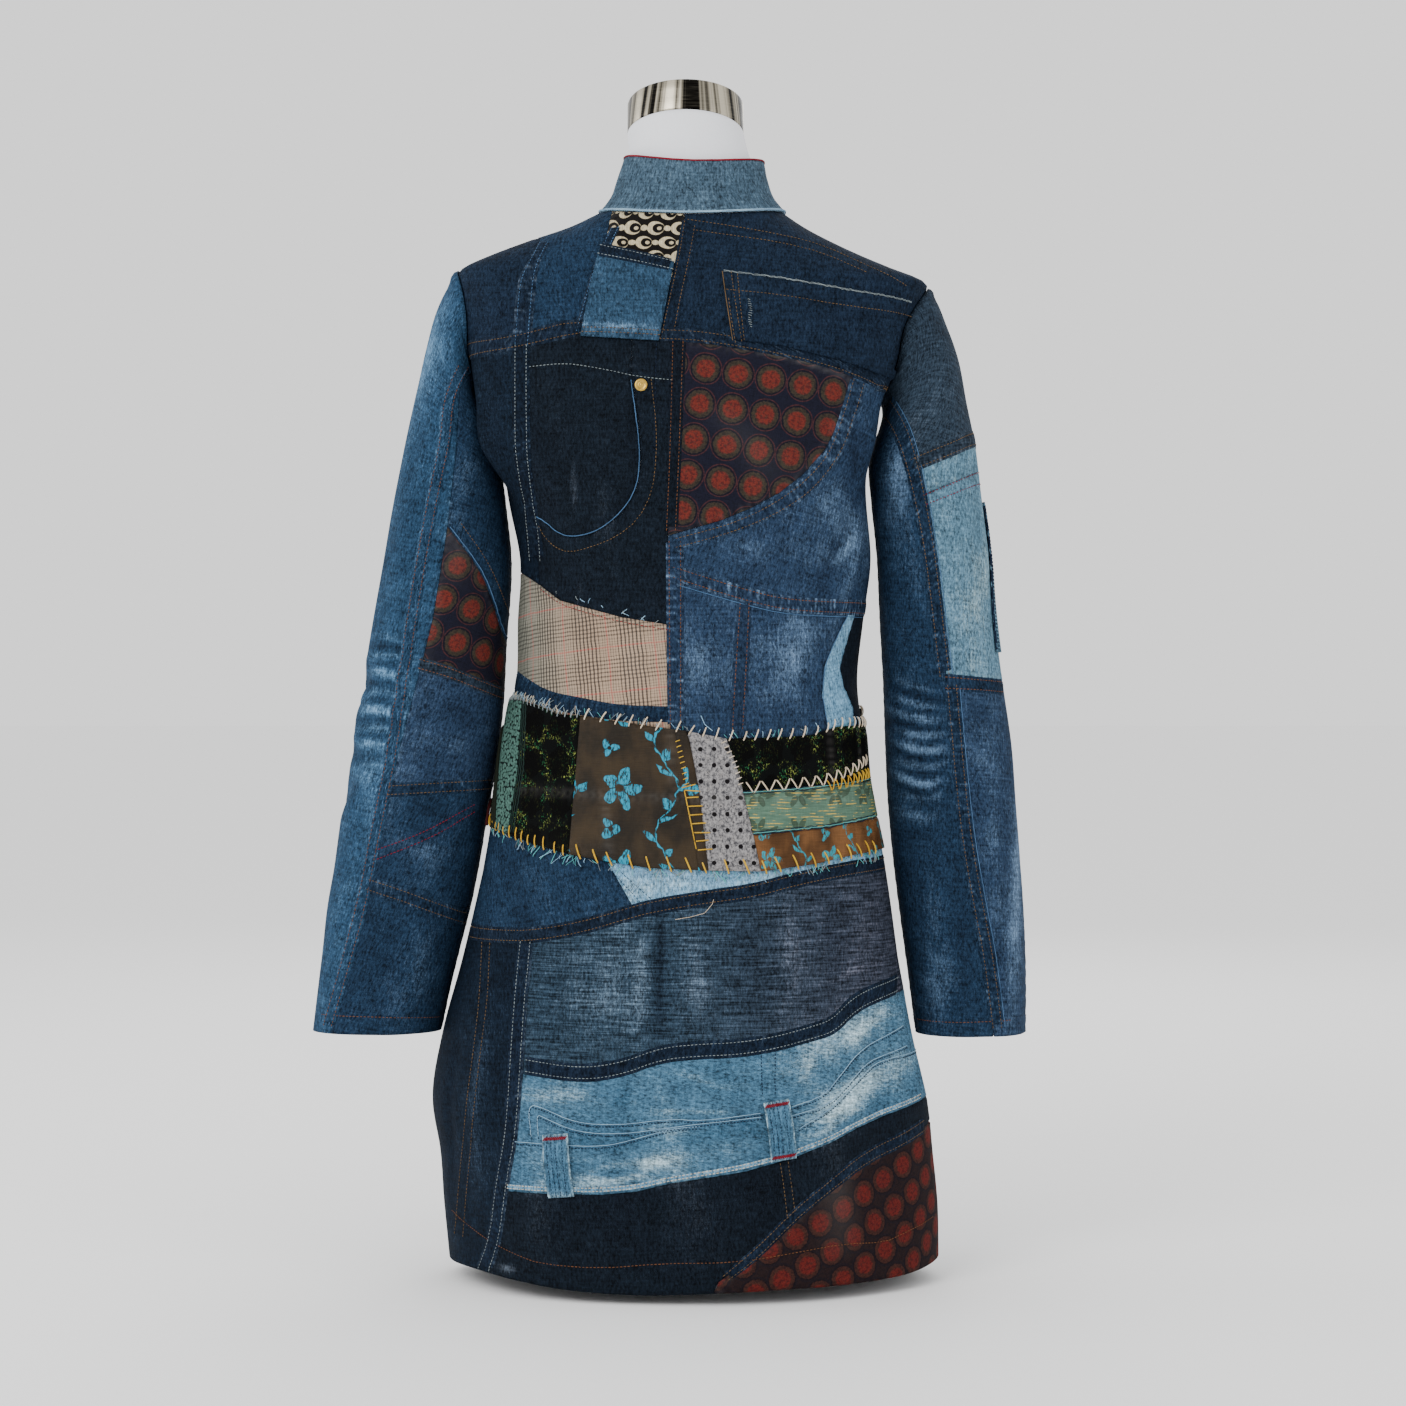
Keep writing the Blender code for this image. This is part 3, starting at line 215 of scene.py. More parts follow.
# Soft folds of the sleeves, as those of the body: 0 is the back, 90 the outer side, -90 the inner side
LEFT_FOLDS = table(Fold,
    (40, 16, 120, 290, 3, -14), (75, 14, 300, 350, -3, 30), (60, 14, 345, 395, 3, -30), (70, 15, 385, 440, -3, 25),
    (-30, 18, 330, 470, -3, 10), (150, 22, 260, 460, 4, -12), (-20, 14, 430, 700, 3, 6), (110, 18, 470, 720, -3, 5),
    (-10, 14, 60, 180, -3, 20))
RIGHT_FOLDS = table(Fold,
    (-25, 14, 60, 210, -3, 20), (20, 16, 150, 330, 3, -12), (-35, 14, 290, 350, -3, 25), (-20, 14, 340, 400, 3, -25),
    (-35, 14, 390, 440, -3, 25), (150, 22, 250, 450, 4, 12), (10, 15, 420, 700, -3, 6), (100, 18, 460, 700, 3, 5))
SLEEVES = {-1: (LEFT_SLEEVE, LEFT_FOLDS), 1: (RIGHT_SLEEVE, RIGHT_FOLDS)}

Armhole = namedtuple("Armhole", "middle_z half_z half_y")
ARMHOLES = {-1: Armhole(775.5, 45, 44), 1: Armhole(761, 45, 44)}
ARMHOLE_EASE = 1.2
CAP_BLEND = 14.0
SEAT_GAP = 0.8
CAP_RISE = 12.0


def sleeve_surface(side, angle, down):
    """Outer face of a sleeve, in metres; side is -1 for the left one and +1 for the right one."""
    rows, folds = SLEEVES[side]
    angle = np.asarray(angle, dtype=float)
    down = np.asarray(down, dtype=float)
    across, facing = rounded_box(angle, SLEEVE_BOXY)
    value = {key: along(rows, key, down) for key in SleeveRow._fields[1:]}
    bulge = fold_depth(angle, down, folds)
    half = 0.5 * (value["outer"] - value["inner"])
    tilt = 0.5 * (value["outer_z"] - value["inner_z"])
    out = 0.5 * (value["outer"] + value["inner"]) + (half + bulge * np.abs(across)) * across
    z = 0.5 * (value["outer_z"] + value["inner_z"]) + tilt * across
    y = value["mid_y"] - (value["deep"] + bulge) * facing
    hole = ARMHOLES[side]
    seat_z = hole.middle_z + (hole.half_z + ARMHOLE_EASE) * across
    seat_y = -(hole.half_y + ARMHOLE_EASE) * facing
    inner = 1.0 - SOLID_WALL / hole.half_z
    inner_z = hole.middle_z + (seat_z - hole.middle_z) * inner
    seat = np.maximum(body_side(side, seat_y, seat_z), body_side(side, seat_y * inner, inner_z)) + SEAT_GAP
    blend = smooth_step(0.0, CAP_BLEND, down)
    out = seat + (out - seat) * blend + CAP_RISE * blend * (1.0 - blend)
    y = seat_y + (y - seat_y) * blend
    z = seat_z + (z - seat_z) * blend
    return np.stack([side * out, y, z], axis=-1) * MM
print("sleeve lengths:", LEFT_SLEEVE[-1].down, RIGHT_SLEEVE[-1].down, "mm")

# %% Rings of the collar and the neck
CollarRow = namedtuple("CollarRow", "up left right back front ahead")

# The stand collar and the form's neck: height above the neckline, half widths and depths, shift forwards
COLLAR = table(CollarRow,
    (0.0, 74, 78, 63, 60, 0), (12, 65, 69, 60.5, 58, 1), (26, 60, 64, 58, 57, 3), (44, 54, 61, 56, 57, 7))
COLLAR_SEAT = 1.3
NeckRow = namedtuple("NeckRow", "height across middle_x middle_y deep lean")
NECK = table(NeckRow,
    (874, 62, 1, 0, 50, 0.0), (886, 54, 1, 3, 49, 0.1), (904, 51, 2, 8, 48, 0.5), (920, 49, -1, 13, 48, 0.9),
    (936.7, 48, -3.7, 17.9, 48, 1.0))

GapRow = namedtuple("GapRow", "height gap")

# How far the form's face lies inside the cloth's outer face: the shoulders carry the jacket
FORM_GAP = table(GapRow, (190, 36), (330, 22), (450, 14), (600, 13), (700, 11), (770, 6.5), (800, 4.0), (868, 3.6))


def collar_surface(angle, up):
    """Outer face of the stand collar, in metres, standing just above the neckline."""
    angle = np.asarray(angle, dtype=float)
    across, facing = rounded_box(angle, 2.1)
    side = np.where(across > 0, along(COLLAR, "right", up), along(COLLAR, "left", up))
    deep = np.where(facing > 0, along(COLLAR, "back", up), along(COLLAR, "front", up))
    x = side * across
    y = along(COLLAR, "ahead", up) - deep * facing
    z = body_level(angle, NECK_HEIGHT) + COLLAR_SEAT + up * (1.0 - 0.04 * across)
    return np.stack([x, y, z], axis=-1) * MM
print("collar height:", COLLAR[-1].up, "mm")

# %% [markdown]
# ## Creases
# Worn denim has soft troughs and ridges that start at a seam or a joint and run out. Each one here is placed
# one by one: where it starts and ends on the sheet, how wide it is and how deep. A cloth simulation would give
# creases too, but not these ones in these places. They taper to nothing at both ends and wander a little.

# %% Creases of the back, by distance from the centre back and height
Crease = namedtuple("Crease", "x z to_x to_z width depth")
BACK_CREASES = table(Crease,
    (128, 700, 134, 640, 9, -2.6), (150, 650, 96, 560, 11, -1.6), (140, 610, 108, 520, 9, 1.5),
    (60, 600, 118, 568, 10, -1.2), (-128, 700, -96, 640, 10, -1.2), (-140, 640, -118, 560, 9, -1.8),
    (-70, 650, -62, 560, 9, 0.8), (-104, 560, -60, 500, 12, -1.2), (-40, 530, -52, 470, 10, 0.9),
    (10, 520, 26, 460, 11, -1.0), (84, 520, 70, 462, 12, 1.2), (-150, 350, -112, 250, 14, -1.8),
    (-24, 314, -22, 196, 7, -2.4), (-52, 310, -58, 190, 13, 1.9), (2, 312, 8, 200, 12, 1.6),
    (40, 318, 46, 206, 10, -1.7), (72, 324, 80, 214, 11, 1.8), (108, 334, 118, 230, 10, -1.9),
    (-96, 290, -104, 190, 12, -1.4), (-60, 180, -40, 60, 13, -1.5), (-20, 190, 8, 20, 12, 1.7),
    (34, 196, 60, 30, 12, -1.6), (90, 205, 120, 30, 12, 1.5), (140, 225, 160, 40, 11, -1.6),
    (-110, 150, -118, 20, 11, 1.5), (-84, 104, -20, 118, 6, 0.9), (-60, 112, 20, 128, 6, -0.9),
    (84, 128, 150, 172, 7, 1.0), (40, 176, 84, 168, 6, -0.9), (-160, 230, -166, 60, 12, 1.8),
    (-186, 200, -190, 40, 10, -1.8), (-30, 740, -26, 650, 7, -0.7), (74, 800, 150, 770, 9, -0.7),
    (-100, 800, -150, 770, 9, -0.6), (-10, 845, 40, 835, 7, -0.5), (12, 700, 70, 640, 12, 0.7),
    (-146, 452, -150, 380, 8, 1.0), (-40, 448, -30, 350, 12, -0.9), (96, 440, 104, 356, 11, -1.0))

GATHERS = tuple(Crease(x, 551 - 0.26 * (x + 104) + (0.012 * (x + 60) ** 2 if x < -84 else 0), x + 3,
                       536 - 0.26 * (x + 104), 1.9, -0.75) for x in range(-114, -20, 7))

# %% Creases of the fronts, by turn round the body and height
FRONT_CREASES = table(Crease,
    (112, 760, 150, 700, 12, -1.4), (-112, 760, -148, 690, 12, -1.4), (108, 690, 140, 600, 12, -1.8),
    (-108, 690, -142, 610, 12, -1.8), (118, 620, 150, 530, 10, 1.4), (-118, 620, -152, 520, 10, 1.4),
    (140, 560, 162, 500, 9, -1.2), (-140, 560, -160, 490, 9, -1.2), (125, 340, 132, 120, 14, -2.4),
    (-120, 340, -130, 100, 14, -2.4), (142, 345, 146, 80, 13, 2.2), (-140, 345, -150, 60, 13, 2.0),
    (158, 340, 165, 150, 11, -1.8), (-158, 340, -162, 130, 11, -1.8), (110, 330, 108, 90, 12, 1.9),
    (-106, 320, -104, 60, 12, 1.7), (170, 300, 172, 40, 8, 1.2))

# %% Creases of the sleeves, by distance from the centre back and height
LEFT_CREASES = table(Crease,
    (-214, 700, -236, 600, 12, -1.6), (-176, 680, -196, 560, 10, 1.3), (-205, 760, -176, 700, 9, -1.2),
    (-262, 520, -214, 500, 6, -1.7), (-266, 503, -222, 484, 5, 1.5), (-268, 489, -224, 472, 6, -1.9),
    (-272, 473, -226, 458, 5, 1.6), (-274, 458, -230, 446, 6, -1.9), (-276, 444, -238, 430, 5, 1.4),
    (-278, 428, -236, 418, 6, -1.6), (-280, 412, -250, 402, 5, 1.1), (-220, 470, -166, 452, 8, -1.3),
    (-216, 440, -170, 430, 7, 1.1), (-236, 392, -182, 372, 7, -1.4), (-246, 362, -190, 340, 8, 1.3),
    (-262, 350, -270, 230, 11, -1.5), (-214, 290, -226, 214, 10, 1.4), (-240, 300, -252, 216, 9, -1.2))
RIGHT_CREASES = table(Crease,
    (172, 690, 196, 600, 11, -1.6), (214, 700, 206, 650, 9, 1.1), (170, 640, 190, 540, 10, 1.3),
    (162, 484, 206, 470, 5, -1.6), (160, 470, 205, 456, 5, 1.5), (160, 456, 207, 440, 6, -1.9),
    (162, 441, 210, 426, 5, 1.6), (162, 426, 211, 412, 6, -1.9), (163, 412, 208, 398, 5, 1.5),
    (166, 397, 212, 386, 6, -1.7), (166, 383, 204, 372, 5, 1.3), (170, 368, 208, 356, 6, -1.4),
    (226, 470, 250, 440, 8, -1.2), (190, 350, 200, 220, 11, 1.4), (214, 340, 226, 214, 10, -1.3),
    (240, 420, 256, 260, 10, 1.3), (232, 640, 240, 520, 9, -1.0))
# the hidden fronts of both sleeves: turn round the sleeve and distance down it
SLEEVE_FRONT_CREASES = table(Crease,
    (120, 210, 200, 240, 8, -1.7), (110, 240, 190, 262, 7, 1.5), (130, 270, 215, 290, 8, -1.8),
    (115, 300, 190, 312, 7, 1.4), (140, 326, 220, 340, 8, -1.6), (125, 352, 200, 366, 7, 1.2),
    (150, 60, 180, 180, 13, -1.6), (205, 70, 190, 190, 12, 1.3), (160, 400, 176, 560, 12, -1.5),
    (200, 410, 206, 570, 12, 1.4))
print("creases:", len(BACK_CREASES + FRONT_CREASES + LEFT_CREASES + RIGHT_CREASES + SLEEVE_FRONT_CREASES))

# %% [markdown]
# ## Walls
# A wall is one closed sheet: the body, or a sleeve. It knows how to turn a place on its flat plan, in
# millimetres round and along, into a point in space, and how to find the place on the plan that is seen at a
# given distance from the centre back and height. So each piece can be cut out by its own drawn outline, as a
# maker cuts a paper pattern, and its weave, creases and stitches follow the cloth.

# %% Small helpers for lines
def pair(a, b):
    """Two rows of numbers as one row of places."""
    return np.stack([a, b], axis=1)


def spread(points, step):
    """A line with a point at least every few millimetres."""
    points = np.asarray(points, dtype=float)
    runs = []
    for start, end in zip(points[:-1], points[1:]):
        count = max(1, int(math.ceil(np.linalg.norm(end - start) / step)))
        runs.append(start + (end - start) * np.arange(count)[:, None] / count)
    return np.concatenate(runs + [points[-1:]])


def even(points, step):
    """A line with its points a given step apart."""
    points = np.asarray(points, dtype=float)
    gone = np.concatenate([[0], np.cumsum(np.linalg.norm(np.diff(points, axis=0), axis=1))])
    count = max(2, int(round(gone[-1] / step)) + 1)
    where = np.linspace(0, gone[-1], count)
    return np.stack([np.interp(where, gone, points[:, k]) for k in range(points.shape[1])], axis=1)


def rounded(points, times=2):
    """A line with its corners cut round, its ends kept."""
    points = np.asarray(points, dtype=float)
    for _ in range(times):
        if len(points) < 3:
            return points
        ahead = 0.75 * points[:-1] + 0.25 * points[1:]
        behind = 0.25 * points[:-1] + 0.75 * points[1:]
        middle = pair(ahead, behind).reshape(-1, points.shape[1])
        points = np.concatenate([points[:1], middle[1:-1], points[-1:]])
    return points


def beside(points, distance):
    """A line moved sideways on its plan, to the left of its run when the distance is positive."""
    run = np.gradient(points, axis=0)
    run /= np.maximum(np.linalg.norm(run, axis=1, keepdims=True), 1e-9)
    return points + pair(-run[:, 1], run[:, 0]) * distance


def look_up(places):
    """A tree that finds the nearest of many places on a plan."""
    tree = KDTree(len(places))
    for index, (x, y) in enumerate(places):
        tree.insert((x, y, 0), index)
    tree.balance()
    return tree


def ripple(where, seed):
    """A steady uneven wave between about -1 and 1."""
    return (np.sin(where * 0.61 + seed) + np.sin(where * 1.37 + 2.3 * seed) + np.sin(where * 2.9 + 0.7 * seed)) / 3.0


print("a line of 100 mm in steps of 3 mm has", len(even([(0, 0), (100, 0)], 3)), "points")

# %% The wall
PUCKER, PUCKER_REACH = 0.25, 7.0
ARC_TURN, ARC_RUN = 3.0, 6.0
FEW = 8  # so few points off the sheet don't show on which side of it a line runs


class Wall:
    """One closed sheet of cloth, with a flat plan in millimetres."""

    def __init__(self, surface, sign, low, high, per_degree, depth):
        self.surface, self.sign, self.low, self.high = surface, sign, low, high
        self.per_degree, self.depth = per_degree, depth
        self.sign_down = 1.0 if high > 700 else -1.0
        turn, run = np.meshgrid(np.arange(-93, 93.5, 1.0), np.arange(low, high + 0.1, 3.0))
        self.near = pair(turn.ravel(), run.ravel())
        self.tree = look_up(self.surface(self.near[:, 0], self.near[:, 1])[:, [0, 2]] / MM)
        self.creases, self.seams = [], []
        self.edge = self.border()
        self.edge_seen = self.surface(self.edge[:, 0] / per_degree, self.edge[:, 1])[:, [0, 2]] / MM
        self.arcs = self.measure_arcs()

    def limit(self, run):
        """Turn of the side seam, just past the silhouette."""
        return 90.0 + np.degrees(np.arctan(np.clip(self.depth(run), -0.1, 0.6)))

    def border(self):
        """The plan's own edge: up one side seam, along the top and down the other."""
        up = np.arange(self.low, self.high + 0.1, 3.0)
        wide = self.limit(up)
        across = np.linspace(-1, 1, 80)
        left = pair(-wide, up)
        top = pair(across * wide[-1], np.full(80, self.high))
        right = pair(wide, up)[::-1]
        base = pair(across[::-1] * wide[0], np.full(80, self.low))
        loop = np.concatenate([left, top[1:-1], right, base[1:-1]])
        return loop * [self.per_degree, 1.0]

    def measure_arcs(self):
        """Length of cloth from the centre back to each turn, at each run, in millimetres."""
        self.arc_turns = np.arange(-186, 301, ARC_TURN)
        self.arc_runs = np.arange(self.low, self.high + ARC_RUN, ARC_RUN)
        turn, run = np.meshgrid(self.arc_turns, self.arc_runs)
        points = self.surface(turn, run) / MM
        gone = np.cumsum(np.linalg.norm(np.diff(points, axis=1), axis=2), axis=1)
        gone = np.concatenate([np.zeros((len(gone), 1)), gone], axis=1)
        return gone - gone[:, self.arc_turns == 0.0]

    def flat(self, plan):
        """The plan in true millimetres of cloth: along its width and its length."""
        t = np.clip((plan[..., 0] / self.per_degree - self.arc_turns[0]) / ARC_TURN, 0, len(self.arc_turns) - 1.001)
        r = np.clip((plan[..., 1] - self.arc_runs[0]) / ARC_RUN, 0, len(self.arc_runs) - 1.001)
        i, j = t.astype(int), r.astype(int)
        a, b = t - i, r - j
        low = self.arcs[j, i] * (1 - a) + self.arcs[j, i + 1] * a
        high = self.arcs[j + 1, i] * (1 - a) + self.arcs[j + 1, i + 1] * a
        return np.stack([low * (1 - b) + high * b, plan[..., 1]], axis=-1)

    def locate(self, points):
        """Plan places of points that are given by distance from the centre back and height."""
        points = np.asarray(points, dtype=float)
        start = np.array([self.near[self.tree.find((x, z, 0))[1]] for x, z in points])
        turn, run = start[:, 0].copy(), start[:, 1].copy()
        for _ in range(5):
            here = self.surface(turn, run)[:, [0, 2]] / MM
            by_turn = (self.surface(turn + 0.4, run) - self.surface(turn - 0.4, run))[:, [0, 2]] / (0.8 * MM)
            by_run = (self.surface(turn, run + 0.8) - self.surface(turn, run - 0.8))[:, [0, 2]] / (1.6 * MM)
            miss = points - here
            det = by_turn[:, 0] * by_run[:, 1] - by_turn[:, 1] * by_run[:, 0]
            det = np.where(np.abs(det) < 0.02, np.where(det < 0, -0.02, 0.02), det)
            turn += np.clip((miss[:, 0] * by_run[:, 1] - miss[:, 1] * by_run[:, 0]) / det, -2, 2)
            run += np.clip((miss[:, 1] * by_turn[:, 0] - miss[:, 0] * by_turn[:, 1]) / det, -4, 4)
            run = np.clip(run, self.low - 2, self.high + 2)
        left = np.linalg.norm(points - self.surface(turn, run)[:, [0, 2]] / MM, axis=1)
        inside = (left < 0.5) & (np.abs(turn) < self.limit(run)) & (run > self.low) & (run < self.high)
        return pair(turn * self.per_degree, run), inside

    def on_plan(self, outline, closed=False, step=3.0):
        """A drawn line as a line on the plan. What leaves the sheet is led along the sheet's edge."""
        drawn = list(outline) + [outline[0]] if closed else list(outline)
        points = spread(drawn, step)
        places, inside = self.locate(points)
        if closed:
            places, inside, points = places[:-1], inside[:-1], points[:-1]
            first = int(np.argmax(inside))
            places, inside, points = (np.roll(rows, -first, axis=0) for rows in (places, inside, points))
        line, away, outside = [], None, []
        for place, seen, point in zip(places, inside, points):
            if seen and away is not None:
                line += self.along_edge(away, place, outside)
                away, outside = None, []
            if seen:
                line.append(place)
            elif line:
                away = line[-1] if away is None else away
                outside.append(point)
        if away is not None and closed:
            line += self.along_edge(away, line[0], outside)
        elif away is not None:
            line.append(self.edge[np.argmin(np.linalg.norm(self.edge - away, axis=1))])
        line = np.array(line)
        step_long = np.linalg.norm(np.diff(line, axis=0), axis=1)
        return line[np.concatenate([[True], step_long > 0.5])]

    def along_edge(self, start, end, outside):
        """The way along the plan's edge between two places near it, on the side of the drawn points."""
        i = int(np.argmin(np.linalg.norm(self.edge - start, axis=1)))
        j = int(np.argmin(np.linalg.norm(self.edge - end, axis=1)))
        count = len(self.edge)
        ahead = (j - i) % count
        ways = [[(i + k) % count for k in range(ahead + 1)], [(i - k) % count for k in range(count - ahead + 1)]]
        if len(outside) > FEW:
            drawn = np.mean(outside, axis=0)
            far = [np.linalg.norm(self.edge_seen[way].mean(axis=0) - drawn) for way in ways]
        else:
            far = [len(way) for way in ways]
        return list(self.edge[ways[int(np.argmin(far))]])

    def add_creases(self, rows, drawn):
        """Place creases by a drawn line, or straight on the plan by turn and run."""
        for row in rows:
            ends = np.array([(row.x, row.z), (row.to_x, row.to_z)], dtype=float)
            ends = self.locate(ends)[0] if drawn else ends * [self.per_degree, 1.0]
            self.creases.append((ends[0], ends[1], row.width, row.depth))

    def crease_depth(self, plan):
        """Sum of the creases at places on the plan, in millimetres outwards."""
        total = np.zeros(plan.shape[:-1])
        around = 360.0 * self.per_degree
        for number, (start, end, width, depth) in enumerate(self.creases):
            run = end - start
            length = np.linalg.norm(run)
            off = plan - start
            off[..., 0] = (off[..., 0] + around / 2) % around - around / 2
            t = (off @ run) / length**2
            across = (off[..., 0] * run[1] - off[..., 1] * run[0]) / length
            across = across - 0.35 * width * np.sin(3.1 * t + number)
            wide = width * (0.75 + 0.5 * np.clip(t, 0, 1))
            window = np.clip(1.0 - (2.0 * t - 1.0) ** 2, 0.0, 1.0)
            total += depth * window**0.7 * bell(across / wide)
        return total

    def finish_seams(self):
        self.seam_run = np.concatenate([np.arange(len(line)) * 2.0 + 37.0 * n for n, line in enumerate(self.seams)])
        self.seam_tree = look_up(np.concatenate(self.seams))

    def seam_near(self, plan):
        """Distance to the nearest seam, and how far along it that is."""
        found = [self.seam_tree.find((x, y, 0)) for x, y in plan]
        return np.array([f[2] for f in found]), self.seam_run[np.array([f[1] for f in found])]

    def normal(self, plan):
        """Outward direction of the smooth sheet."""
        turn, run = plan[..., 0] / self.per_degree, plan[..., 1]
        by_turn = self.surface(turn + 0.4, run) - self.surface(turn - 0.4, run)
        by_run = self.surface(turn, run + 0.6) - self.surface(turn, run - 0.6)
        normal = np.cross(by_turn, by_run) * self.sign
        return normal / np.linalg.norm(normal, axis=-1, keepdims=True)

    def place(self, plan, out=0.0):
        """Points of the creased sheet in space, a distance out from it in millimetres, and their normals."""
        plan = np.asarray(plan, dtype=float)
        normal = self.normal(plan)
        point = self.surface(plan[..., 0] / self.per_degree, plan[..., 1])
        lift = self.crease_depth(plan) + out
        flat = plan.reshape(-1, 2)
        if self.seams:
            away, run = self.seam_near(flat)
            wave = PUCKER * np.sin(run * 0.55 + ripple(run * 0.1, 1.0) * 2.0) * bell(away / PUCKER_REACH)
            lift = lift + wave.reshape(plan.shape[:-1])
        return point + normal * np.asarray(lift)[..., None] * MM, normal


BODY_SEAM_Y, SLEEVE_SEAM_Y = 15.0, 20.0
BODY_PER_DEGREE, SLEEVE_PER_DEGREE = 2.7, 0.98


def body_seam(run):
    """How far in front of the middle the body's side seam lies, as a share of its depth."""
    return BODY_SEAM_Y / along(BODY, "front", run)


def sleeve_wall(side, rows):
    """The wall of one sleeve."""
    def seam(run):
        return (SLEEVE_SEAM_Y - along(rows, "mid_y", run)) / along(rows, "deep", run)
    return Wall(lambda turn, run: sleeve_surface(side, turn, run), -side * 1.0, 0.0, rows[-1].down, SLEEVE_PER_DEGREE,
                seam)


body = Wall(body_surface, 1.0, HEM_HEIGHT, NECK_HEIGHT, BODY_PER_DEGREE, body_seam)
left, right = sleeve_wall(-1, LEFT_SLEEVE), sleeve_wall(1, RIGHT_SLEEVE)
body.add_creases(BACK_CREASES + GATHERS, True)
body.add_creases(FRONT_CREASES, False)
left.add_creases(LEFT_CREASES, True)
right.add_creases(RIGHT_CREASES, True)
left.add_creases(SLEEVE_FRONT_CREASES, False)
right.add_creases(SLEEVE_FRONT_CREASES, False)
WALLS = {"body": body, "left": left, "right": right}
print("places on the walls:", [len(wall.near) for wall in WALLS.values()])

# %% [markdown]
# ## Which seams belong to which wall
# The seams of the back are drawn as lines seen from behind, and each piece lists the seams round it. The
# cloth puckers and wears along them, so every wall gets the lines of its own seams before any piece is cut.

# %% Seams of the back
# Seams of the back, as they run on it: sideways from the centre back and up from the floor, in millimetres.
# A seam that leaves the back at a side runs on to 260 or 300, past the cloth.
SEAMS = {
    "yoke_1": ((-260, 747), (-132, 752)), "yoke_2": ((-132, 752), (-85, 760)), "yoke_3": ((-85, 760), (-46, 757)),
    "yoke_4": ((-46, 757), (-20, 755)), "yoke_5": ((-20, 755), (-10, 754)),
    "yoke_6": ((-10, 754), (40, 748), (90, 741), (130, 729)), "yoke_7": ((130, 729), (154, 723), (260, 716)),
    "yoke_left_strip": ((-112, 900), (-127, 804), (-132, 752)),
    "yoke_middle_strip": ((-58, 900), (-67, 835), (-78, 796), (-85, 760)),
    "yoke_right_strip": ((0, 900), (-7, 825), (-13, 787), (-20, 755)),
    "side_strip_1": ((-132, 752), (-133, 695), (-132, 660), (-127, 621)), "side_strip_2": ((-127, 621), (-121, 563)),
    "pocket_curve": (
        (-46, 757), (-45, 721), (-40, 690), (-38, 660), (-41, 638), (-53, 617), (-76, 602), (-93, 599), (-108, 605),
        (-127, 621)),
    "check_top_1": ((-260, 577), (-139, 575), (-121, 563)),
    "check_top_2": ((-121, 563), (-104, 550), (-87, 545), (-54, 536), (-17, 530)),
    "centre_1": ((-10, 754), (-14, 667), (-17, 600)), "centre_2": ((-17, 600), (-17, 574)),
    "centre_3": ((-17, 574), (-17, 530)), "centre_4": ((-17, 530), (-14, 393)),
    "dots_curve": (
        (130, 729), (127, 712), (118, 689), (107, 668), (89, 648), (71, 634), (49, 622), (25, 612), (-17, 600)),
    "rib_seam_1": ((-17, 574), (41, 557), (80, 547), (131, 546)), "rib_seam_2": ((131, 546), (136, 547)),
    "rib_seam_3": ((136, 547), (260, 547)),
    "crescent_left": ((131, 546), (116, 517), (108, 497), (106, 475), (110, 451), (114, 391)),
    "crescent_right": ((136, 547), (127, 517), (121, 497), (124, 482), (132, 465), (138, 391)),
    "waist_1": ((-260, 405), (-66, 395)), "waist_2": ((-66, 395), (-14, 393)), "waist_3": ((-14, 393), (114, 391)),
    "waist_4": ((114, 391), (138, 391)), "waist_5": ((138, 391), (260, 391)),
    "sky_edge": ((-66, 395), (-63, 340), (-44, 307)), "hip_1": ((-260, 283), (-178, 285), (-128, 287)),
    "hip_2": ((-128, 287), (-82, 295), (-44, 307)),
    "hip_3": ((-44, 307), (-23, 313), (14, 318), (52, 323), (82, 331), (129, 340), (260, 343)),
    "skirt_strip_1": ((-128, 287), (-129, 235), (-131, 176)), "skirt_strip_2": ((-131, 176), (-136, 132), (-143, 83)),
    "skirt_strip_3": ((-143, 83), (-154, 45), (-165, -20)),
    "slub_base": (
        (-131, 176), (-85, 173), (-48, 179), (-15, 191), (22, 195), (67, 200), (97, 206), (116, 215), (128, 228),
        (172, 235), (260, 237)),
    "bleach_base": (
        (-143, 83), (-109, 84), (-68, 85), (-41, 88), (-14, 95), (44, 104), (83, 114), (112, 124), (134, 133),
        (160, 141), (190, 148), (260, 150)),
    "corner_seam": (
        (260, 128), (188, 126), (162, 116), (140, 107), (119, 95), (102, 83), (83, 67), (55, 41), (23, 19), (5, -20)),
    "left_long_1": ((-140, 770), (-174, 741), (-184, 721), (-188, 668), (-195, 610)),
    "left_long_2": ((-195, 610), (-207, 536), (-216, 500)), "left_long_3": ((-216, 500), (-238, 416), (-242, 396)),
    "left_long_4": ((-242, 396), (-248, 375), (-260, 320)),
    "left_long_5": ((-260, 320), (-265, 303), (-277, 263), (-292, 199), (-298, 170)),
    "elbow_arc": ((-195, 610), (-175, 583), (-167, 569), (-160, 550), (-155, 530), (-148, 510), (-100, 500)),
    "elbow_base": ((-216, 500), (-151, 476), (-100, 470)), "slate_base": ((-242, 396), (-160, 402), (-100, 402)),
    "fore_base": ((-260, 320), (-203, 302), (-180, 300), (-100, 300)),
    "right_long_1": ((120, 760), (152, 724), (160, 708), (172, 689), (179, 657)),
    "right_long_2": ((179, 657), (185, 634)),
    "right_long_3": ((185, 634), (191, 609), (195, 575), (202, 532), (207, 490)),
    "right_long_4": ((207, 490), (212, 465), (217, 425), (220, 390), (226, 334), (236, 269), (245, 212), (250, 170)),
    "top_base": ((179, 657), (230, 677), (300, 704)), "light_base": ((185, 634), (233, 655), (300, 683)),
    "mint_base": ((207, 490), (252, 486), (300, 482))}

Panel = namedtuple("Panel", "name wall slot outline")

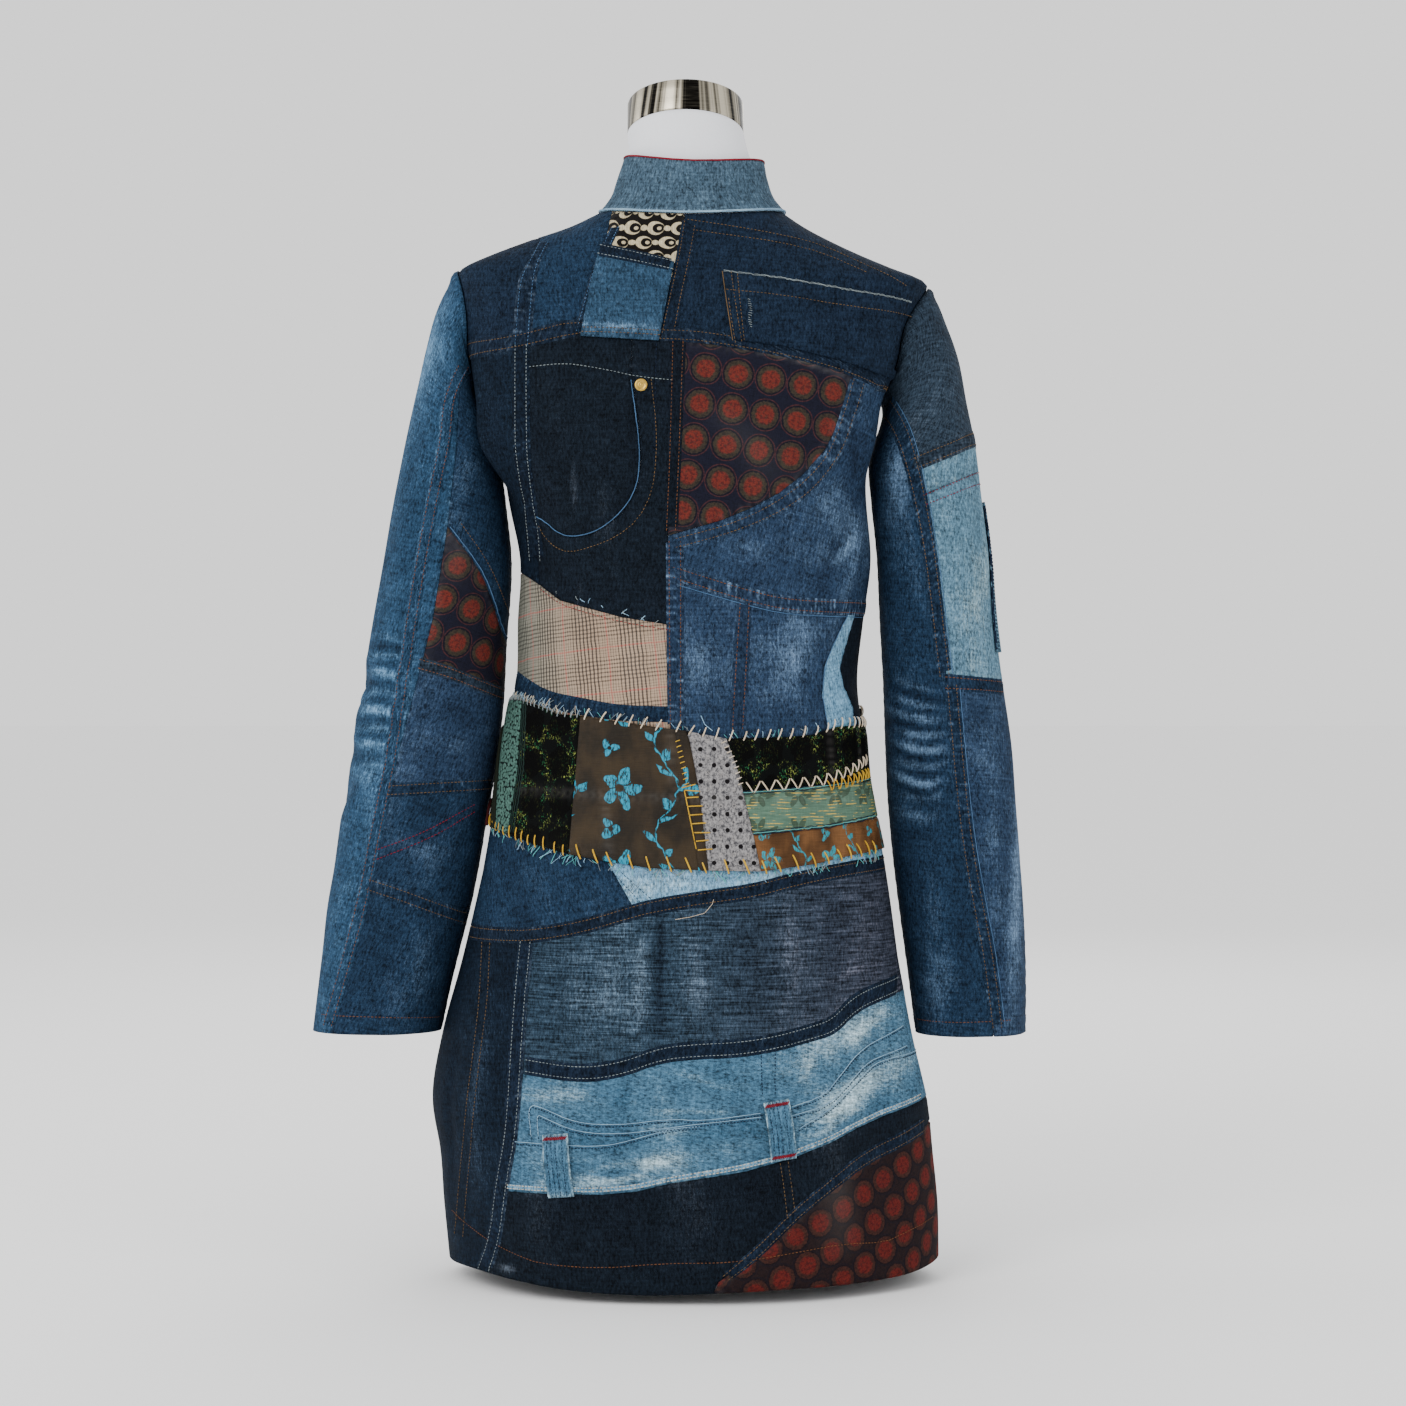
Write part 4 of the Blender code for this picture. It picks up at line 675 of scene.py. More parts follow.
# Each piece of the back: the wall it is cut from, its cloth's slot, and the seams round it in order. A minus sign
# runs a seam backwards, and a corner outside the cloth is given by its two sizes.
PANELS = table(
    Panel,
    ("yoke_left_outer", "body", "indigo_dark", ("yoke_left_strip", "-yoke_1", (-260, 900))),
    ("yoke_left_inner", "body", "indigo_dark", ("yoke_middle_strip", "-yoke_2", "-yoke_left_strip")),
    ("yoke_ring_insert", "body", "ring_cloth", ("yoke_right_strip", "-yoke_4", "-yoke_3", "-yoke_middle_strip")),
    ("yoke_right", "body", "indigo_dark", ("-yoke_right_strip", (260, 900), "-yoke_7", "-yoke_6", "-yoke_5")),
    ("back_left_side", "body", "indigo_mid", ("yoke_1", "side_strip_1", "side_strip_2", "-check_top_1")),
    ("back_pocket_bag", "body", "indigo_black", ("yoke_2", "yoke_3", "pocket_curve", "-side_strip_1")),
    ("back_pocket_panel", "body", "indigo_black",
     ("yoke_4", "yoke_5", "centre_1", "centre_2", "centre_3", "-check_top_2", "-side_strip_2", "-pocket_curve")),
    ("back_check", "body", "check_cloth", ("check_top_1", "check_top_2", "centre_4", "-waist_2", "-waist_1")),
    ("back_dots", "body", "dot_cloth", ("yoke_6", "dots_curve", "-centre_1")),
    ("back_right_side", "body", "indigo_mid",
     ("yoke_7", "-rib_seam_3", "-rib_seam_2", "-rib_seam_1", "-centre_2", "-dots_curve")),
    ("back_lower_middle", "body", "indigo_mid",
     ("rib_seam_1", "crescent_left", "-waist_3", "-centre_4", "-centre_3")),
    ("back_crescent", "body", "blue_light", ("rib_seam_2", "crescent_right", "-waist_4", "-crescent_left")),
    ("back_right_low", "body", "indigo_dark", ("rib_seam_3", "-waist_5", "-crescent_right")),
    ("skirt_upper_left", "body", "indigo_mid", ("waist_1", "sky_edge", "-hip_2", "-hip_1")),
    ("skirt_sky", "body", "blue_light", ("waist_2", "waist_3", "waist_4", "waist_5", "-hip_3", "-sky_edge")),
    ("skirt_left", "body", "indigo_mid", ("hip_1", "skirt_strip_1", "skirt_strip_2", "skirt_strip_3", (-260, -20))),
    ("skirt_slub", "body", "slub_slate", ("hip_2", "hip_3", "-slub_base", "-skirt_strip_1")),
    ("skirt_bleached", "body", "blue_bleached", ("slub_base", "-bleach_base", "-skirt_strip_2")),
    ("skirt_dark", "body", "indigo_black", ("bleach_base", "corner_seam", "-skirt_strip_3")),
    ("skirt_dots", "body", "dot_cloth", ("corner_seam", (260, -20))),
    ("sleeve_left_outer", "left", "indigo_blue",
     ("left_long_1", "left_long_2", "left_long_3", "left_long_4", "left_long_5", (-400, 170), (-400, 900),
      (-140, 900))),
    ("sleeve_left_upper", "left", "indigo_mid", ("left_long_1", "elbow_arc", (-100, 770))),
    ("sleeve_left_dots", "left", "dot_cloth", ("left_long_2", "elbow_base", "-elbow_arc")),
    ("sleeve_left_elbow", "left", "slub_slate", ("left_long_3", "slate_base", "-elbow_base")),
    ("sleeve_left_fore", "left", "indigo_dark", ("left_long_4", "fore_base", "-slate_base")),
    ("sleeve_left_cuff", "left", "indigo_mid", ("left_long_5", (-100, 170), "-fore_base")),
    ("sleeve_right_top", "right", "slub_slate", ("right_long_1", "top_base", (300, 900), (120, 900))),
    ("sleeve_right_strip", "right", "blue_light", ("right_long_2", "light_base", "-top_base")),
    ("sleeve_right_panel", "right", "blue_light", ("right_long_3", "mint_base", "-light_base")),
    ("sleeve_right_inner", "right", "indigo_dark",
     ("right_long_1", "right_long_2", "right_long_3", "right_long_4", (60, 170), (60, 760))),
    ("sleeve_right_lower", "right", "indigo_mid", ("mint_base", (300, 170), "-right_long_4")))

# Pieces that lie on the cloth, as plain outlines
LAID_ON = (
    ("yoke_blue_patch", "indigo_blue",
     ((-72, 829), (-12, 817), (-24, 753), (-86, 757), (-79, 796))),
    ("yoke_pocket", "indigo_dark",
     ((26, 809), (100, 800), (174, 791), (166, 757), (158, 728), (122, 738), (73, 749), (34, 754))),
    ("band_left", "lurex_black",
     ((-260, 475), (-139, 471), (-121, 466), (-104, 459), (-86, 458), (-95, 348), (-122, 355), (-146, 363),
      (-163, 370), (-260, 377))),
    ("band_brocade", "brocade_brown",
     ((-86, 458), (-59, 454), (-33, 450), (-3, 446), (0, 438), (6, 402), (14, 336), (-33, 338), (-66, 343),
      (-95, 348))),
    ("band_grey", "grey_dotted",
     ((-3, 446), (29, 440), (40, 409), (42, 398), (50, 364), (56, 335), (14, 336), (6, 402), (0, 438))),
    ("band_lurex", "lurex_black",
     ((29, 440), (76, 441), (98, 443), (117, 449), (135, 450), (260, 457), (260, 413), (145, 405), (42, 398),
      (40, 409))),
    ("band_sage", "brocade_sage",
     ((42, 398), (145, 405), (260, 413), (260, 382), (150, 375), (110, 369), (50, 364))),
    ("band_rust", "brocade_brown",
     ((50, 364), (110, 369), (150, 375), (260, 382), (260, 356), (151, 349), (128, 346), (98, 340), (56, 335))))
print("seams:", len(SEAMS), "pieces of the back:", len(PANELS) + len(LAID_ON))

# %% Outlines
def narrowed(outline, inset):
    """Move each side of a flat outline inwards by a small distance."""
    points = np.array(outline, dtype=float)
    ahead = np.roll(points, -1, axis=0)
    area = np.sum(points[:, 0] * ahead[:, 1] - ahead[:, 0] * points[:, 1])
    if area < 0:
        points = points[::-1]
        ahead = np.roll(points, -1, axis=0)
    run = ahead - points
    run /= np.linalg.norm(run, axis=1, keepdims=True)
    inward = pair(-run[:, 1], run[:, 0])
    before = np.roll(inward, 1, axis=0)
    middle = inward + before
    middle /= np.maximum(np.sum(middle * inward, axis=1, keepdims=True), 0.2)
    return points + middle * inset


def chain(outline):
    """Join seams and corners into one loop of points without repeats."""
    loop = []
    for step in outline:
        if isinstance(step, str):
            points = SEAMS[step.lstrip("-")]
            points = points[::-1] if step.startswith("-") else points
        else:
            points = (step,)
        for point in points:
            if not loop or loop[-1] != point:
                loop.append(point)
    if loop[0] == loop[-1]:
        loop.pop()
    return loop

SEAM_WALL = {}
for piece in PANELS:
    for part in piece.outline:
        if isinstance(part, str):
            SEAM_WALL[part.lstrip("-")] = WALLS[piece.wall]
ON_PLAN = {name: wall.on_plan(SEAMS[name]) for name, wall in SEAM_WALL.items()}
for name, wall in SEAM_WALL.items():
    wall.seams.append(even(ON_PLAN[name], 2.0))
for wall in WALLS.values():
    up = np.arange(wall.low, wall.high + 0.1, 2.0)
    for side in (-1, 1):
        wall.seams.append(pair(side * wall.limit(up) * wall.per_degree, up))
    wall.finish_seams()
print("seam points:", sum(len(wall.seam_run) for wall in WALLS.values()))

# %% [markdown]
# ## Wear and painted shade
# Indigo sits only on the outside of the warp threads, so it rubs away wherever the cloth stands proud: on
# ridges, along seams, over the seat and the elbows. Each fade is a soft oval placed one by one. The mesh carries
# the amount as an attribute, and the material breaks it up with the slubs of the cloth.

# %% Fades of the back: middle, half length and half width, turn of the long axis, amount; a negative amount is painted shade
Fade = namedtuple("Fade", "x z long wide turn amount")
FADES_AND_SHADES = table(Fade,
    (-110, 660, 70, 14, 90, 0.06), (-70, 640, 40, 8, 90, 0.10), (124, 612, 34, 20, -40, 0.38),
    (96, 588, 34, 12, -20, 0.22), (40, 590, 30, 8, -10, 0.14), (8, 502, 30, 26, 90, 0.30),
    (78, 512, 40, 24, 60, 0.30), (110, 556, 20, 12, 0, -0.10), (-50, 764, 34, 4, -2, 0.24),
    (-120, 320, 40, 30, 10, 0.08), (-90, 240, 50, 24, 90, 0.16), (-40, 250, 50, 12, 90, 0.16),
    (10, 250, 50, 16, 90, 0.02), (130, 270, 40, 30, 90, 0.10), (-110, 160, 26, 10, 10, 0.35),
    (-60, 160, 26, 10, 10, 0.05), (-66, 112, 60, 8, 4, 0.18), (-70, 96, 50, 6, 4, 0.35), (10, 118, 60, 8, 8, 0.20),
    (-20, 160, 34, 9, -6, -0.14), (120, 205, 60, 18, 20, 0.45), (140, 166, 50, 15, 24, 0.56),
    (-30, 325, 30, 10, 10, 0.25), (60, 328, 50, 8, 4, 0.18), (-186, 120, 90, 10, 84, 0.10),
    (-215, 750, 46, 20, 70, 0.42), (-236, 660, 46, 14, 78, 0.20), (-248, 465, 60, 24, 78, 0.24),
    (-225, 590, 50, 10, 80, -0.20), (-172, 670, 40, 10, 84, 0.12), (-282, 300, 90, 14, 78, 0.10),
    (-250, 380, 34, 20, 80, 0.16), (-210, 340, 30, 14, 60, 0.14), (-236, 240, 44, 20, 84, 0.14),
    (-180, 560, 60, 10, 84, -0.10), (184, 430, 56, 22, 90, 0.24), (170, 655, 34, 12, 82, 0.55),
    (205, 240, 36, 14, 84, 0.22), (190, 330, 50, 16, 84, -0.14), (268, 330, 120, 8, 86, 0.50),
    (240, 440, 44, 18, 80, 0.14), (236, 560, 60, 12, 84, 0.30), (214, 600, 40, 8, 84, -0.12),
    (206, 716, 36, 20, 60, 0.06), (196, 770, 20, 14, 60, -0.10), (60, 790, 40, 16, 0, 0.05),
    (-144, 22, 7, 3, 0, 0.90))


def fade_and_shade_at(x, z):
    """How worn the back is at a place, from the fades alone; a negative value is painted shade."""
    total = np.zeros(x.shape)
    for row in FADES_AND_SHADES:
        c, s = math.cos(math.radians(row.turn)), math.sin(math.radians(row.turn))
        a, b = (x - row.x) * c + (z - row.z) * s, -(x - row.x) * s + (z - row.z) * c
        total += row.amount * np.exp(-((a / row.long) ** 2) - (b / row.wide) ** 2)
    return total


# %% Rubbed lines: whiskers, folds and edges that have gone pale; a negative amount is painted shade in a crease trough or under the pocket's edge
RubAndShade = namedtuple("RubAndShade", "points width amount")
RUBS_AND_SHADES = table(RubAndShade,
    (((-264, 523), (-240, 521), (-218, 512)), 2.6, 0.19), (((-268, 506), (-242, 509), (-217, 500)), 2.4, 0.28),
    (((-269, 492), (-246, 494), (-224, 484)), 2.2, 0.26), (((-272, 475), (-247, 479), (-226, 469)), 2.2, 0.28),
    (((-274, 460), (-250, 464), (-229, 456)), 2.2, 0.25), (((-276, 446), (-252, 450), (-232, 441)), 2.0, 0.22),
    (((-278, 431), (-254, 437), (-234, 429)), 2.0, 0.21), (((-280, 414), (-260, 420), (-242, 414)), 2.4, 0.17),
    (((-267, 515), (-242, 514), (-219, 506)), 2.4, -0.50), (((-269, 499), (-246, 501), (-222, 492)), 2.2, -0.50),
    (((-271, 484), (-248, 486), (-226, 477)), 2.2, -0.50), (((-273, 467), (-250, 471), (-228, 463)), 2.0, -0.44),
    (((-275, 453), (-252, 457), (-231, 449)), 2.0, -0.44), (((-277, 439), (-254, 443), (-234, 435)), 2.0, -0.39),
    (((162, 490), (182, 480), (207, 476)), 3.3, 0.24), (((161, 476), (184, 467), (208, 464)), 3.5, 0.33),
    (((161, 462), (182, 454), (209, 455)), 3.3, 0.28), (((162, 449), (186, 441), (210, 444)), 3.5, 0.36),
    (((163, 436), (188, 429), (211, 433)), 3.3, 0.30), (((164, 424), (190, 415), (210, 420)), 3.5, 0.36),
    (((165, 411), (188, 401), (209, 408)), 3.5, 0.33), (((168, 396), (190, 388), (207, 396)), 3.7, 0.27),
    (((171, 380), (192, 374), (207, 384)), 3.9, 0.16), (((161, 483), (184, 473), (207, 470)), 2.0, -0.55),
    (((161, 469), (184, 460), (208, 459)), 2.0, -0.5), (((162, 455), (186, 447), (209, 449)), 2.0, -0.55),
    (((163, 442), (188, 434), (210, 438)), 2.0, -0.5), (((164, 430), (190, 421), (211, 426)), 2.0, -0.55),
    (((165, 417), (188, 407), (210, 414)), 2.0, -0.5), (((167, 403), (190, 394), (208, 402)), 2.2, -0.44),
    (((-40, 172), (-44, 158), (-42, 142)), 3.0, 0.22), (((-30, 186), (0, 178), (24, 170), (52, 167)), 2.4, 0.34),
    (((-36, 148), (-10, 152), (26, 148), (56, 158)), 2.6, 0.32),
    (((-60, 142), (-30, 136), (0, 134), (30, 138)), 2.0, 0.22),
    (((-92, 92), (-62, 94), (-34, 104), (-8, 118)), 4.0, 0.38),
    (((-86, 104), (-56, 108), (-24, 112), (-6, 110)), 2.2, 0.30), (((-104, 168), (-74, 158), (-60, 150)), 4.0, 0.15),
    (((-84, 99), (-50, 101), (-20, 108)), 2.0, -0.30), (((-110, 104), (-80, 106), (-60, 112)), 2.4, -0.25),
    (((88, 146), (104, 150), (126, 166), (150, 178)), 2.0, 0.30),
    (((86, 140), (112, 142), (132, 158), (160, 168)), 2.4, 0.29),
    (((84, 126), (104, 132), (122, 142), (150, 156)), 2.6, 0.34), (((84, 170), (92, 178), (98, 196)), 2.6, 0.22),
    (((120, 196), (136, 206), (160, 226)), 5.0, 0.26), (((90, 134), (110, 136), (126, 148)), 2.0, -0.25),
    (((-23, 310), (-22, 280), (-24, 230), (-22, 198)), 2.2, -0.60),
    (((-34, 306), (-36, 270), (-38, 230), (-34, 196)), 7.0, 0.26), (((8, 300), (6, 260), (8, 210)), 6.0, 0.10),
    (((60, 310), (62, 260), (66, 214)), 8.0, -0.20), (((-125, 270), (-100, 262), (-60, 268)), 8.0, 0.12),
    (((-120, 236), (-90, 230), (-50, 240)), 10.0, 0.12), (((92, 240), (118, 250), (150, 262)), 2.0, 0.25),
    (((-84, 766), (-55, 766), (-24, 763)), 2.4, 0.2), (((-80, 796), (-50, 800), (-20, 794)), 10.0, -0.10),
    (((-50, 716), (-47, 690), (-43, 664), (-46, 640), (-56, 622), (-76, 608), (-96, 604)), 1.6, -0.50),
    (((22, 752), (60, 745), (104, 733), (150, 716)), 1.6, 0.30), (((-178, 745), (-140, 748), (-100, 756)), 1.6, 0.25),
    (((-92, 662), (-91, 640), (-92, 616)), 2.4, 0.35), (((-88, 572), (-87, 550), (-88, 530)), 2.0, 0.25),
    (((134, 606), (126, 590), (112, 576)), 4.0, 0.35), (((140, 690), (142, 668), (138, 640)), 3.0, -0.30),
    (((126, 700), (128, 676), (134, 654)), 2.0, -0.40))


def rub_and_shade_at(x, z):
    """How rubbed the back is at a place, from the drawn lines; a negative value is painted shade."""
    total = np.zeros(x.shape)
    for row in RUBS_AND_SHADES:
        line = rounded(row.points, 2)
        near = np.full(x.shape, 1e9)
        share = np.zeros(x.shape)
        for k, (a, b) in enumerate(zip(line[:-1], line[1:])):
            run = b - a
            t = np.clip(((x - a[0]) * run[0] + (z - a[1]) * run[1]) / (run @ run), 0, 1)
            away = np.hypot(x - a[0] - t * run[0], z - a[1] - t * run[1])
            share = np.where(away < near, (k + t) / (len(line) - 1), share)
            near = np.minimum(near, away)
        total += row.amount * bell(near / row.width) * np.clip(6 * share * (1 - share), 0, 1)
    return total


print("fades:", len(FADES_AND_SHADES))

# %% [markdown]
# ## Cutting a piece
# A piece is its outline on the plan, filled with an even net of triangles and then carried onto the creased
# sheet. A grid cut by a boolean would be simpler, but its triangles would be long and thin at every seam and
# the shading would show them. Each piece is a closed shell once Solidify has given it the cloth's thickness.

# %% Filling an outline
def inside(points, loop):
    """Which points lie inside a loop on the plan."""
    x, y = points[:, 0][:, None], points[:, 1][:, None]
    a, b = loop, np.roll(loop, -1, axis=0)
    crosses = (a[:, 1] > y) != (b[:, 1] > y)
    slope = (b[:, 0] - a[:, 0]) / np.where(b[:, 1] == a[:, 1], 1e-9, b[:, 1] - a[:, 1])
    return (np.sum(crosses & (x < a[:, 0] + slope * (y - a[:, 1])), axis=1) % 2) == 1


def fill(loop, step):
    """An even net of triangles inside a loop on the plan."""
    low, high = loop.min(axis=0), loop.max(axis=0)
    rows = np.arange(low[1] + 0.4 * step, high[1], step * 0.87)
    net = [np.stack([np.arange(low[0] + (0.5 * step if r % 2 else 0.0), high[0], step)] * 2, axis=1)
           for r in range(len(rows))]
    for row, z in zip(net, rows):
        row[:, 1] = z
    net = np.concatenate(net)
    net = net[inside(net, loop)]
    rim = look_up(loop)
    net = net[[rim.find((x, y, 0))[2] > 0.6 * step for x, y in net]]
    points = [Vector(p) for p in np.concatenate([loop, net])]
    found = delaunay_2d_cdt(points, [], [list(range(len(loop)))], 1, 1e-4)
    return np.array([tuple(p) for p in found[0]]), found[2]


def into_scene(name, data):
    """A new object in the scene."""
    thing = bpy.data.objects.new(name, data)
    bpy.context.scene.collection.objects.link(thing)
    return thing


def grid_faces(rows, wide):
    """Faces of a net of points, row by row."""
    return [(r * wide + c, r * wide + c + 1, (r + 1) * wide + c + 1, (r + 1) * wide + c)
            for r in range(rows - 1) for c in range(wide - 1)]


def put_float(mesh, name, values):
    """Store one number for every point of a mesh."""
    mesh.attributes.new(name, "FLOAT", "POINT").data.foreach_set("value", np.asarray(values, dtype=np.float32))


def put_plan(mesh, plan):
    """Store the plan as a UV map in metres."""
    layer = mesh.uv_layers.new(name="plan")
    corner = np.empty(len(mesh.loops), dtype=np.int32)
    mesh.loops.foreach_get("vertex_index", corner)
    layer.data.foreach_set("uv", (plan[corner] * MM).astype(np.float32).ravel())


def mesh_from(name, points, faces, plan, wear, shade):
    """A smooth mesh with its plan, its wear and its painted shade."""
    mesh = bpy.data.meshes.new(name)
    mesh.from_pydata([tuple(p) for p in points], [], faces)
    put_plan(mesh, plan)
    put_float(mesh, "wear", wear)
    put_float(mesh, "shade", shade)
    mesh.shade_smooth()
    return mesh


def add_piece(name, mesh, material, wall=0.0):
    """Put a piece into the scene, with the cloth's thickness on its inner side."""
    piece = into_scene(name, mesh)
    mesh.materials.append(material)
    if wall:
        cloth = piece.modifiers.new("cloth", "SOLIDIFY")
        cloth.thickness, cloth.offset, cloth.use_quality_normals = wall * MM, -1.0, True
    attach(piece, "root")
    return piece


def grain(wall, plan, turn, middle):
    """The plan in true lengths, turned to the way the piece was cut from its cloth."""
    c, s = math.cos(math.radians(turn)), math.sin(math.radians(turn))
    off = (wall.flat(plan) - wall.flat(middle)) * (1, wall.sign_down)
    return pair(off[:, 0] * c + off[:, 1] * s, -off[:, 0] * s + off[:, 1] * c)


# %% A piece of cloth
CLOTH = 1.5  # millimetres of cloth behind every drawn face
SEAM_WEAR_AND_SHADE = 4.0
SHELLS = {}


def worn(wall, plan, points):
    """Wear from seams, ridges and fades, and painted shade between seam puckers, in crease troughs and where a fade
    is negative.
    """
    away, run = wall.seam_near(plan)
    rope = 0.5 + 0.5 * np.sin(run * 1.05 + 1.9 * ripple(run * 0.23, 2.0))
    crease = wall.crease_depth(plan)
    wear = 0.20 * rope * bell(away / SEAM_WEAR_AND_SHADE) + 0.13 * np.clip(crease, 0, 3)
    # painted shade: darker between the puckers beside a seam and in the troughs of the creases
    shade = 0.35 * (1.0 - rope) * bell(away / SEAM_WEAR_AND_SHADE) + 0.20 * np.clip(-crease, 0, 3)
    back = points[:, 1] < 0.02
    fade = fade_and_shade_at(points[:, 0] / MM, points[:, 2] / MM) + rub_and_shade_at(points[:, 0] / MM, points[:, 2] / MM)
    return np.where(back, wear + np.clip(fade, 0, 1.5), wear), np.where(back, shade + np.clip(-fade, 0, 1), shade)


def cut_piece(name, wall, loop, material, step, out=0.0, turn=0.0, thick=CLOTH):
    """One piece of cloth: its outline on the plan, filled and laid on the wall."""
    plan, faces = fill(loop, step)
    points, _ = wall.place(plan, out)
    if wall.sign < 0:
        faces = [face[::-1] for face in faces]
    wear, shade = worn(wall, plan, points)
    plan = grain(wall, plan, turn, plan.mean(axis=0))
    piece = add_piece(name, mesh_from(name, points, faces, plan, wear, shade), material, thick)
    SHELLS[name] = piece
    return piece

# %% [markdown]
# ## Denim
# Denim is a twill: white weft behind indigo warp threads that vary in thickness. Up close it shows fine
# upright streaks, a slanting rib and pale specks, and it fades from deep indigo through blue to near white.
# One node group makes the cloth from the piece's own plan, and each pair of jeans gets its own colours.

# %% A helper for nodes
class Nodes:
    """Adds nodes to a tree and joins them."""

    def __init__(self, tree):
        self.tree = tree

    def add(self, kind, sockets=None, **settings):
        node = self.tree.nodes.new(kind)
        for key, value in settings.items():
            setattr(node, key, value)
        for key, value in (sockets or {}).items():
            if isinstance(value, bpy.types.NodeSocket):
                self.tree.links.new(value, node.inputs[key])
            else:
                node.inputs[key].default_value = value
        return node

    def math(self, operation, a, b=0.0, c=0.0):
        sockets = {0: a, 1: b}
        if operation in ("MULTIPLY_ADD", "SMOOTH_MIN", "SMOOTH_MAX"):
            sockets[2] = c
        return self.add("ShaderNodeMath", sockets, operation=operation).outputs[0]

    def total(self, *values):
        result = values[0]
        for value in values[1:]:
            result = self.math("ADD", result, value)
        return result

    def times(self, a, b):
        return self.math("MULTIPLY", a, b)

    def less(self, a, b=0.5):
        return self.math("SUBTRACT", a, b)

    def scaled(self, a, b, c):
        return self.math("MULTIPLY_ADD", a, b, c)

    def most(self, a, b):
        return self.math("MAXIMUM", a, b)

    def size(self, a):
        return self.math("ABSOLUTE", a)

    def soft(self, value, low, high, start=0.0, end=1.0):
        """Rise smoothly from start to end while the value goes from low to high."""
        return self.add("ShaderNodeMapRange", {0: value, 1: low, 2: high, 3: start, 4: end},
                        interpolation_type="SMOOTHSTEP").outputs[0]

    def mix(self, factor, a, b, blend="MIX"):
        """Mix two colours, each a socket or three numbers."""
        a, b = ((*colour, 1) if isinstance(colour, tuple) else colour for colour in (a, b))
        node = self.add("ShaderNodeMix", {0: factor, 6: a, 7: b}, data_type="RGBA", blend_type=blend)
        return node.outputs[2]

    def noise(self, place, across, along_it, detail=3.0, rough=0.6, w=0.0):
        """Noise stretched along the cloth: cells a metre across and along."""
        scaled = self.add("ShaderNodeVectorMath", {0: place, 1: (across, along_it, 1.0)}, operation="MULTIPLY")
        moved = self.add("ShaderNodeVectorMath", {0: scaled.outputs[0], 1: (w, 3.7 * w, 0.0)}, operation="ADD")
        node = self.add("ShaderNodeTexNoise", {"Vector": moved.outputs[0], "Scale": 1.0, "Detail": detail,
                                               "Roughness": rough}, noise_dimensions="2D")
        return node.outputs[0]

    def here(self):
        """The place in the piece's own coordinates."""
        return self.add("ShaderNodeTexCoord").outputs["Object"]

    def stretched(self, place, by):
        return self.add("ShaderNodeVectorMath", {0: place, 1: by}, operation="MULTIPLY").outputs[0]

    def cloud(self, place, scale, detail):
        return self.add("ShaderNodeTexNoise", {"Vector": place, "Scale": scale, "Detail": detail}).outputs[0]

    def attribute(self, name):
        return self.add("ShaderNodeAttribute", attribute_name=name).outputs["Fac"]

    def plan(self):
        return self.add("ShaderNodeUVMap", uv_map="plan").outputs[0]

    def split(self, vector):
        node = self.add("ShaderNodeSeparateXYZ", {0: vector})
        return node.outputs[0], node.outputs[1]

    def wave(self, value, length):
        """A wave between 0 and 1 of a given length in metres."""
        sine = self.math("SINE", self.times(value, 2.0 * math.pi / length))
        return self.math("MULTIPLY_ADD", sine, 0.5, 0.5)


def group(name, inputs, outputs):
    """A node group with named sockets."""
    tree = bpy.data.node_groups.new(name, "ShaderNodeTree")
    for label, kind, value in inputs:
        socket = tree.interface.new_socket(label, in_out="INPUT", socket_type=kind)
        socket.default_value = value
    for label, kind in outputs:
        tree.interface.new_socket(label, in_out="OUTPUT", socket_type=kind)
    nodes = Nodes(tree)
    return tree, nodes, tree.nodes.new("NodeGroupInput"), tree.nodes.new("NodeGroupOutput")


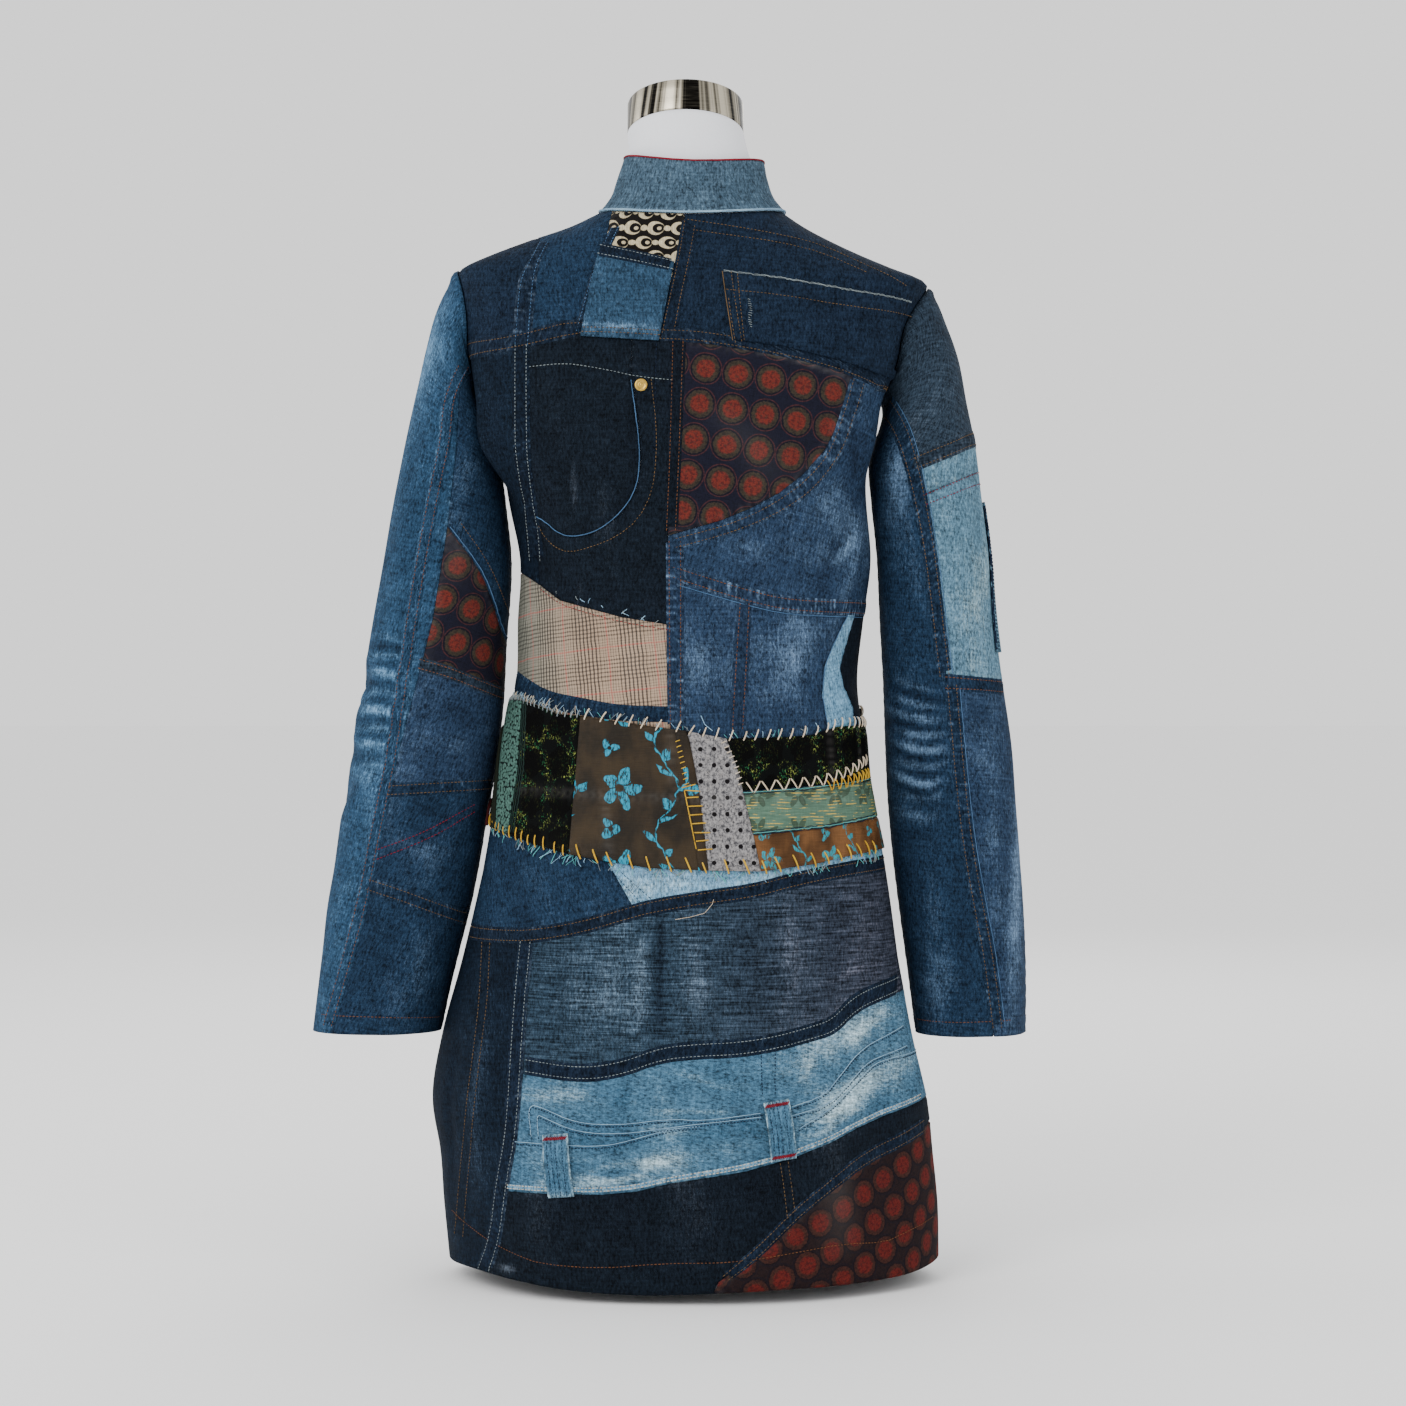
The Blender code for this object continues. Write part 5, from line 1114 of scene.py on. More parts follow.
# %% The weave of denim
def make_denim_group():
    """Colour and height of denim from its plan, its wear and its painted shade."""
    colour, number = "NodeSocketColor", "NodeSocketFloat"
    tree, n, given, result = group(
        "denim weave",
        [("Deep", colour, (0.01, 0.02, 0.05, 1)), ("Middle", colour, (0.05, 0.12, 0.25, 1)),
         ("Pale", colour, (0.45, 0.6, 0.7, 1)), ("Base", number, 0.3), ("Streak", number, 0.5),
         ("Slub", number, 0.3), ("Mottle", number, 0.3), ("Seed", number, 0.0),
         ("Cross", number, 0.2)],
        [("Color", colour), ("Height", number), ("Fade", number)])
    shift = n.add("ShaderNodeCombineXYZ", {0: given.outputs["Seed"], 1: given.outputs["Seed"]})
    place = n.add("ShaderNodeVectorMath", {0: n.plan(), 1: shift.outputs[0]}, operation="ADD").outputs[0]
    fine = n.noise(place, 1000, 330, 2.0, 0.6)
    slub = n.noise(place, 420, 60, 3.0, 0.7, 1.3)
    cross = n.noise(place, 32, 620, 2.0, 0.6, 2.1)
    speck = n.noise(place, 1300, 1100, 1.0, 0.5, 3.9)
    mottle = n.noise(place, 38, 30, 5.0, 0.6, 5.2)
    u, v = n.split(place)
    rib = n.wave(n.total(u, n.times(v, 0.55), n.times(slub, 0.0022)), 0.0011)
    breakup = n.total(n.times(slub, 0.5), n.times(mottle, 0.5), n.times(fine, 0.4))
    worn_by = n.times(n.attribute("wear"), n.total(breakup, 0.3))
    fade = n.total(given.outputs["Base"], worn_by)
    for value, amount in ((fine, "Streak"), (slub, "Slub"), (mottle, "Mottle")):
        fade = n.total(fade, n.times(n.less(value), given.outputs[amount]))
    small = n.total(n.times(n.less(speck), 0.34), n.times(n.less(cross), 
                                                                          given.outputs["Cross"]),
                    n.times(n.less(rib), 0.05))
    # painted shade: the shade attribute lowers the fade here and, below, darkens the colour towards near black
    fade = n.total(fade, small, n.times(n.attribute("shade"), -0.30))
    low = n.mix(n.soft(fade, -0.1, 0.5), given.outputs["Deep"], given.outputs["Middle"])
    high = n.mix(n.soft(fade, 0.45, 1.5), low, given.outputs["Pale"])
    shaded = n.mix(n.times(n.attribute("shade"), 0.45), high, (0.004, 0.006, 0.012))
    grain = n.noise(place, 520, 250, 3.0, 0.75, 6.6)
    patchy = n.noise(place, 90, 60, 4.0, 0.7, 7.7)
    uneven = n.total(n.times(n.less(grain), 3.3), n.times(n.less(patchy), 1.3),
                     n.times(n.less(cross), n.times(given.outputs["Cross"], 3.0)))
    uneven = n.most(n.total(uneven, 1.06), 0.3)
    dark = n.add("ShaderNodeVectorMath", {0: shaded, 3: uneven}, operation="SCALE").outputs[0]
    height = n.total(n.times(rib, 0.5), n.times(fine, 0.6), n.times(slub, 0.8), n.times(cross, 0.4))
    for label, value in (("Color", dark), ("Height", height), ("Fade", fade)):
        tree.links.new(value, result.inputs[label])
    return tree


DENIM = make_denim_group()


def shade_material(name, build, bump, rough=0.86, metal=0.0, specular=0.06):
    """A material whose colour and height come from its nodes."""
    material = bpy.data.materials.new(name)
    material.use_nodes = True
    shader = material.node_tree.nodes["Principled BSDF"]
    n = Nodes(material.node_tree)
    colour, height, roughness = build(n)
    material.node_tree.links.new(colour, shader.inputs["Base Color"])
    if roughness is not None:
        material.node_tree.links.new(roughness, shader.inputs["Roughness"])
    else:
        shader.inputs["Roughness"].default_value = rough
    relief = n.add("ShaderNodeBump", {"Strength": 0.8, "Distance": bump * MM, "Height": height})
    material.node_tree.links.new(relief.outputs[0], shader.inputs["Normal"])
    shader.inputs["Metallic"].default_value = metal
    shader.inputs["Specular IOR Level"].default_value = specular
    return material


def denim(name, deep, middle, pale, base, streak, slub, mottle, seed, cross=0.2, turning=None):
    """One pair of jeans: its colours as they look, 0 to 255, and how strongly its cloth shows."""
    def build(n):
        node = n.add("ShaderNodeGroup", node_tree=DENIM)
        for key, value in (("Deep", (*tone(*deep), 1)), ("Middle", (*tone(*middle), 1)), ("Pale", (*tone(*pale), 1)),
                           ("Base", base), ("Streak", streak), ("Slub", slub), ("Mottle", mottle), ("Seed", seed),
                           ("Cross", cross)):
            node.inputs[key].default_value = value
        colour = node.outputs["Color"]
        if turning:
            across = n.soft(n.split(n.plan())[0], -0.13, 0.14)
            colour = n.mix(1.0, colour, n.mix(across, *turning), "MULTIPLY")
        return colour, node.outputs["Height"], None
    return shade_material(name, build, bump=0.35)


print("denim group nodes:", len(DENIM.nodes))

# %% Colours of the jeans
LOOKS = (0, 24, 36, 45, 57, 81, 110, 140, 165, 176, 255)
CLOTH_HAS = (0, 14, 23, 30, 40, 61, 85, 114, 148, 168, 250)


def tone(red, green, blue):
    """A colour as it looks in this studio, 0 to 255, turned into the cloth's own colour."""
    own = np.interp((red, green, blue), LOOKS, CLOTH_HAS)
    return tuple(float(((c / 255 + 0.055) / 1.055) ** 2.4 if c > 10 else c / 3294) for c in own)


INK = denim("ink denim", (14, 22, 33), (32, 47, 65), (104, 118, 134), 0.38, 0.5, 0.4, 0.3, seed=0.3)
BLACK = denim("near black denim", (10, 15, 22), (26, 35, 46), (96, 106, 118), 0.4, 0.4, 0.35, 0.2, seed=1.3)
NAVY = denim("navy denim", (11, 19, 29), (24, 37, 52), (96, 118, 142), 0.4, 0.5, 0.45, 0.35, seed=2.3)
NIGHT = denim("night blue denim", (16, 28, 42), (38, 59, 81), (120, 144, 164), 0.42, 0.5, 0.45, 0.4, seed=2.9)
FADED = denim("faded navy denim", (24, 36, 54), (48, 66, 90), (136, 156, 174), 0.45, 0.5, 0.45, 0.4, seed=3.1)
WASHED = denim("washed blue denim", (24, 42, 62), (48, 76, 103), (132, 164, 188), 0.45, 0.6, 0.5, 0.4, seed=3.3)
PATCH = denim("patch denim", (30, 48, 68), (54, 80, 104), (136, 160, 178), 0.45, 0.6, 0.5, 0.35, seed=3.9)
SOFT = denim("soft blue denim", (36, 58, 82), (66, 92, 118), (146, 172, 190), 0.5, 0.6, 0.5, 0.45, seed=4.3)
SKY = denim("sky blue denim", (70, 108, 134), (122, 157, 174), (184, 206, 212), 0.5, 0.5, 0.5, 0.45, seed=5.3)
MINT = denim("mint blue denim", (62, 94, 112), (102, 135, 150), (172, 192, 196), 0.48, 0.6, 0.6, 0.45, seed=6.3)
BLEACHED = denim("bleached denim", (40, 78, 106), (82, 120, 142), (176, 202, 212), 0.36, 0.4, 0.4, 0.45, seed=7.3)
SLATE = denim("slate slub denim", (24, 32, 42), (54, 67, 81), (128, 140, 150), 0.42, 0.6, 0.6, 0.3, seed=8.3,
              cross=0.35)
SLUB = denim("grey slub denim", (24, 32, 42), (54, 67, 80), (128, 140, 150), 0.42, 0.6, 0.6, 0.3, seed=8.8,
             cross=0.7, turning=((0.92, 1.06, 1.12), (1.35, 1.0, 1.0)))
PIPED = denim("collar denim", (44, 64, 80), (77, 99, 116), (146, 166, 178), 0.46, 0.8, 0.8, 0.3, seed=9.3)
print("denims:", sum("denim" in material.name for material in bpy.data.materials))

# %% [markdown]
# ## Printed and woven patches
# The bright patches are furnishing and dress fabrics: woven spots, a glen check, lurex, brocade. Each one is
# drawn by plain distances on the piece's plan, in millimetres, so the motifs keep their size and follow the
# cloth. A picture could be laid on instead, but it would blur up close and couldn't be changed.

# %% Helpers for motifs
def on_cloth(n):
    """The plan in millimetres, a little uneven as woven cloth is."""
    place = n.plan()
    bend = n.noise(place, 60, 60, 2.0, 0.5, 0.7)
    other = n.noise(place, 60, 60, 2.0, 0.5, 8.1)
    u, v = n.split(place)
    return (n.scaled(u, 1000.0, n.times(bend, 1.6)), n.scaled(v, 1000.0, n.times(other, 1.6)), place)


def cell(n, value, pitch, shift=0.0):
    """Distance from the middle of a repeating cell, and the cell's number."""
    moved = n.math("DIVIDE", n.total(value, shift), pitch)
    number = n.math("FLOOR", moved)
    return n.times(n.less(n.less(moved, number)), pitch), number


def reach(n, x, y):
    """Distance of a place from the middle."""
    return n.math("SQRT", n.total(n.times(x, x), n.times(y, y)))


def between(n, value, low, high, soft=0.4):
    """One between two limits, with soft edges."""
    rise = n.soft(value, low - soft, low + soft)
    fall = n.soft(value, high - soft, high + soft, 1.0, 0.0)
    return n.times(rise, fall)


def threads(n, place, colour, amount=0.35):
    """Fine warp and weft over a colour, with its wear and its painted shade."""
    warp, weft = n.noise(place, 1300, 90, 2.0, 0.6, 1.1), n.noise(place, 90, 1300, 2.0, 0.6, 2.2)
    light = n.scaled(n.total(warp, weft), amount * 2.0, 1.0 - amount * 2.0)
    lit = n.add("ShaderNodeVectorMath", {0: colour, 3: light}, operation="SCALE").outputs[0]
    pale = n.mix(n.times(n.attribute("wear"), 0.22), lit, (0.45, 0.43, 0.40))
    # painted shade: the shade attribute darkens the colour towards near black
    dark = n.mix(n.times(n.attribute("shade"), 0.5), pale, (0.008, 0.008, 0.01))
    return dark, n.total(warp, weft)


def spots(pitch_x, pitch_y, disc, ground, spot, halo, ring, line):
    """Woven discs with a halo and a thin ring."""
    def build(n):
        u, v, place = on_cloth(n)
        x, _ = cell(n, u, pitch_x)
        y, _ = cell(n, v, pitch_y)
        far = reach(n, x, y)
        rough = n.noise(place, 480, 480, 3.0, 0.7, 4.4)
        edge = n.scaled(n.less(rough), 3.2, far)
        colour = n.mix(between(n, far, disc * 1.47, disc * 1.56), ground, ring)
        colour = n.mix(between(n, far, disc * 1.30, disc * 1.42), colour, line)
        colour = n.mix(n.soft(edge, disc * 1.24, disc * 1.36, 1.0, 0.0), colour, halo)
        colour = n.mix(n.soft(edge, disc * 0.74, disc * 1.0, 1.0, 0.0), colour, spot)
        scribble = n.soft(n.noise(place, 380, 460, 3.0, 0.7, 6.1), 0.47, 0.60)
        colour = n.mix(n.times(scribble, 0.5), colour, line)
        light = n.soft(n.noise(place, 420, 360, 3.0, 0.7, 7.9), 0.54, 0.66)
        inner = n.soft(edge, disc * 0.5, disc * 1.1, 1.0, 0.0)
        colour = n.mix(n.times(n.times(light, inner), 0.5), colour, halo)
        colour, height = threads(n, place, colour, 0.25)
        return colour, n.total(height, n.soft(far, disc * 1.1, disc * 1.3, 0.8, 0.0)), None
    return build


# %% Spots, rings and small dots
SPOTTED = shade_material("spotted furnishing cloth", spots(26.0, 28.3, 8.3, tone(36, 37, 52), tone(122, 56, 49),
    tone(70, 63, 54), tone(88, 54, 54), tone(30, 30, 40)), bump=0.4)
SPOTTED_RED = shade_material("red spotted cloth", spots(23.0, 25.0, 8.0, tone(50, 38, 39), tone(114, 46, 42),
    tone(76, 50, 44), tone(40, 34, 42), tone(32, 27, 34)), bump=0.4)


def ring_pattern(n):
    """Black cloth with loose gold rings and crescents, in an order of its own."""
    u, v, place = on_cloth(n)
    y, row = cell(n, v, 15.5, 3.0)
    x, _ = cell(n, n.total(u, n.times(n.math("MODULO", row, 2.0), 9.5)), 19.0)
    far = reach(n, x, y)
    crescent = n.times(n.soft(far, 6.6, 7.2, 1.0, 0.0), n.soft(reach(n, n.less(x, 2.2), y), 4.4, 5.0))
    small = n.soft(reach(n, n.less(n.size(x), 9.5), y), 2.6, 3.2, 1.0, 0.0)
    pip = n.soft(reach(n, n.less(x, 3.0), y), 1.6, 2.1, 1.0, 0.0)
    gold = n.most(n.most(pip, crescent), small)
    base = n.mix(n.noise(place, 300, 300, 2.0, 0.5, 3.0), tone(20, 18, 18), tone(36, 32, 30))
    shine = n.mix(n.noise(place, 700, 200, 2.0, 0.6, 5.0), tone(150, 136, 104), tone(222, 212, 180))
    colour, height = threads(n, place, n.mix(gold, base, shine), 0.2)
    return colour, n.total(height, n.times(gold, 1.2)), n.scaled(gold, -0.35, 0.8)


def dot_pattern(n):
    """Grey cloth with black dots and pale rings between them."""
    u, v, place = on_cloth(n)
    y, _ = cell(n, v, 12.8)
    x, _ = cell(n, u, 10.4)
    far = reach(n, x, y)
    other = reach(n, n.less(n.size(x), 5.2), n.less(n.size(y), 6.4))
    mottled = n.soft(n.noise(place, 420, 300, 4.0, 0.8, 1.0), 0.34, 0.62)
    cloth = n.mix(mottled, tone(82, 82, 86), tone(160, 158, 158))
    cloth = n.mix(n.times(between(n, other, 1.0, 1.5, 0.2), 0.6), cloth, tone(168, 165, 162))
    colour = n.mix(n.soft(far, 1.6, 2.0, 1.0, 0.0), cloth, tone(30, 28, 30))
    colour, height = threads(n, place, colour, 0.2)
    return colour, height, None


RINGED = shade_material("ringed dress cloth", ring_pattern, bump=0.4)
DOTTED = shade_material("dotted grey cloth", dot_pattern, bump=0.3)
print("spotted cloths:", SPOTTED.name, SPOTTED_RED.name)

# %% Glen check
def check_lines(n, value, pitch):
    """Fine dark lines in groups of seven, then pale ones, and one pink line."""
    where, _ = cell(n, value, pitch)
    fine = n.soft(n.math("SINE", n.times(where, 2.0 * math.pi / 3.2)), 0.05, 0.6)
    inside_group = between(n, where, -18.6, 4.0, 0.4)
    wide = n.soft(n.math("SINE", n.times(where, 2.0 * math.pi / 2.1)), 0.2, 0.8)
    outside = between(n, where, 5.0, 18.6, 0.5)
    pink = between(n, where, 10.6, 11.8, 0.3)
    return n.total(n.times(fine, inside_group), n.times(n.times(wide, outside), 0.5)), pink


def check_pattern(n):
    """Wool glen check, greyer to the left and peach to the right."""
    u, v, place = on_cloth(n)
    dark_u, pink_u = check_lines(n, u, 38.0)
    dark_v, pink_v = check_lines(n, v, 36.0)
    base = n.mix(n.soft(u, -30.0, 62.0), tone(150, 152, 144), tone(178, 164, 148))
    base = n.mix(n.times(n.noise(place, 600, 600, 2.0, 0.6, 1.0), 0.35), base, tone(126, 112, 98))
    both = n.math("MINIMUM", n.total(n.times(dark_u, 0.8), n.times(dark_v, 0.5)), 0.9)
    colour = n.mix(both, base, tone(56, 54, 54))
    colour = n.mix(n.times(n.most(pink_u, pink_v), 0.32), colour, tone(192, 92, 92))
    colour, height = threads(n, place, colour, 0.18)
    return colour, height, None


CHECKED = shade_material("glen check wool", check_pattern, bump=0.25)

# %% Brocades and lurex
def blossom(n, x, y, size, petals):
    """A flower of round petals with an open heart."""
    angle = n.math("ARCTAN2", y, x)
    lobe = n.scaled(n.math("COSINE", n.times(angle, float(petals))), 0.26 * size, 0.72 * size)
    far = reach(n, x, y)
    petal = n.soft(n.less(far, lobe), -0.4, 0.4, 1.0, 0.0)
    vein = n.soft(n.size(n.math("COSINE", n.times(angle, petals * 0.5))), 0.08, 0.3)
    return n.times(petal, n.times(n.soft(far, 0.16 * size, 0.24 * size), vein))


def leaf(n, x, y, length, width):
    """A pointed leaf lying across its cell."""
    a, b = n.total(n.times(x, 0.77), n.times(y, 0.64)), n.less(n.times(y, 0.77), n.times(x, 0.64))
    taper = n.less(1.0, n.math("POWER", n.size(n.math("DIVIDE", a, length)), 1.5))
    return n.soft(n.less(n.size(b), n.times(taper, width)), -0.3, 0.3, 1.0, 0.0)


def garden(shift_u, shift_v, size, deep, light, figure, pale):
    """Satin with a climbing stem, leaves and blossoms, in an order of its own, and a painted sheen."""
    def build(n):
        u, v, place = on_cloth(n)
        sway, lift = n.noise(place, 75, 75, 2.0, 0.5, 5.5), n.noise(place, 75, 75, 2.0, 0.5, 9.5)
        u = n.total(u, shift_u, n.times(sway, 7.0))
        v = n.total(v, shift_v, n.times(lift, 7.0))
        stem_at = n.times(n.math("SINE", n.times(v, 2.0 * math.pi / (74.0 * size))), 9.0 * size)
        off, _ = cell(n, u, 82.0 * size)
        stem_off = n.less(off, stem_at)
        stem = n.soft(n.size(stem_off), 0.5, 0.9, 1.0, 0.0)
        side, number = cell(n, v, 13.0 * size)
        turn = n.scaled(n.math("MODULO", n.size(number), 2.0), 2.0, -1.0)
        leaf_x = n.less(n.times(stem_off, turn), 4.6 * size)
        leaves = leaf(n, leaf_x, side, 6.6 * size, 2.7 * size)
        flower_x, _ = cell(n, n.total(u, 36.0 * size), 82.0 * size)
        flower_y, _ = cell(n, n.total(v, 14.0 * size), 64.0 * size)
        flowers = blossom(n, flower_x, flower_y, 17.0 * size, 5)
        bud_y, _ = cell(n, n.total(v, 46.0 * size), 64.0 * size)
        buds = blossom(n, n.total(flower_x, 9.0 * size), bud_y, 9.0 * size, 3)
        drawn = n.most(n.most(stem, leaves), n.most(flowers, buds))
        drawn = n.times(drawn, n.soft(n.noise(place, 520, 160, 3.0, 0.7, 7.0), 0.36, 0.50))
        # painted sheen: soft noise makes the flat satin lighter and darker as light on folds would; the weave below
        # is the cloth's own
        folds = n.soft(n.noise(place, 34, 22, 3.0, 0.6, 4.0), 0.3, 0.7)
        weave = n.noise(place, 60, 1500, 2.0, 0.6, 2.0)
        satin = n.mix(n.scaled(weave, 0.4, n.times(folds, 0.75)), deep, light)
        silk = n.mix(n.noise(place, 900, 120, 2.0, 0.6, 3.0), figure, pale)
        colour, height = threads(n, place, n.mix(drawn, satin, silk), 0.16)
        return colour, n.total(height, n.times(drawn, 1.6)), n.scaled(drawn, 0.1, 0.42)
    return build


def lurex(n):
    """Black cloth with velvet leaves and a scatter of green and gold threads."""
    u, v, place = on_cloth(n)
    x, _ = cell(n, u, 25.0, 6.0)
    y, _ = cell(n, v, 31.0, 9.0)
    lobes = n.scaled(n.noise(place, 120, 120, 2.0, 0.5, 2.0), 9.0, -4.5)
    round_by = n.total(reach(n, x, n.times(y, 0.82)), lobes)
    velvet = n.soft(round_by, 9.4, 10.4, 1.0, 0.0)
    glint = n.soft(n.noise(place, 900, 420, 3.0, 0.75, 3.0), 0.56, 0.62)
    glint = n.times(glint, n.soft(n.noise(place, 70, 50, 3.0, 0.6, 9.0), 0.44, 0.60))
    glint = n.times(glint, n.scaled(velvet, -0.92, 1.0))
    bright = n.mix(n.soft(n.noise(place, 160, 160, 2.0, 0.5, 5.0), 0.42, 0.58), tone(52, 130, 84), tone(160, 168, 96))
    ground = n.mix(velvet, tone(8, 11, 11), tone(3, 3, 3))
    colour, height = threads(n, place, n.mix(glint, ground, bright), 0.2)
    return colour, n.total(height, n.times(glint, 1.5), velvet), n.scaled(glint, -0.45, 0.8)


def sage_pattern(n):
    """Sage brocade with darker leaves and lines of gold thread."""
    u, v, place = on_cloth(n)
    x, _ = cell(n, u, 34.0)
    y, _ = cell(n, v, 30.0, 5.0)
    figure = n.most(blossom(n, x, y, 12.0, 6), leaf(n, n.less(x, 12.0), y, 7.0, 2.5))
    ground = n.mix(n.noise(place, 60, 900, 2.0, 0.6, 1.0), tone(70, 98, 86), tone(124, 150, 134))
    gold = n.times(n.soft(n.wave(v, 2.4), 0.72, 0.9), n.soft(n.noise(place, 70, 200, 3.0, 0.6, 2.0), 0.5, 0.62))
    colour = n.mix(n.times(figure, 0.6), ground, tone(58, 64, 48))
    colour = n.mix(gold, colour, tone(196, 172, 96))
    colour, height = threads(n, place, colour, 0.2)
    return colour, n.total(height, figure), n.scaled(gold, -0.3, 0.7)


def chenille(colour_low, colour_high):
    """Looped chenille in soft bumps, with painted shade between the loops."""
    def build(n):
        place = n.plan()
        loops = n.add("ShaderNodeTexVoronoi", {"Vector": place, "Scale": 420.0}, voronoi_dimensions="2D").outputs[0]
        colour = n.mix(n.noise(place, 260, 260, 3.0, 0.7, 1.0), colour_low, colour_high)
        # painted shade: the colour goes dark where the bumps are lowest, between the loops
        colour = n.mix(n.soft(loops, 0.35, 0.7), colour, tone(24, 34, 34))
        return colour, n.less(1.0, loops), None
    return build


BROCADE = shade_material("brown satin brocade", garden(11.0, 8.0, 1.0, tone(26, 22, 15), tone(70, 57, 38),
    tone(18, 102, 130), tone(60, 176, 204)), bump=0.4, specular=0.14)
RUST = shade_material("rust brown brocade", garden(
    30.0, 21.0, 0.62, tone(68, 49, 32), tone(138, 100, 64), tone(24, 112, 130), tone(80, 172, 180)), bump=0.4)
LUREX = shade_material("black lurex", lurex, bump=0.4)
SAGE = shade_material("sage brocade", sage_pattern, bump=0.3)
CHENILLE = shade_material("mint chenille", chenille(tone(44, 70, 66), tone(116, 150, 142)), bump=0.9)
OLIVE = shade_material("olive loop braid", chenille(tone(38, 42, 26), tone(104, 102, 64)), bump=0.9)
RED_BIT = shade_material("red loop braid", chenille(tone(110, 22, 30), tone(186, 48, 56)), bump=0.9)
print("patch cloths:", [m.name for m in (BROCADE, RUST, LUREX, SAGE, CHENILLE, OLIVE, RINGED, CHECKED)])

# %% [markdown]
# ## The patchwork of the back
# Each piece of the back is cut from its own pair of jeans, turned its own way, and laid on its wall. The table
# names the cloth and the way its warp runs, in degrees.

# %% Cut the back
CUTS = {
    "yoke_left_outer": (INK, -4), "yoke_left_inner": (NIGHT, 3), "yoke_ring_insert": (RINGED, 0),
    "yoke_right": (INK, -6), "back_left_side": (NAVY, 2), "back_pocket_bag": (BLACK, 0),
    "back_pocket_panel": (BLACK, -2), "back_check": (CHECKED, 6), "back_dots": (SPOTTED, -9.5),
    "back_right_side": (FADED, -14), "back_lower_middle": (FADED, 0), "back_crescent": (SKY, 10),
    "back_right_low": (BLACK, 0), "skirt_upper_left": (NIGHT, 8), "skirt_sky": (SKY, 2), "skirt_left": (NAVY, 5),
    "skirt_slub": (SLUB, 0), "skirt_bleached": (BLEACHED, 84), "skirt_dark": (BLACK, 3),
    "skirt_dots": (SPOTTED_RED, 24), "sleeve_left_outer": (WASHED, 8), "sleeve_left_upper": (NIGHT, 12),
    "sleeve_left_dots": (SPOTTED, 18), "sleeve_left_elbow": (FADED, 10), "sleeve_left_fore": (NIGHT, 12),
    "sleeve_left_cuff": (NIGHT, 8), "sleeve_right_top": (SLATE, -30), "sleeve_right_strip": (MINT, -10),
    "sleeve_right_panel": (MINT, -6), "sleeve_right_inner": (NIGHT, -5), "sleeve_right_lower": (FADED, -4)}
GAP = 0.15
for piece in PANELS:
    cloth, turn = CUTS[piece.name]
    wall = WALLS[piece.wall]
    loop = wall.on_plan(narrowed(chain(piece.outline), GAP), closed=True)
    shell = cut_piece(piece.name + "_cloth", wall, loop, cloth, 3.8, turn=turn)
    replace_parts(shell, piece.name)
print("pieces of the back cut:", len(SHELLS))

# %% [markdown]
# ## What the photo hides
# The fronts and the fronts of the sleeves aren't seen, so they are cut plainly, each from one pair of jeans as
# the back is, with creases of their own, closed at the centre front under a placket.

# %% Fronts and sleeve fronts
LOOP_STEP = 3.0


def strip_loop(wall, start, end, low, high):
    """A loop on the plan between two turns, each given by a number or by a rule of the run."""
    up = np.arange(low, high + 0.1, LOOP_STEP)
    a = np.broadcast_to(start(up) if callable(start) else start, up.shape) * wall.per_degree
    b = np.broadcast_to(end(up) if callable(end) else end, up.shape) * wall.per_degree
    base = np.linspace(a[0], b[0], 2 + int(abs(b[0] - a[0]) / LOOP_STEP))
    top = np.linspace(b[-1], a[-1], 2 + int(abs(b[-1] - a[-1]) / LOOP_STEP))
    return np.concatenate([
        pair(base, np.full(base.shape, up[0])), pair(b, up)[1:-1],
        pair(top, np.full(top.shape, up[-1])), pair(a, up)[::-1][1:-1]])


def past(wall, sign):
    """The turn just past a side seam, going to the front."""
    return lambda run: sign * (wall.limit(run) + GAP)


SHUT = 0.15
right_front = strip_loop(body, past(body, 1), 180 - SHUT, body.low, body.high)
left_front = strip_loop(body, -180 + SHUT, past(body, -1), body.low, body.high)
for name, loop, cloth, turn in (("front_right", right_front, FADED, 3), ("front_left", left_front, NIGHT, -3)):
    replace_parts(cut_piece(name + "_cloth", body, loop, cloth, 5.0, turn=turn), name)
for name, wall, cloth in (("sleeve_left_front", left, WASHED), ("sleeve_right_front", right, NIGHT)):
    loop = strip_loop(wall, past(wall, 1), lambda run, wall=wall: 360 - wall.limit(run) - GAP, wall.low, wall.high)
    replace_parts(cut_piece(name + "_cloth", wall, loop, cloth, 4.5), name)
print("shells:", len(SHELLS))

# %% Pieces that lie on the cloth
LIFT_OUT = 0.9
SKIN_OUT = 1.6
BAND_OUT = LIFT_OUT + SKIN_OUT
BAND_CLOTHS = {
    "yoke_blue_patch": PATCH, "yoke_pocket": INK, "band_left": LUREX, "band_brocade": BROCADE, "band_grey": DOTTED,
    "band_lurex": LUREX, "band_sage": SAGE, "band_rust": RUST}
for name, slot, outline in LAID_ON:
    loop = body.on_plan(narrowed(chain(outline), GAP), closed=True)
    shell = cut_piece(name + "_cloth", body, loop, BAND_CLOTHS[name], 3.0, out=BAND_OUT, thick=SKIN_OUT)
    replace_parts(shell, name)
print("shells:", len(SHELLS))

# %% [markdown]
# ## Sewing
# Every seam of jeans is topstitched with thick thread, and it is the first thing one sees. A row of stitches
# repeats along a path, so Geometry Nodes lays it: the tree takes a line, puts a small rounded stitch at every
# pitch, turns it along the line and onto the cloth, and makes the result a plain mesh.

# %% The stitch tree
def geometry_tree(name, inputs):
    """A Geometry Nodes tree with named inputs."""
    tree = bpy.data.node_groups.new(name, "GeometryNodeTree")
    tree.interface.new_socket("Geometry", in_out="INPUT", socket_type="NodeSocketGeometry")
    for label, kind, value in inputs:
        socket = tree.interface.new_socket(label, in_out="INPUT", socket_type=kind)
        if value is not None:
            socket.default_value = value
    tree.interface.new_socket("Geometry", in_out="OUTPUT", socket_type="NodeSocketGeometry")
    given, result = tree.nodes.new("NodeGroupInput"), tree.nodes.new("NodeGroupOutput")
    return tree, Nodes(tree), given.outputs, result.inputs["Geometry"]


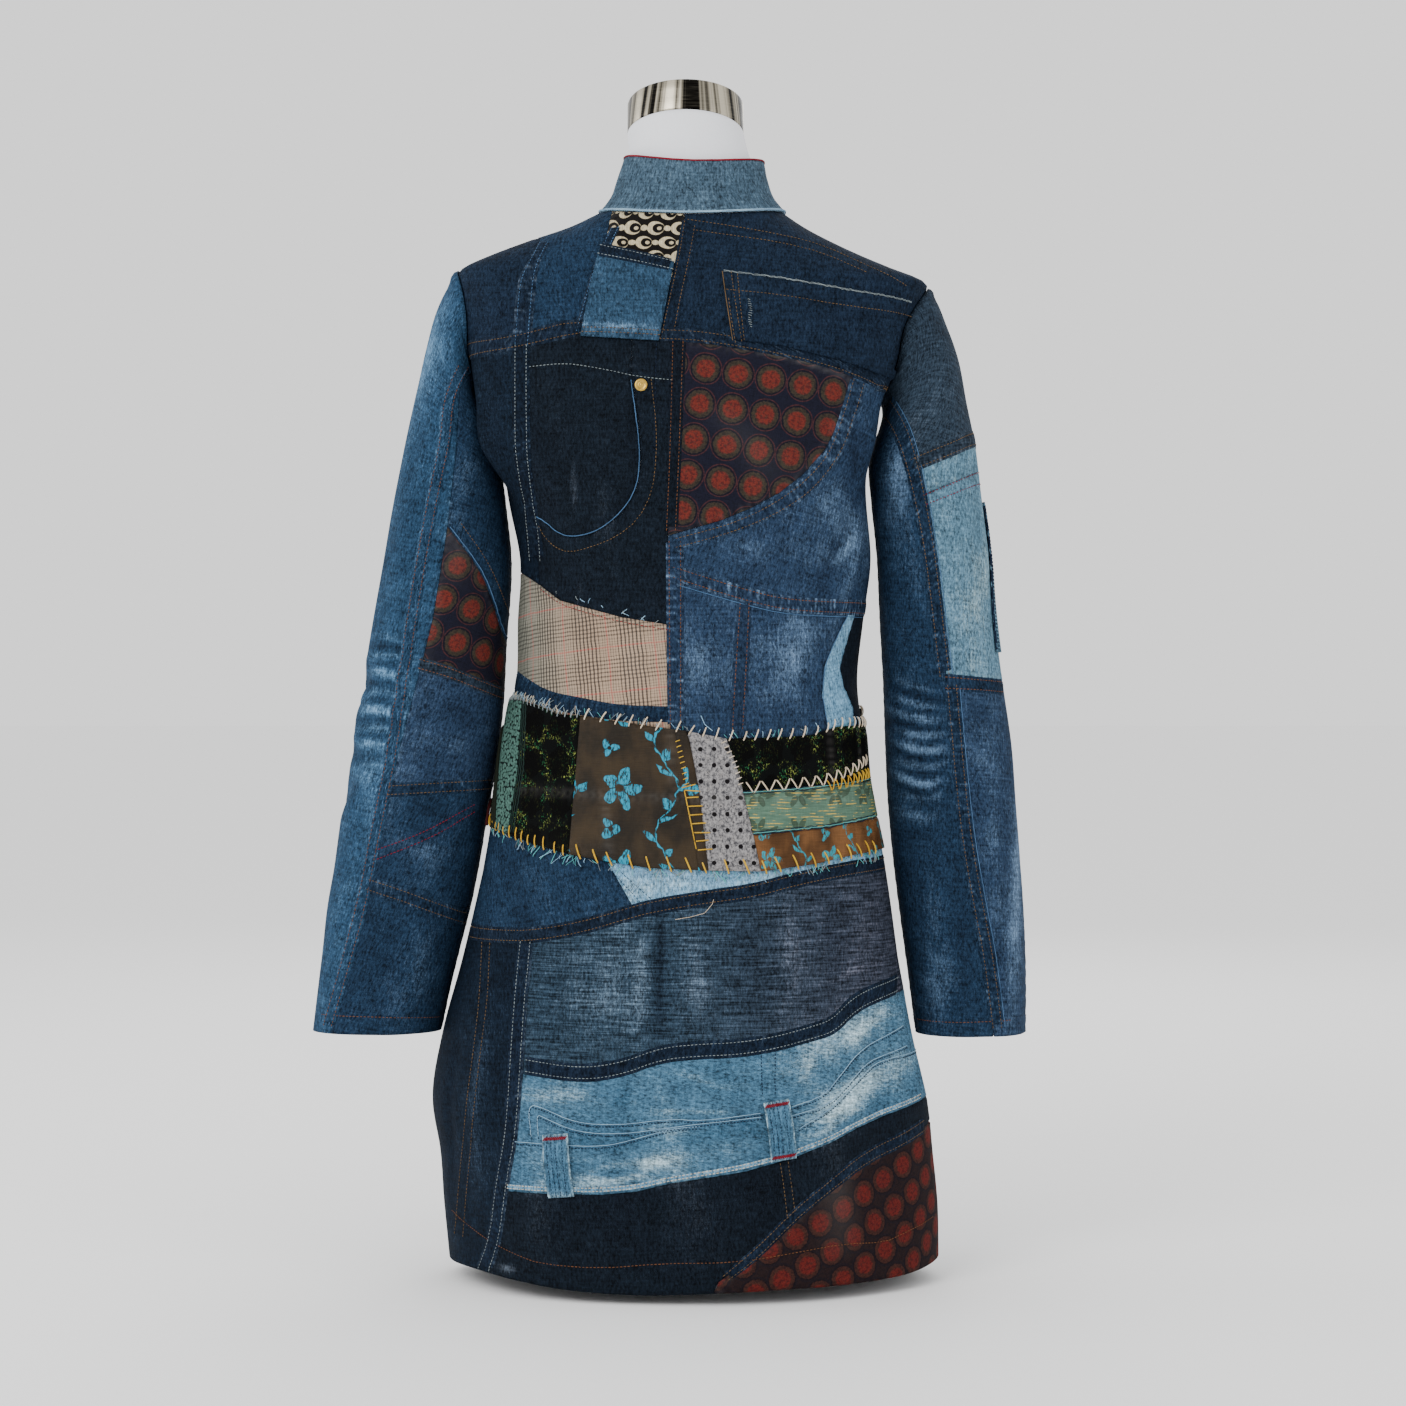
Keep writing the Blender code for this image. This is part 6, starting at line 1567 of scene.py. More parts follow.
def end_tree(tree, n, given, geometry, result):
    """Make the instances real, give them their thread, and end the tree."""
    real = n.add("GeometryNodeRealizeInstances", {"Geometry": geometry}).outputs[0]
    last = n.add("GeometryNodeSetMaterial", {"Geometry": real, "Material": given["Thread"]}).outputs[0]
    tree.links.new(last, result)
    return tree


def make_stitch_tree():
    """Rows of stitches along lines."""
    number = "NodeSocketFloat"
    tree, n, given, result = geometry_tree("stitch rows", [
        ("Pitch", number, 0.003), ("Length", number, 0.0024), ("Width", number, 0.0007), ("Height", number, 0.0006),
        ("Slant", number, 0.0), ("Jitter", number, 0.08), ("Seed", "NodeSocketInt", 3),
        ("Thread", "NodeSocketMaterial", None)])
    line = n.add("GeometryNodeMeshToCurve", {"Mesh": given["Geometry"]}).outputs[0]
    dots = n.add("GeometryNodeResampleCurve", {"Curve": line, "Length": given["Pitch"]}, mode="LENGTH").outputs[0]
    up = n.add("GeometryNodeInputNamedAttribute", {"Name": "up"}, data_type="FLOAT_VECTOR").outputs[0]
    along_row = n.add("GeometryNodeInputTangent").outputs[0]
    facing = n.add("FunctionNodeAxesToRotation", {0: up, 1: along_row}, primary_axis="Z", secondary_axis="X")
    chance = n.add("FunctionNodeRandomValue", {2: -1.0, 3: 1.0, "Seed": given["Seed"]}, data_type="FLOAT").outputs[1]
    lean = n.total(given["Slant"], n.times(chance, given["Jitter"]))
    swing = n.add("ShaderNodeCombineXYZ", {2: lean})
    swing = n.add("FunctionNodeEulerToRotation", {0: swing.outputs[0]}).outputs[0]
    turned = n.add("FunctionNodeRotateRotation", {0: facing.outputs[0], 1: swing}, rotation_space="LOCAL").outputs[0]
    ball = n.add("GeometryNodeMeshUVSphere", {"Segments": 6, "Rings": 4, "Radius": 0.5}).outputs[0]
    size = n.add("ShaderNodeCombineXYZ", {0: given["Length"], 1: given["Width"], 2: given["Height"]}).outputs[0]
    stitch = n.add("GeometryNodeTransform", {"Geometry": ball, "Scale": size}).outputs[0]
    smooth = n.add("GeometryNodeSetShadeSmooth", {"Geometry": stitch}).outputs[0]
    other = n.add("FunctionNodeRandomValue", {2: 0.82, 3: 1.12, "Seed": n.total(given["Seed"], 5)},
                  data_type="FLOAT").outputs[1]
    rows = n.add("GeometryNodeInstanceOnPoints", {"Points": dots, "Instance": smooth, "Rotation": turned,
        "Scale": other})
    return end_tree(tree, n, given, rows.outputs[0], result)


def make_thread_tree():
    """Round threads along lines."""
    tree, n, given, result = geometry_tree("threads", [
        ("Radius", "NodeSocketFloat", 0.0004), ("Sides", "NodeSocketInt", 6), ("Thread", "NodeSocketMaterial", None)])
    line = n.add("GeometryNodeMeshToCurve", {"Mesh": given["Geometry"]}).outputs[0]
    round_it = n.add("GeometryNodeCurvePrimitiveCircle", {"Resolution": given["Sides"], "Radius": given["Radius"]})
    tube = n.add("GeometryNodeCurveToMesh", {"Curve": line, "Profile Curve": round_it.outputs[0], "Fill Caps": True})
    smooth = n.add("GeometryNodeSetShadeSmooth", {"Geometry": tube.outputs[0]}).outputs[0]
    return end_tree(tree, n, given, smooth, result)


STITCH_TREE, THREAD_TREE = make_stitch_tree(), make_thread_tree()
print("trees:", STITCH_TREE.name, THREAD_TREE.name)

# %% From lines to a plain mesh
def line_mesh(name, lines):
    """Lines in space, with the way up at each point, as edges."""
    points, ups, edges = [], [], []
    for line, normal in lines:
        first = len(points)
        points += [tuple(p) for p in line]
        ups += [tuple(u) for u in normal]
        edges += [(first + k, first + k + 1) for k in range(len(line) - 1)]
    mesh = bpy.data.meshes.new(name)
    mesh.from_pydata(points, edges, [])
    mesh.attributes.new("up", "FLOAT_VECTOR", "POINT").data.foreach_set("vector", np.array(ups).ravel())
    return mesh


def grow(name, tree, lines, settings):
    """Run a tree over lines and keep the result as a plain piece."""
    seedling = into_scene(name + "_line", line_mesh(name + "_line", lines))
    modifier = seedling.modifiers.new("grow", "NODES")
    modifier.node_group = tree
    for socket in tree.interface.items_tree:
        if socket.in_out == "INPUT" and socket.name in settings:
            modifier[socket.identifier] = settings[socket.name]
    graph = bpy.context.evaluated_depsgraph_get()
    mesh = bpy.data.meshes.new_from_object(seedling.evaluated_get(graph))
    mesh.name = name
    for old in [a.name for a in mesh.attributes if a.name == "up"]:
        mesh.attributes.remove(mesh.attributes[old])
    seedling.modifiers.remove(modifier)
    bpy.data.objects.remove(seedling, do_unlink=True)
    piece = into_scene(name, mesh)
    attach(piece, "root")
    return piece


def thread_material(name, dark, light):
    """Twisted sewing thread."""
    def build(n):
        place = n.here()
        twist = n.cloud(place, 900.0, 2.0)
        patch = n.cloud(place, 60.0, 2.0)
        mixed = n.scaled(patch, 0.9, n.scaled(twist, 0.6, -0.25))
        return n.mix(mixed, dark, light), twist, None
    return shade_material(name, build, rough=0.75, bump=0.15)


THREADS = {key: thread_material(name, tone(*dark), tone(*light)) for key, name, dark, light in (
    ("tan", "tan thread", (78, 66, 48), (146, 122, 86)), ("orange", "orange thread", (88, 64, 46), (152, 108, 72)),
    ("white", "white thread", (92, 100, 108), (166, 172, 172)),
    ("cream", "cream thread", (178, 164, 142), (230, 220, 202)),
    ("yellow", "yellow thread", (160, 122, 40), (220, 184, 84)), ("red", "red thread", (96, 22, 34), (166, 46, 62)),
    ("faded", "worn edge", (40, 62, 86), (116, 150, 176)), ("navy", "navy thread", (18, 26, 44), (48, 62, 88)),
    ("sky", "sky thread", (96, 140, 168), (176, 206, 220)),
    ("lime", "turquoise thread", (60, 130, 138), (140, 196, 196)))}
SEWN = {}


def sew_plan(colour, wall, line, out=0.3, pitch=3.0, heavy=1.0):
    """Keep a row of stitches for later: a line on the plan."""
    line = even(line, 2.0)
    points, normals = wall.place(line, out)
    SEWN.setdefault((colour, pitch, heavy), []).append((points, normals))


def sew(colour, wall, line, out=0.3, pitch=3.0, heavy=1.0):
    """Keep a row of stitches that is drawn on the back."""
    sew_plan(colour, wall, wall.on_plan(rounded(line, 1)), out, pitch, heavy)


print("threads:", sorted(THREADS))

# %% [markdown]
# ## Felled seams
# A felled seam folds both edges into each other, so it is four layers thick and stands up as a strip between
# its two rows of stitches. It puckers as it is washed, and the puckers rub pale like a rope. Each strip is a
# closed ribbon swept along the two drawn rows, with its height and wear rippling along it.

# %% The felled strip
def moved(line, x, z):
    """A drawn line moved sideways and up."""
    return tuple((a + x, b + z) for a, b in line)


SECTION = ((-0.30, -0.9), (-0.28, 0.25), (0.0, 0.62), (0.22, 0.92), (0.5, 1.0), (0.78, 0.92), (1.0, 0.62),
    (1.28, 0.25), (1.30, -0.9))


def ribbon(name, wall, first, second, material, high=0.85, base=0.0, rub=0.9, seed=1.0, dark=0.0,
           edges=(0.25, 0.25)):
    """A closed strip over two lines on the plan."""
    count = max(4, int(np.linalg.norm(np.diff(first, axis=0), axis=1).sum() / 2.4))
    a = even(first, np.linalg.norm(np.diff(first, axis=0), axis=1).sum() / count)[:count]
    b = even(second, np.linalg.norm(np.diff(second, axis=0), axis=1).sum() / count)[:count]
    share = np.array([s for s, _ in SECTION])
    lift = np.array([h for _, h in SECTION])
    plan = a[:, None, :] + (b - a)[:, None, :] * share[None, :, None]
    run = np.arange(count)[:, None] * 2.4
    rope = 0.5 + 0.5 * np.sin(run * 1.05 + 2.2 * ripple(run * 0.2, seed) + 1.4 * (share[None, :] > 0.5))
    height = np.where(lift > 0, lift * high * (0.82 + 0.30 * rope), lift)
    points, _ = wall.place(plan, base + height)
    first_edge = bell((share[None, :] + 0.2) / 0.16)
    last_edge = bell((share[None, :] - 1.2) / 0.16)
    patchy = 0.6 + 0.4 * ripple(run * 0.5, seed + 2.0)
    wear = rub * (0.04 + 0.60 * rope**3 * patchy) + edges[0] * first_edge + edges[1] * last_edge
    # painted shade: darker in the troughs between the puckers; dark darkens the whole strip
    shade = 0.30 * (1 - rope) * patchy + dark
    across = len(SECTION)
    faces = []
    for r in range(count - 1):
        for c in range(across):
            d = (c + 1) % across
            faces.append((r * across + c, (r + 1) * across + c, (r + 1) * across + d, r * across + d))
    faces += [tuple(range(across)), tuple(range(count * across - 1, (count - 1) * across - 1, -1))]
    flat = wall.flat(plan.reshape(-1, 2))
    mesh = mesh_from(name, points.reshape(-1, 3), faces, flat - flat.mean(axis=0),
        np.broadcast_to(wear, rope.shape).ravel(), np.broadcast_to(shade, rope.shape).ravel())
    shape = bmesh.new()
    shape.from_mesh(mesh)
    bmesh.ops.recalc_face_normals(shape, faces=shape.faces)
    shape.to_mesh(mesh)
    shape.free()
    return add_piece(name, mesh, material)


STRIPS = {}


def felled(name, wall, first, second, thread, material, high=0.85, base=0.0, rub=0.9, dark=0.4,
        edges=(0.2, 0.2)):
    """A felled seam: its strip and its two rows of stitches."""
    a, b = wall.on_plan(rounded(first, 2)), wall.on_plan(rounded(second, 2))
    STRIPS[name] = ribbon(name, wall, a, b, material, high, base, rub, len(STRIPS) + 1.0, dark, edges)
    for line in (a, b):
        sew_plan(thread, wall, line, base + 0.72 * high)


print("points across a strip:", len(SECTION))

# %% Felled seams of the yoke
felled("strip_yoke_left", body, ((-120, 837), (-127, 820), (-135, 804), (-138, 753)),
       ((-114, 837), (-121, 820), (-125, 803), (-128, 752)), "faded", INK, rub=1.1, edges=(0.45, 0.3),
       dark=0.2)
felled("strip_yoke_middle", body, ((-62, 848), (-68, 834), (-76, 812), (-82, 787), (-89, 762)),
    ((-57, 848), (-63, 834), (-71, 812), (-76, 787), (-83, 762)), "faded", INK, rub=0.9,
    edges=(0.45, 0.3), dark=0.2)
felled("strip_yoke_right", body, ((-4, 852), (-9, 818), (-16, 786), (-22, 757)),
       ((4, 848), (-1, 818), (-7, 790), (-12, 762)), "tan", INK, rub=0.5)
felled("strip_yoke_base_left", body, ((-179, 757), (-159, 757), (-138, 759), (-118, 763), (-99, 768), (-84, 768)),
       ((-177, 747), (-138, 750), (-118, 754), (-99, 758), (-86, 760)), "tan", INK, rub=1.1)
felled("strip_yoke_base_right", body, ((-23, 762), (5, 761), (32, 757), (73, 751), (122, 740), (161, 729)),
       ((-23, 755), (5, 754), (33, 750), (90, 740), (130, 729), (157, 719)), "tan", INK, rub=1.2)
for line in (((-1, 854), (33, 849), (73, 843), (107, 836), (145, 817), (173, 803)),
             ((0, 846), (33, 841), (72, 836), (107, 828), (140, 812))):
    sew("tan", body, line)
print("strips of the yoke:", len(STRIPS))

# %% Felled seams of the middle back
felled("strip_side", body, ((-138, 751), (-138, 695), (-138, 666), (-132, 625), (-129, 584)),
    ((-129, 751), (-129, 695), (-129, 665), (-124, 620), (-121, 583)), "white", NAVY, rub=0.8,
    edges=(0.1, 0.2))
felled("strip_centre_upper", body, ((-13, 752), (-15, 668), (-18, 605)), ((-5, 752), (-8, 668), (-11, 605)), "orange",
       BLACK, rub=0.3)
felled("strip_spots", body,
       ((130, 724), (119, 687), (109, 663), (91, 643), (72, 629), (51, 617), (26, 607), (-10, 598)),
       ((138, 721), (127, 683), (115, 659), (97, 637), (76, 622), (54, 611), (28, 601), (-10, 591)), "tan", FADED,
       rub=1.0, edges=(0.2, 0.35))
felled("strip_rib", body, ((-12, 575), (42, 558), (81, 549), (144, 549)),
    ((-12, 567), (41, 550), (81, 541), (143, 541)), "orange", FADED, rub=1.3, edges=(0.3, 0.4))
felled("strip_centre_lower", body, ((-16, 595), (-16, 549), (-15, 449)), ((-7, 595), (-7, 549), (-7, 449)), "orange",
       FADED, rub=1.0)
felled("strip_middle", body, ((40, 546), (37, 502), (34, 448)), ((47, 546), (45, 502), (42, 448)), "orange", FADED,
       rub=0.4)
felled("strip_check_base", body, ((-141, 491), (-134, 486), (-114, 475), (-88, 470), (-56, 464), (-15, 463)),
    ((-143, 480), (-134, 474), (-114, 466), (-88, 461), (-56, 456), (-15, 455)), "navy", NIGHT, rub=0.7)
sew("white", body, ((-126, 734), (-98, 736), (-79, 733), (-59, 729), (-42, 725), (-14, 722)))
sew("tan", body, ((-30, 722), (-26, 687), (-26, 662), (-29, 635), (-40, 613), (-58, 599), (-80, 591), (-96, 588),
                  (-107, 592), (-117, 602), (-121, 609)))
sew("navy", body, ((-26, 750), (-27, 700), (-28, 660)), pitch=3.4)
sew("red", body, ((-119, 559), (-104, 547), (-87, 541), (-54, 532), (-18, 526)), pitch=3.4)
print("strips:", len(STRIPS))

# %% Felled seams of the skirt
felled("strip_hip", body, ((-178, 286), (-128, 287), (-82, 296), (-44, 308), (-23, 313), (15, 319), (52, 324),
    (82, 332), (129, 340), (158, 342)), ((-178, 278), (-128, 279), (-82, 288), (-44, 300), (-23, 305), (14, 311),
    (53, 316), (83, 324), (129, 332), (158, 334)), "tan", INK, rub=0.9)
felled("strip_skirt_left", body, ((-135, 278), (-140, 208), (-144, 131), (-152, 92), (-158, 44), (-168, 18)),
    ((-127, 278), (-132, 208), (-136, 132), (-144, 93), (-150, 45), (-159, 18)), "white", INK, rub=0.8,
    edges=(0.1, 0.55))
felled("strip_slub_base", body, ((-128, 187), (-85, 182), (-52, 187), (-22, 199), (9, 202), (36, 203), (67, 207),
    (97, 214), (112, 218), (128, 233), (144, 240), (168, 246)), ((-128, 178), (-84, 173), (-52, 178), (-22, 190),
    (9, 193), (37, 194), (67, 198), (97, 205), (114, 209), (130, 223), (145, 230), (167, 236)), "white", INK,
    rub=0.7)
felled("strip_corner", body, ((188, 131), (163, 121), (140, 113), (119, 101), (102, 88), (83, 74), (55, 47),
    (27, 24)), ((188, 123), (163, 113), (140, 105), (119, 93), (101, 80), (83, 66), (55, 39), (31, 21)), "tan", INK)
for line in (((-167, 275), (-168, 232), (-172, 192), (-180, 126), (-186, 84), (-190, 40)),
             ((-160, 275), (-161, 232), (-165, 192), (-172, 126), (-178, 84), (-182, 40))):
    sew("tan", body, line)
for line in (((71, 109), (74, 89), (78, 54)), ((77, 110), (80, 89), (83, 66))):
    sew("tan", body, line)
for line in (((25, 34), (53, 36), (90, 41), (119, 44), (155, 41), (170, 46), (196, 53)),
             ((-193, 57), (-184, 53), (-158, 41), (-136, 34), (-116, 29), (-70, 28), (-22, 33), (25, 34))):
    sew("orange", body, line)
print("strips:", len(STRIPS))

# %% Lines on the sky and bleached pieces
for line in (((-60, 334), (-39, 312)), ((-53, 334), (-29, 313))):
    sew("navy", body, line)
POCKET_LINES = (((-124, 126), (-127, 151), (-115, 149), (-89, 138), (-54, 137), (-14, 143), (8, 141), (56, 147)),
                ((-118, 127), (-120, 144), (-113, 141), (-88, 131), (-54, 130), (-14, 136), (8, 139), (56, 144)),
                ((-137, 121), (-114, 121), (-68, 120), (-41, 127), (-14, 135), (8, 137)))
WAVY_LINES = (((80, 151), (105, 158), (120, 174), (136, 192), (172, 206)),
              ((80, 144), (109, 151), (127, 167), (142, 182), (175, 190)),
              ((86, 134), (114, 150), (134, 169), (152, 182), (184, 184)),
              ((56, 195), (57, 164)), ((67, 196), (67, 164)))
for line in POCKET_LINES + WAVY_LINES:
    sew("navy", body, line, 0.3, 2.6, 1.3)
SELVEDGE = ((-143, 88), (-109, 89), (-68, 90), (-41, 93), (-14, 100), (44, 109), (83, 119), (112, 129), (134, 138),
            (160, 146), (186, 152))
felled("selvedge", body, SELVEDGE, moved(SELVEDGE, 0, -2.5), "cream", SKY, high=0.5, rub=1.2)
print("strips:", len(STRIPS))

# %% Felled seams of the sleeves
LEFT_LONG = ((-179, 738), (-190, 712), (-193, 679), (-202, 639), (-213, 584), (-226, 503), (-238, 422), (-250, 366),
             (-262, 308), (-277, 252), (-291, 206))
felled("strip_left_long", left, LEFT_LONG, moved(LEFT_LONG, -7, 0), "orange", WASHED, rub=0.6,
    edges=(0.1, 0.3), dark=0.25)
felled("strip_spots_base", left, ((-217, 503), (-193, 496), (-170, 486), (-154, 479)),
       ((-218, 496), (-193, 489), (-170, 479), (-154, 472)), "orange", SLATE, rub=0.4)
felled("strip_slate", left, ((-242, 401), (-210, 403), (-164, 405)), ((-243, 394), (-210, 396), (-164, 398)), "tan",
    NIGHT, rub=0.8)
felled("strip_felled_left", left, ((-259, 325), (-230, 316), (-203, 305), (-184, 296)),
       ((-261, 317), (-231, 308), (-204, 297), (-185, 288)), "tan", NIGHT, rub=1.0)
for line in (((-254, 349), (-226, 359), (-202, 370), (-176, 385)), ((-252, 342), (-224, 353), (-200, 364),
        (-176, 379))):
    sew("red", left, line)
sew("tan", left, ((-184, 612), (-167, 588), (-158, 570), (-151, 550), (-147, 534)))
sew("orange", left, ((-300, 214), (-260, 214), (-229, 213), (-206, 211)))
felled("strip_right_top", right, ((178, 664), (205, 675), (235, 690)), ((180, 656), (207, 667), (236, 681)), "tan",
    SLATE, rub=1.0)
for line in (((185, 634), (210, 644), (237, 657)), ((188, 627), (211, 636), (239, 648))):
    sew("red", right, line)
felled("strip_mint_base", right, ((207, 489), (231, 487), (256, 485)), ((207, 480), (231, 479), (256, 477)), "orange",
       NIGHT, rub=0.6)
felled("strip_right_inseam_upper", right, ((163, 712), (175, 689), (186, 648), (196, 599), (203, 543), (209, 492)),
       ((156, 706), (168, 683), (179, 645), (189, 597), (196, 542), (202, 490)), "tan", NIGHT, rub=1.0)
LOWER_INSEAM = ((215, 482), (220, 425), (226, 366), (236, 309), (246, 260), (253, 205))
felled("strip_right_inseam_lower", right, LOWER_INSEAM, moved(LOWER_INSEAM, -7, 0), "tan", NIGHT,
    rub=1.0)
sew("orange", right, ((187, 209), (219, 209), (260, 210)))
print("strips:", len(STRIPS))

# %% [markdown]
# ## The waist band
# The band is crazy quilting: scraps of brocade, lurex and chenille laid side by side over the seam of the
# waist, held by thick hand stitches with their ends left to fray. Machine stitches would be even, so these
# are laid one by one as short round threads, each with its own small error.

# %% Threads laid by hand
LAID_THREADS = {}


def lay(colour, radius, wall, plan, out):
    """Keep one thread for later: a line on the plan and its height above the cloth."""
    points, normals = wall.place(np.asarray(plan, dtype=float), out)
    LAID_THREADS.setdefault((colour, radius), []).append((points, normals))


def hand_stitch(colour, wall, start, end, base, radius=0.6, bow=0.9):
    """One thick stitch that goes in at both ends."""
    t = np.linspace(0, 1, 7)[:, None]
    line = np.asarray(start) * (1 - t) + np.asarray(end) * t
    lay(colour, radius, wall, line, base - 0.5 + (0.5 + bow) * np.sin(np.pi * t[:, 0]) ** 0.5)


def whip(colour, line, pitch, lean, inward, outward, base, radius=0.6):
    """Slanting stitches over an edge that is drawn on the back."""
    edge = even(body.on_plan(line), 1.0)
    here = pitch * 0.5
    while here < len(edge) - 2:
        spot = edge[int(here)]
        reach_in = inward * dice.uniform(0.8, 1.2)
        shift = lean * dice.uniform(0.7, 1.3)
        hand_stitch(colour, body, spot + (shift, reach_in), spot + (-shift, -outward), base, radius)
        here += pitch * dice.uniform(0.82, 1.2)


def frayed(colours, line, count, length, spread_out, base, down):
    """Loose thread ends along an edge that is drawn on the back."""
    edge = even(body.on_plan(line), 1.0)
    for _ in range(count):
        spot = edge[dice.randrange(len(edge))]
        long, lean, curl = length * dice.uniform(0.4, 1.3), dice.uniform(-1, 1) * spread_out, dice.uniform(-1, 1)
        t = np.linspace(0, 1, 7)
        x = spot[0] + long * (lean * t + 0.5 * curl * np.sin(2.2 * t) * t)
        z = spot[1] + long * t * down * (1 - 0.35 * abs(curl) * t)
        lay(dice.choice(colours), dice.choice((0.2, 0.3)), body, pair(x, z), base + 1.2 * np.sin(2.6 * t))


BAND_TOP = ((-145, 469), (-139, 471), (-120, 466), (-104, 459), (-86, 458), (-59, 454), (-33, 450), (-3, 446),
    (29, 440), (76, 441), (99, 444), (117, 449), (135, 450), (146, 451))
BAND_BASE = ((-161, 370), (-146, 363), (-122, 355), (-94, 348), (-66, 342), (-32, 338), (14, 336), (56, 335),
    (98, 340), (128, 346), (151, 349))
print("band top:", len(BAND_TOP), "points")

# %% Stitches of the band
whip("cream", BAND_TOP[4:8], 13.5, 2.2, 6.5, 2.5, BAND_OUT)
whip("cream", BAND_TOP[7:], 11.5, 2.0, 6.0, 2.0, BAND_OUT)
whip("white", BAND_TOP[:5], 7.0, 1.0, 3.5, 2.0, BAND_OUT, 0.5)
whip("yellow", BAND_BASE[:4], 9.0, -0.6, 7.0, 2.0, BAND_OUT)
whip("yellow", BAND_BASE[3:], 14.0, -2.0, 8.0, 2.0, BAND_OUT, 0.7)
frayed(("white", "sky", "cream"), BAND_TOP[:5], 90, 6.5, 0.9, 0.8, 1.0)
frayed(("white", "sky", "lime"), BAND_TOP[4:], 56, 6.0, 1.2, 0.6, 1.0)
frayed(("lime", "sky", "white", "lime"), BAND_BASE, 150, 8.5, 1.0, 0.5, -1.0)
RUNG_TOP, RUNG_BASE = np.array((-4.0, 399.0)), np.array((5.5, 352.0))
ladder = body.on_plan((RUNG_TOP, RUNG_BASE), step=1.0)
for k in range(8):
    spot = ladder[int(k / 7 * (len(ladder) - 1))]
    hand_stitch("yellow", body, spot, spot + (dice.uniform(11, 14), dice.uniform(-1.2, 1.2)), BAND_OUT, 0.55)
    if k < 7:
        hand_stitch("yellow", body, spot, ladder[int((k + 1) / 7 * (len(ladder) - 1))], BAND_OUT, 0.5, 0.5)
hand_stitch("yellow", body, ladder[0] + (-2, 2), ladder[0] + (10, 5), BAND_OUT, 0.5)


def zigzag(colour, line, period, tall, base, radius=0.6):
    """Separate stitches that stand as teeth along a drawn line."""
    middle = even(body.on_plan(line), period / 2)
    for k in range(len(middle) - 1):
        up = 1 if k % 2 else -1
        hand_stitch(colour, body, middle[k] + (0.6, -up * tall), middle[k + 1] + (-0.6, up * tall), base, radius)


zigzag("cream", ((44, 401), (72, 403), (104, 406), (126, 413), (141, 422)), 13.0, 4.2, BAND_OUT)
zigzag("yellow", ((108, 402), (122, 404), (143, 411)), 10.0, 4.2, BAND_OUT + 0.4, 0.55)
for line, colour in ((((27, 437), (36, 420), (40, 404)), "cream"), (((-9, 438), (-5, 420), (-2, 404)), "yellow")):
    for spot in even(body.on_plan(line), 4.6):
        hand_stitch(colour, body, spot + (-2.2, -0.8), spot + (2.2, 0.9), BAND_OUT, 0.4, 0.5)
for line in (((42, 397), (90, 400), (146, 406)), ((50, 365), (110, 370), (148, 376))):
    for shift in (-1.2, 0.0, 1.1):
        plan = body.on_plan(line) + (0, shift)
        wiggle = 0.7 * ripple(plan[:, 0] * 0.9, shift + 2)
        lay("navy" if shift else "lime", 0.3, body, plan + pair(0 * wiggle, wiggle), BAND_OUT + 0.25)
print("hand stitches:", sum(len(v) for v in LAID_THREADS.values()))

# %% Stray threads and marks
lay("cream", 0.2, body, rounded(body.on_plan(((-11, 298), (1, 300), (12, 303), (18, 310), (20, 317))), 2), 0.6)
lay("sky", 0.35, body, rounded(body.on_plan(((9, 458), (12, 451), (18, 446))), 2), 2.0)
lay("sky", 0.24, body, rounded(body.on_plan(((-40, 336), (-43, 326), (-48, 318))), 2), 0.7)
lay("sky", 0.24, body, rounded(body.on_plan(((-36, 336), (-37, 328), (-44, 320))), 2), 0.7)
for k, spot in enumerate(even(body.on_plan(((47, 786), (48.5, 777), (47, 771), (48.5, 764))), 1.9)):
    half = 0.5 + 0.9 * abs(math.sin(2.3 * k + 0.5))
    hand_stitch("white", body, spot + (-half, 0.3), spot + (half, -0.4), BAND_OUT, 0.26, 0.4)
for line, count in ((((-51, 756), (-44, 758), (-38, 754)), 14), (((-120, 560), (-20, 528)), 12)):
    frayed(("sky", "white"), line, count, 3.5, 1.4, 0.5, 1.0)
WORN_EDGES = ((body, ((-46, 722), (-42, 694), (-39, 668), (-40, 644), (-47, 627), (-61, 612), (-76, 603), (-93, 600),
    (-104, 603), (-114, 612), (-122, 617)), 0.5, 0.42), (body, ((-12, 562), (42, 546), (80, 537.5), (140, 537.5)),
    0.3, 0.32), (body, ((131, 546), (116, 517), (108, 497), (106, 475), (110, 452)), 0.2, 0.35),
    (left, ((-180, 736), (-192, 712), (-195.5, 679), (-204.5, 639), (-215.5, 584), (-228.5, 503), (-240.5, 422),
    (-252.5, 366), (-264.5, 308), (-279.5, 252), (-293.5, 206)), 0.35, 0.42),
    (left, ((-193, 610), (-173.5, 584), (-165.5, 570), (-158.5, 550), (-153.5, 530), (-147, 510)), 0.3, 0.4),
    (right, ((167, 711), (178.5, 688), (189.5, 647), (199, 598), (206, 543), (212, 492)), 0.3, 0.32),
    (right, ((218, 480), (223, 425), (229, 366), (239, 309), (249, 260), (256, 205)), 0.3, 0.32), )
WORN_EDGES += tuple((body, [(x, z + 1.8) for x, z in line], 0.3, 0.3) for line in POCKET_LINES + WAVY_LINES[:3])
for wall, line, out, thick in WORN_EDGES:
    path = even(wall.on_plan(rounded(line, 2)), 1.5)
    wander = 0.18 * ripple(np.arange(len(path)) * 0.8, len(path) * 0.1)
    lay("faded" if thick != 0.3 or wall is not body else "sky", thick, wall, path + pair(wander, 0 * wander), out)
print("threads laid:", sum(len(v) for v in LAID_THREADS.values()))

# %% Braid at the left end of the band
def between_lines(first, second):
    """An outline between two lines that run the same way."""
    return list(first) + list(second)[::-1]


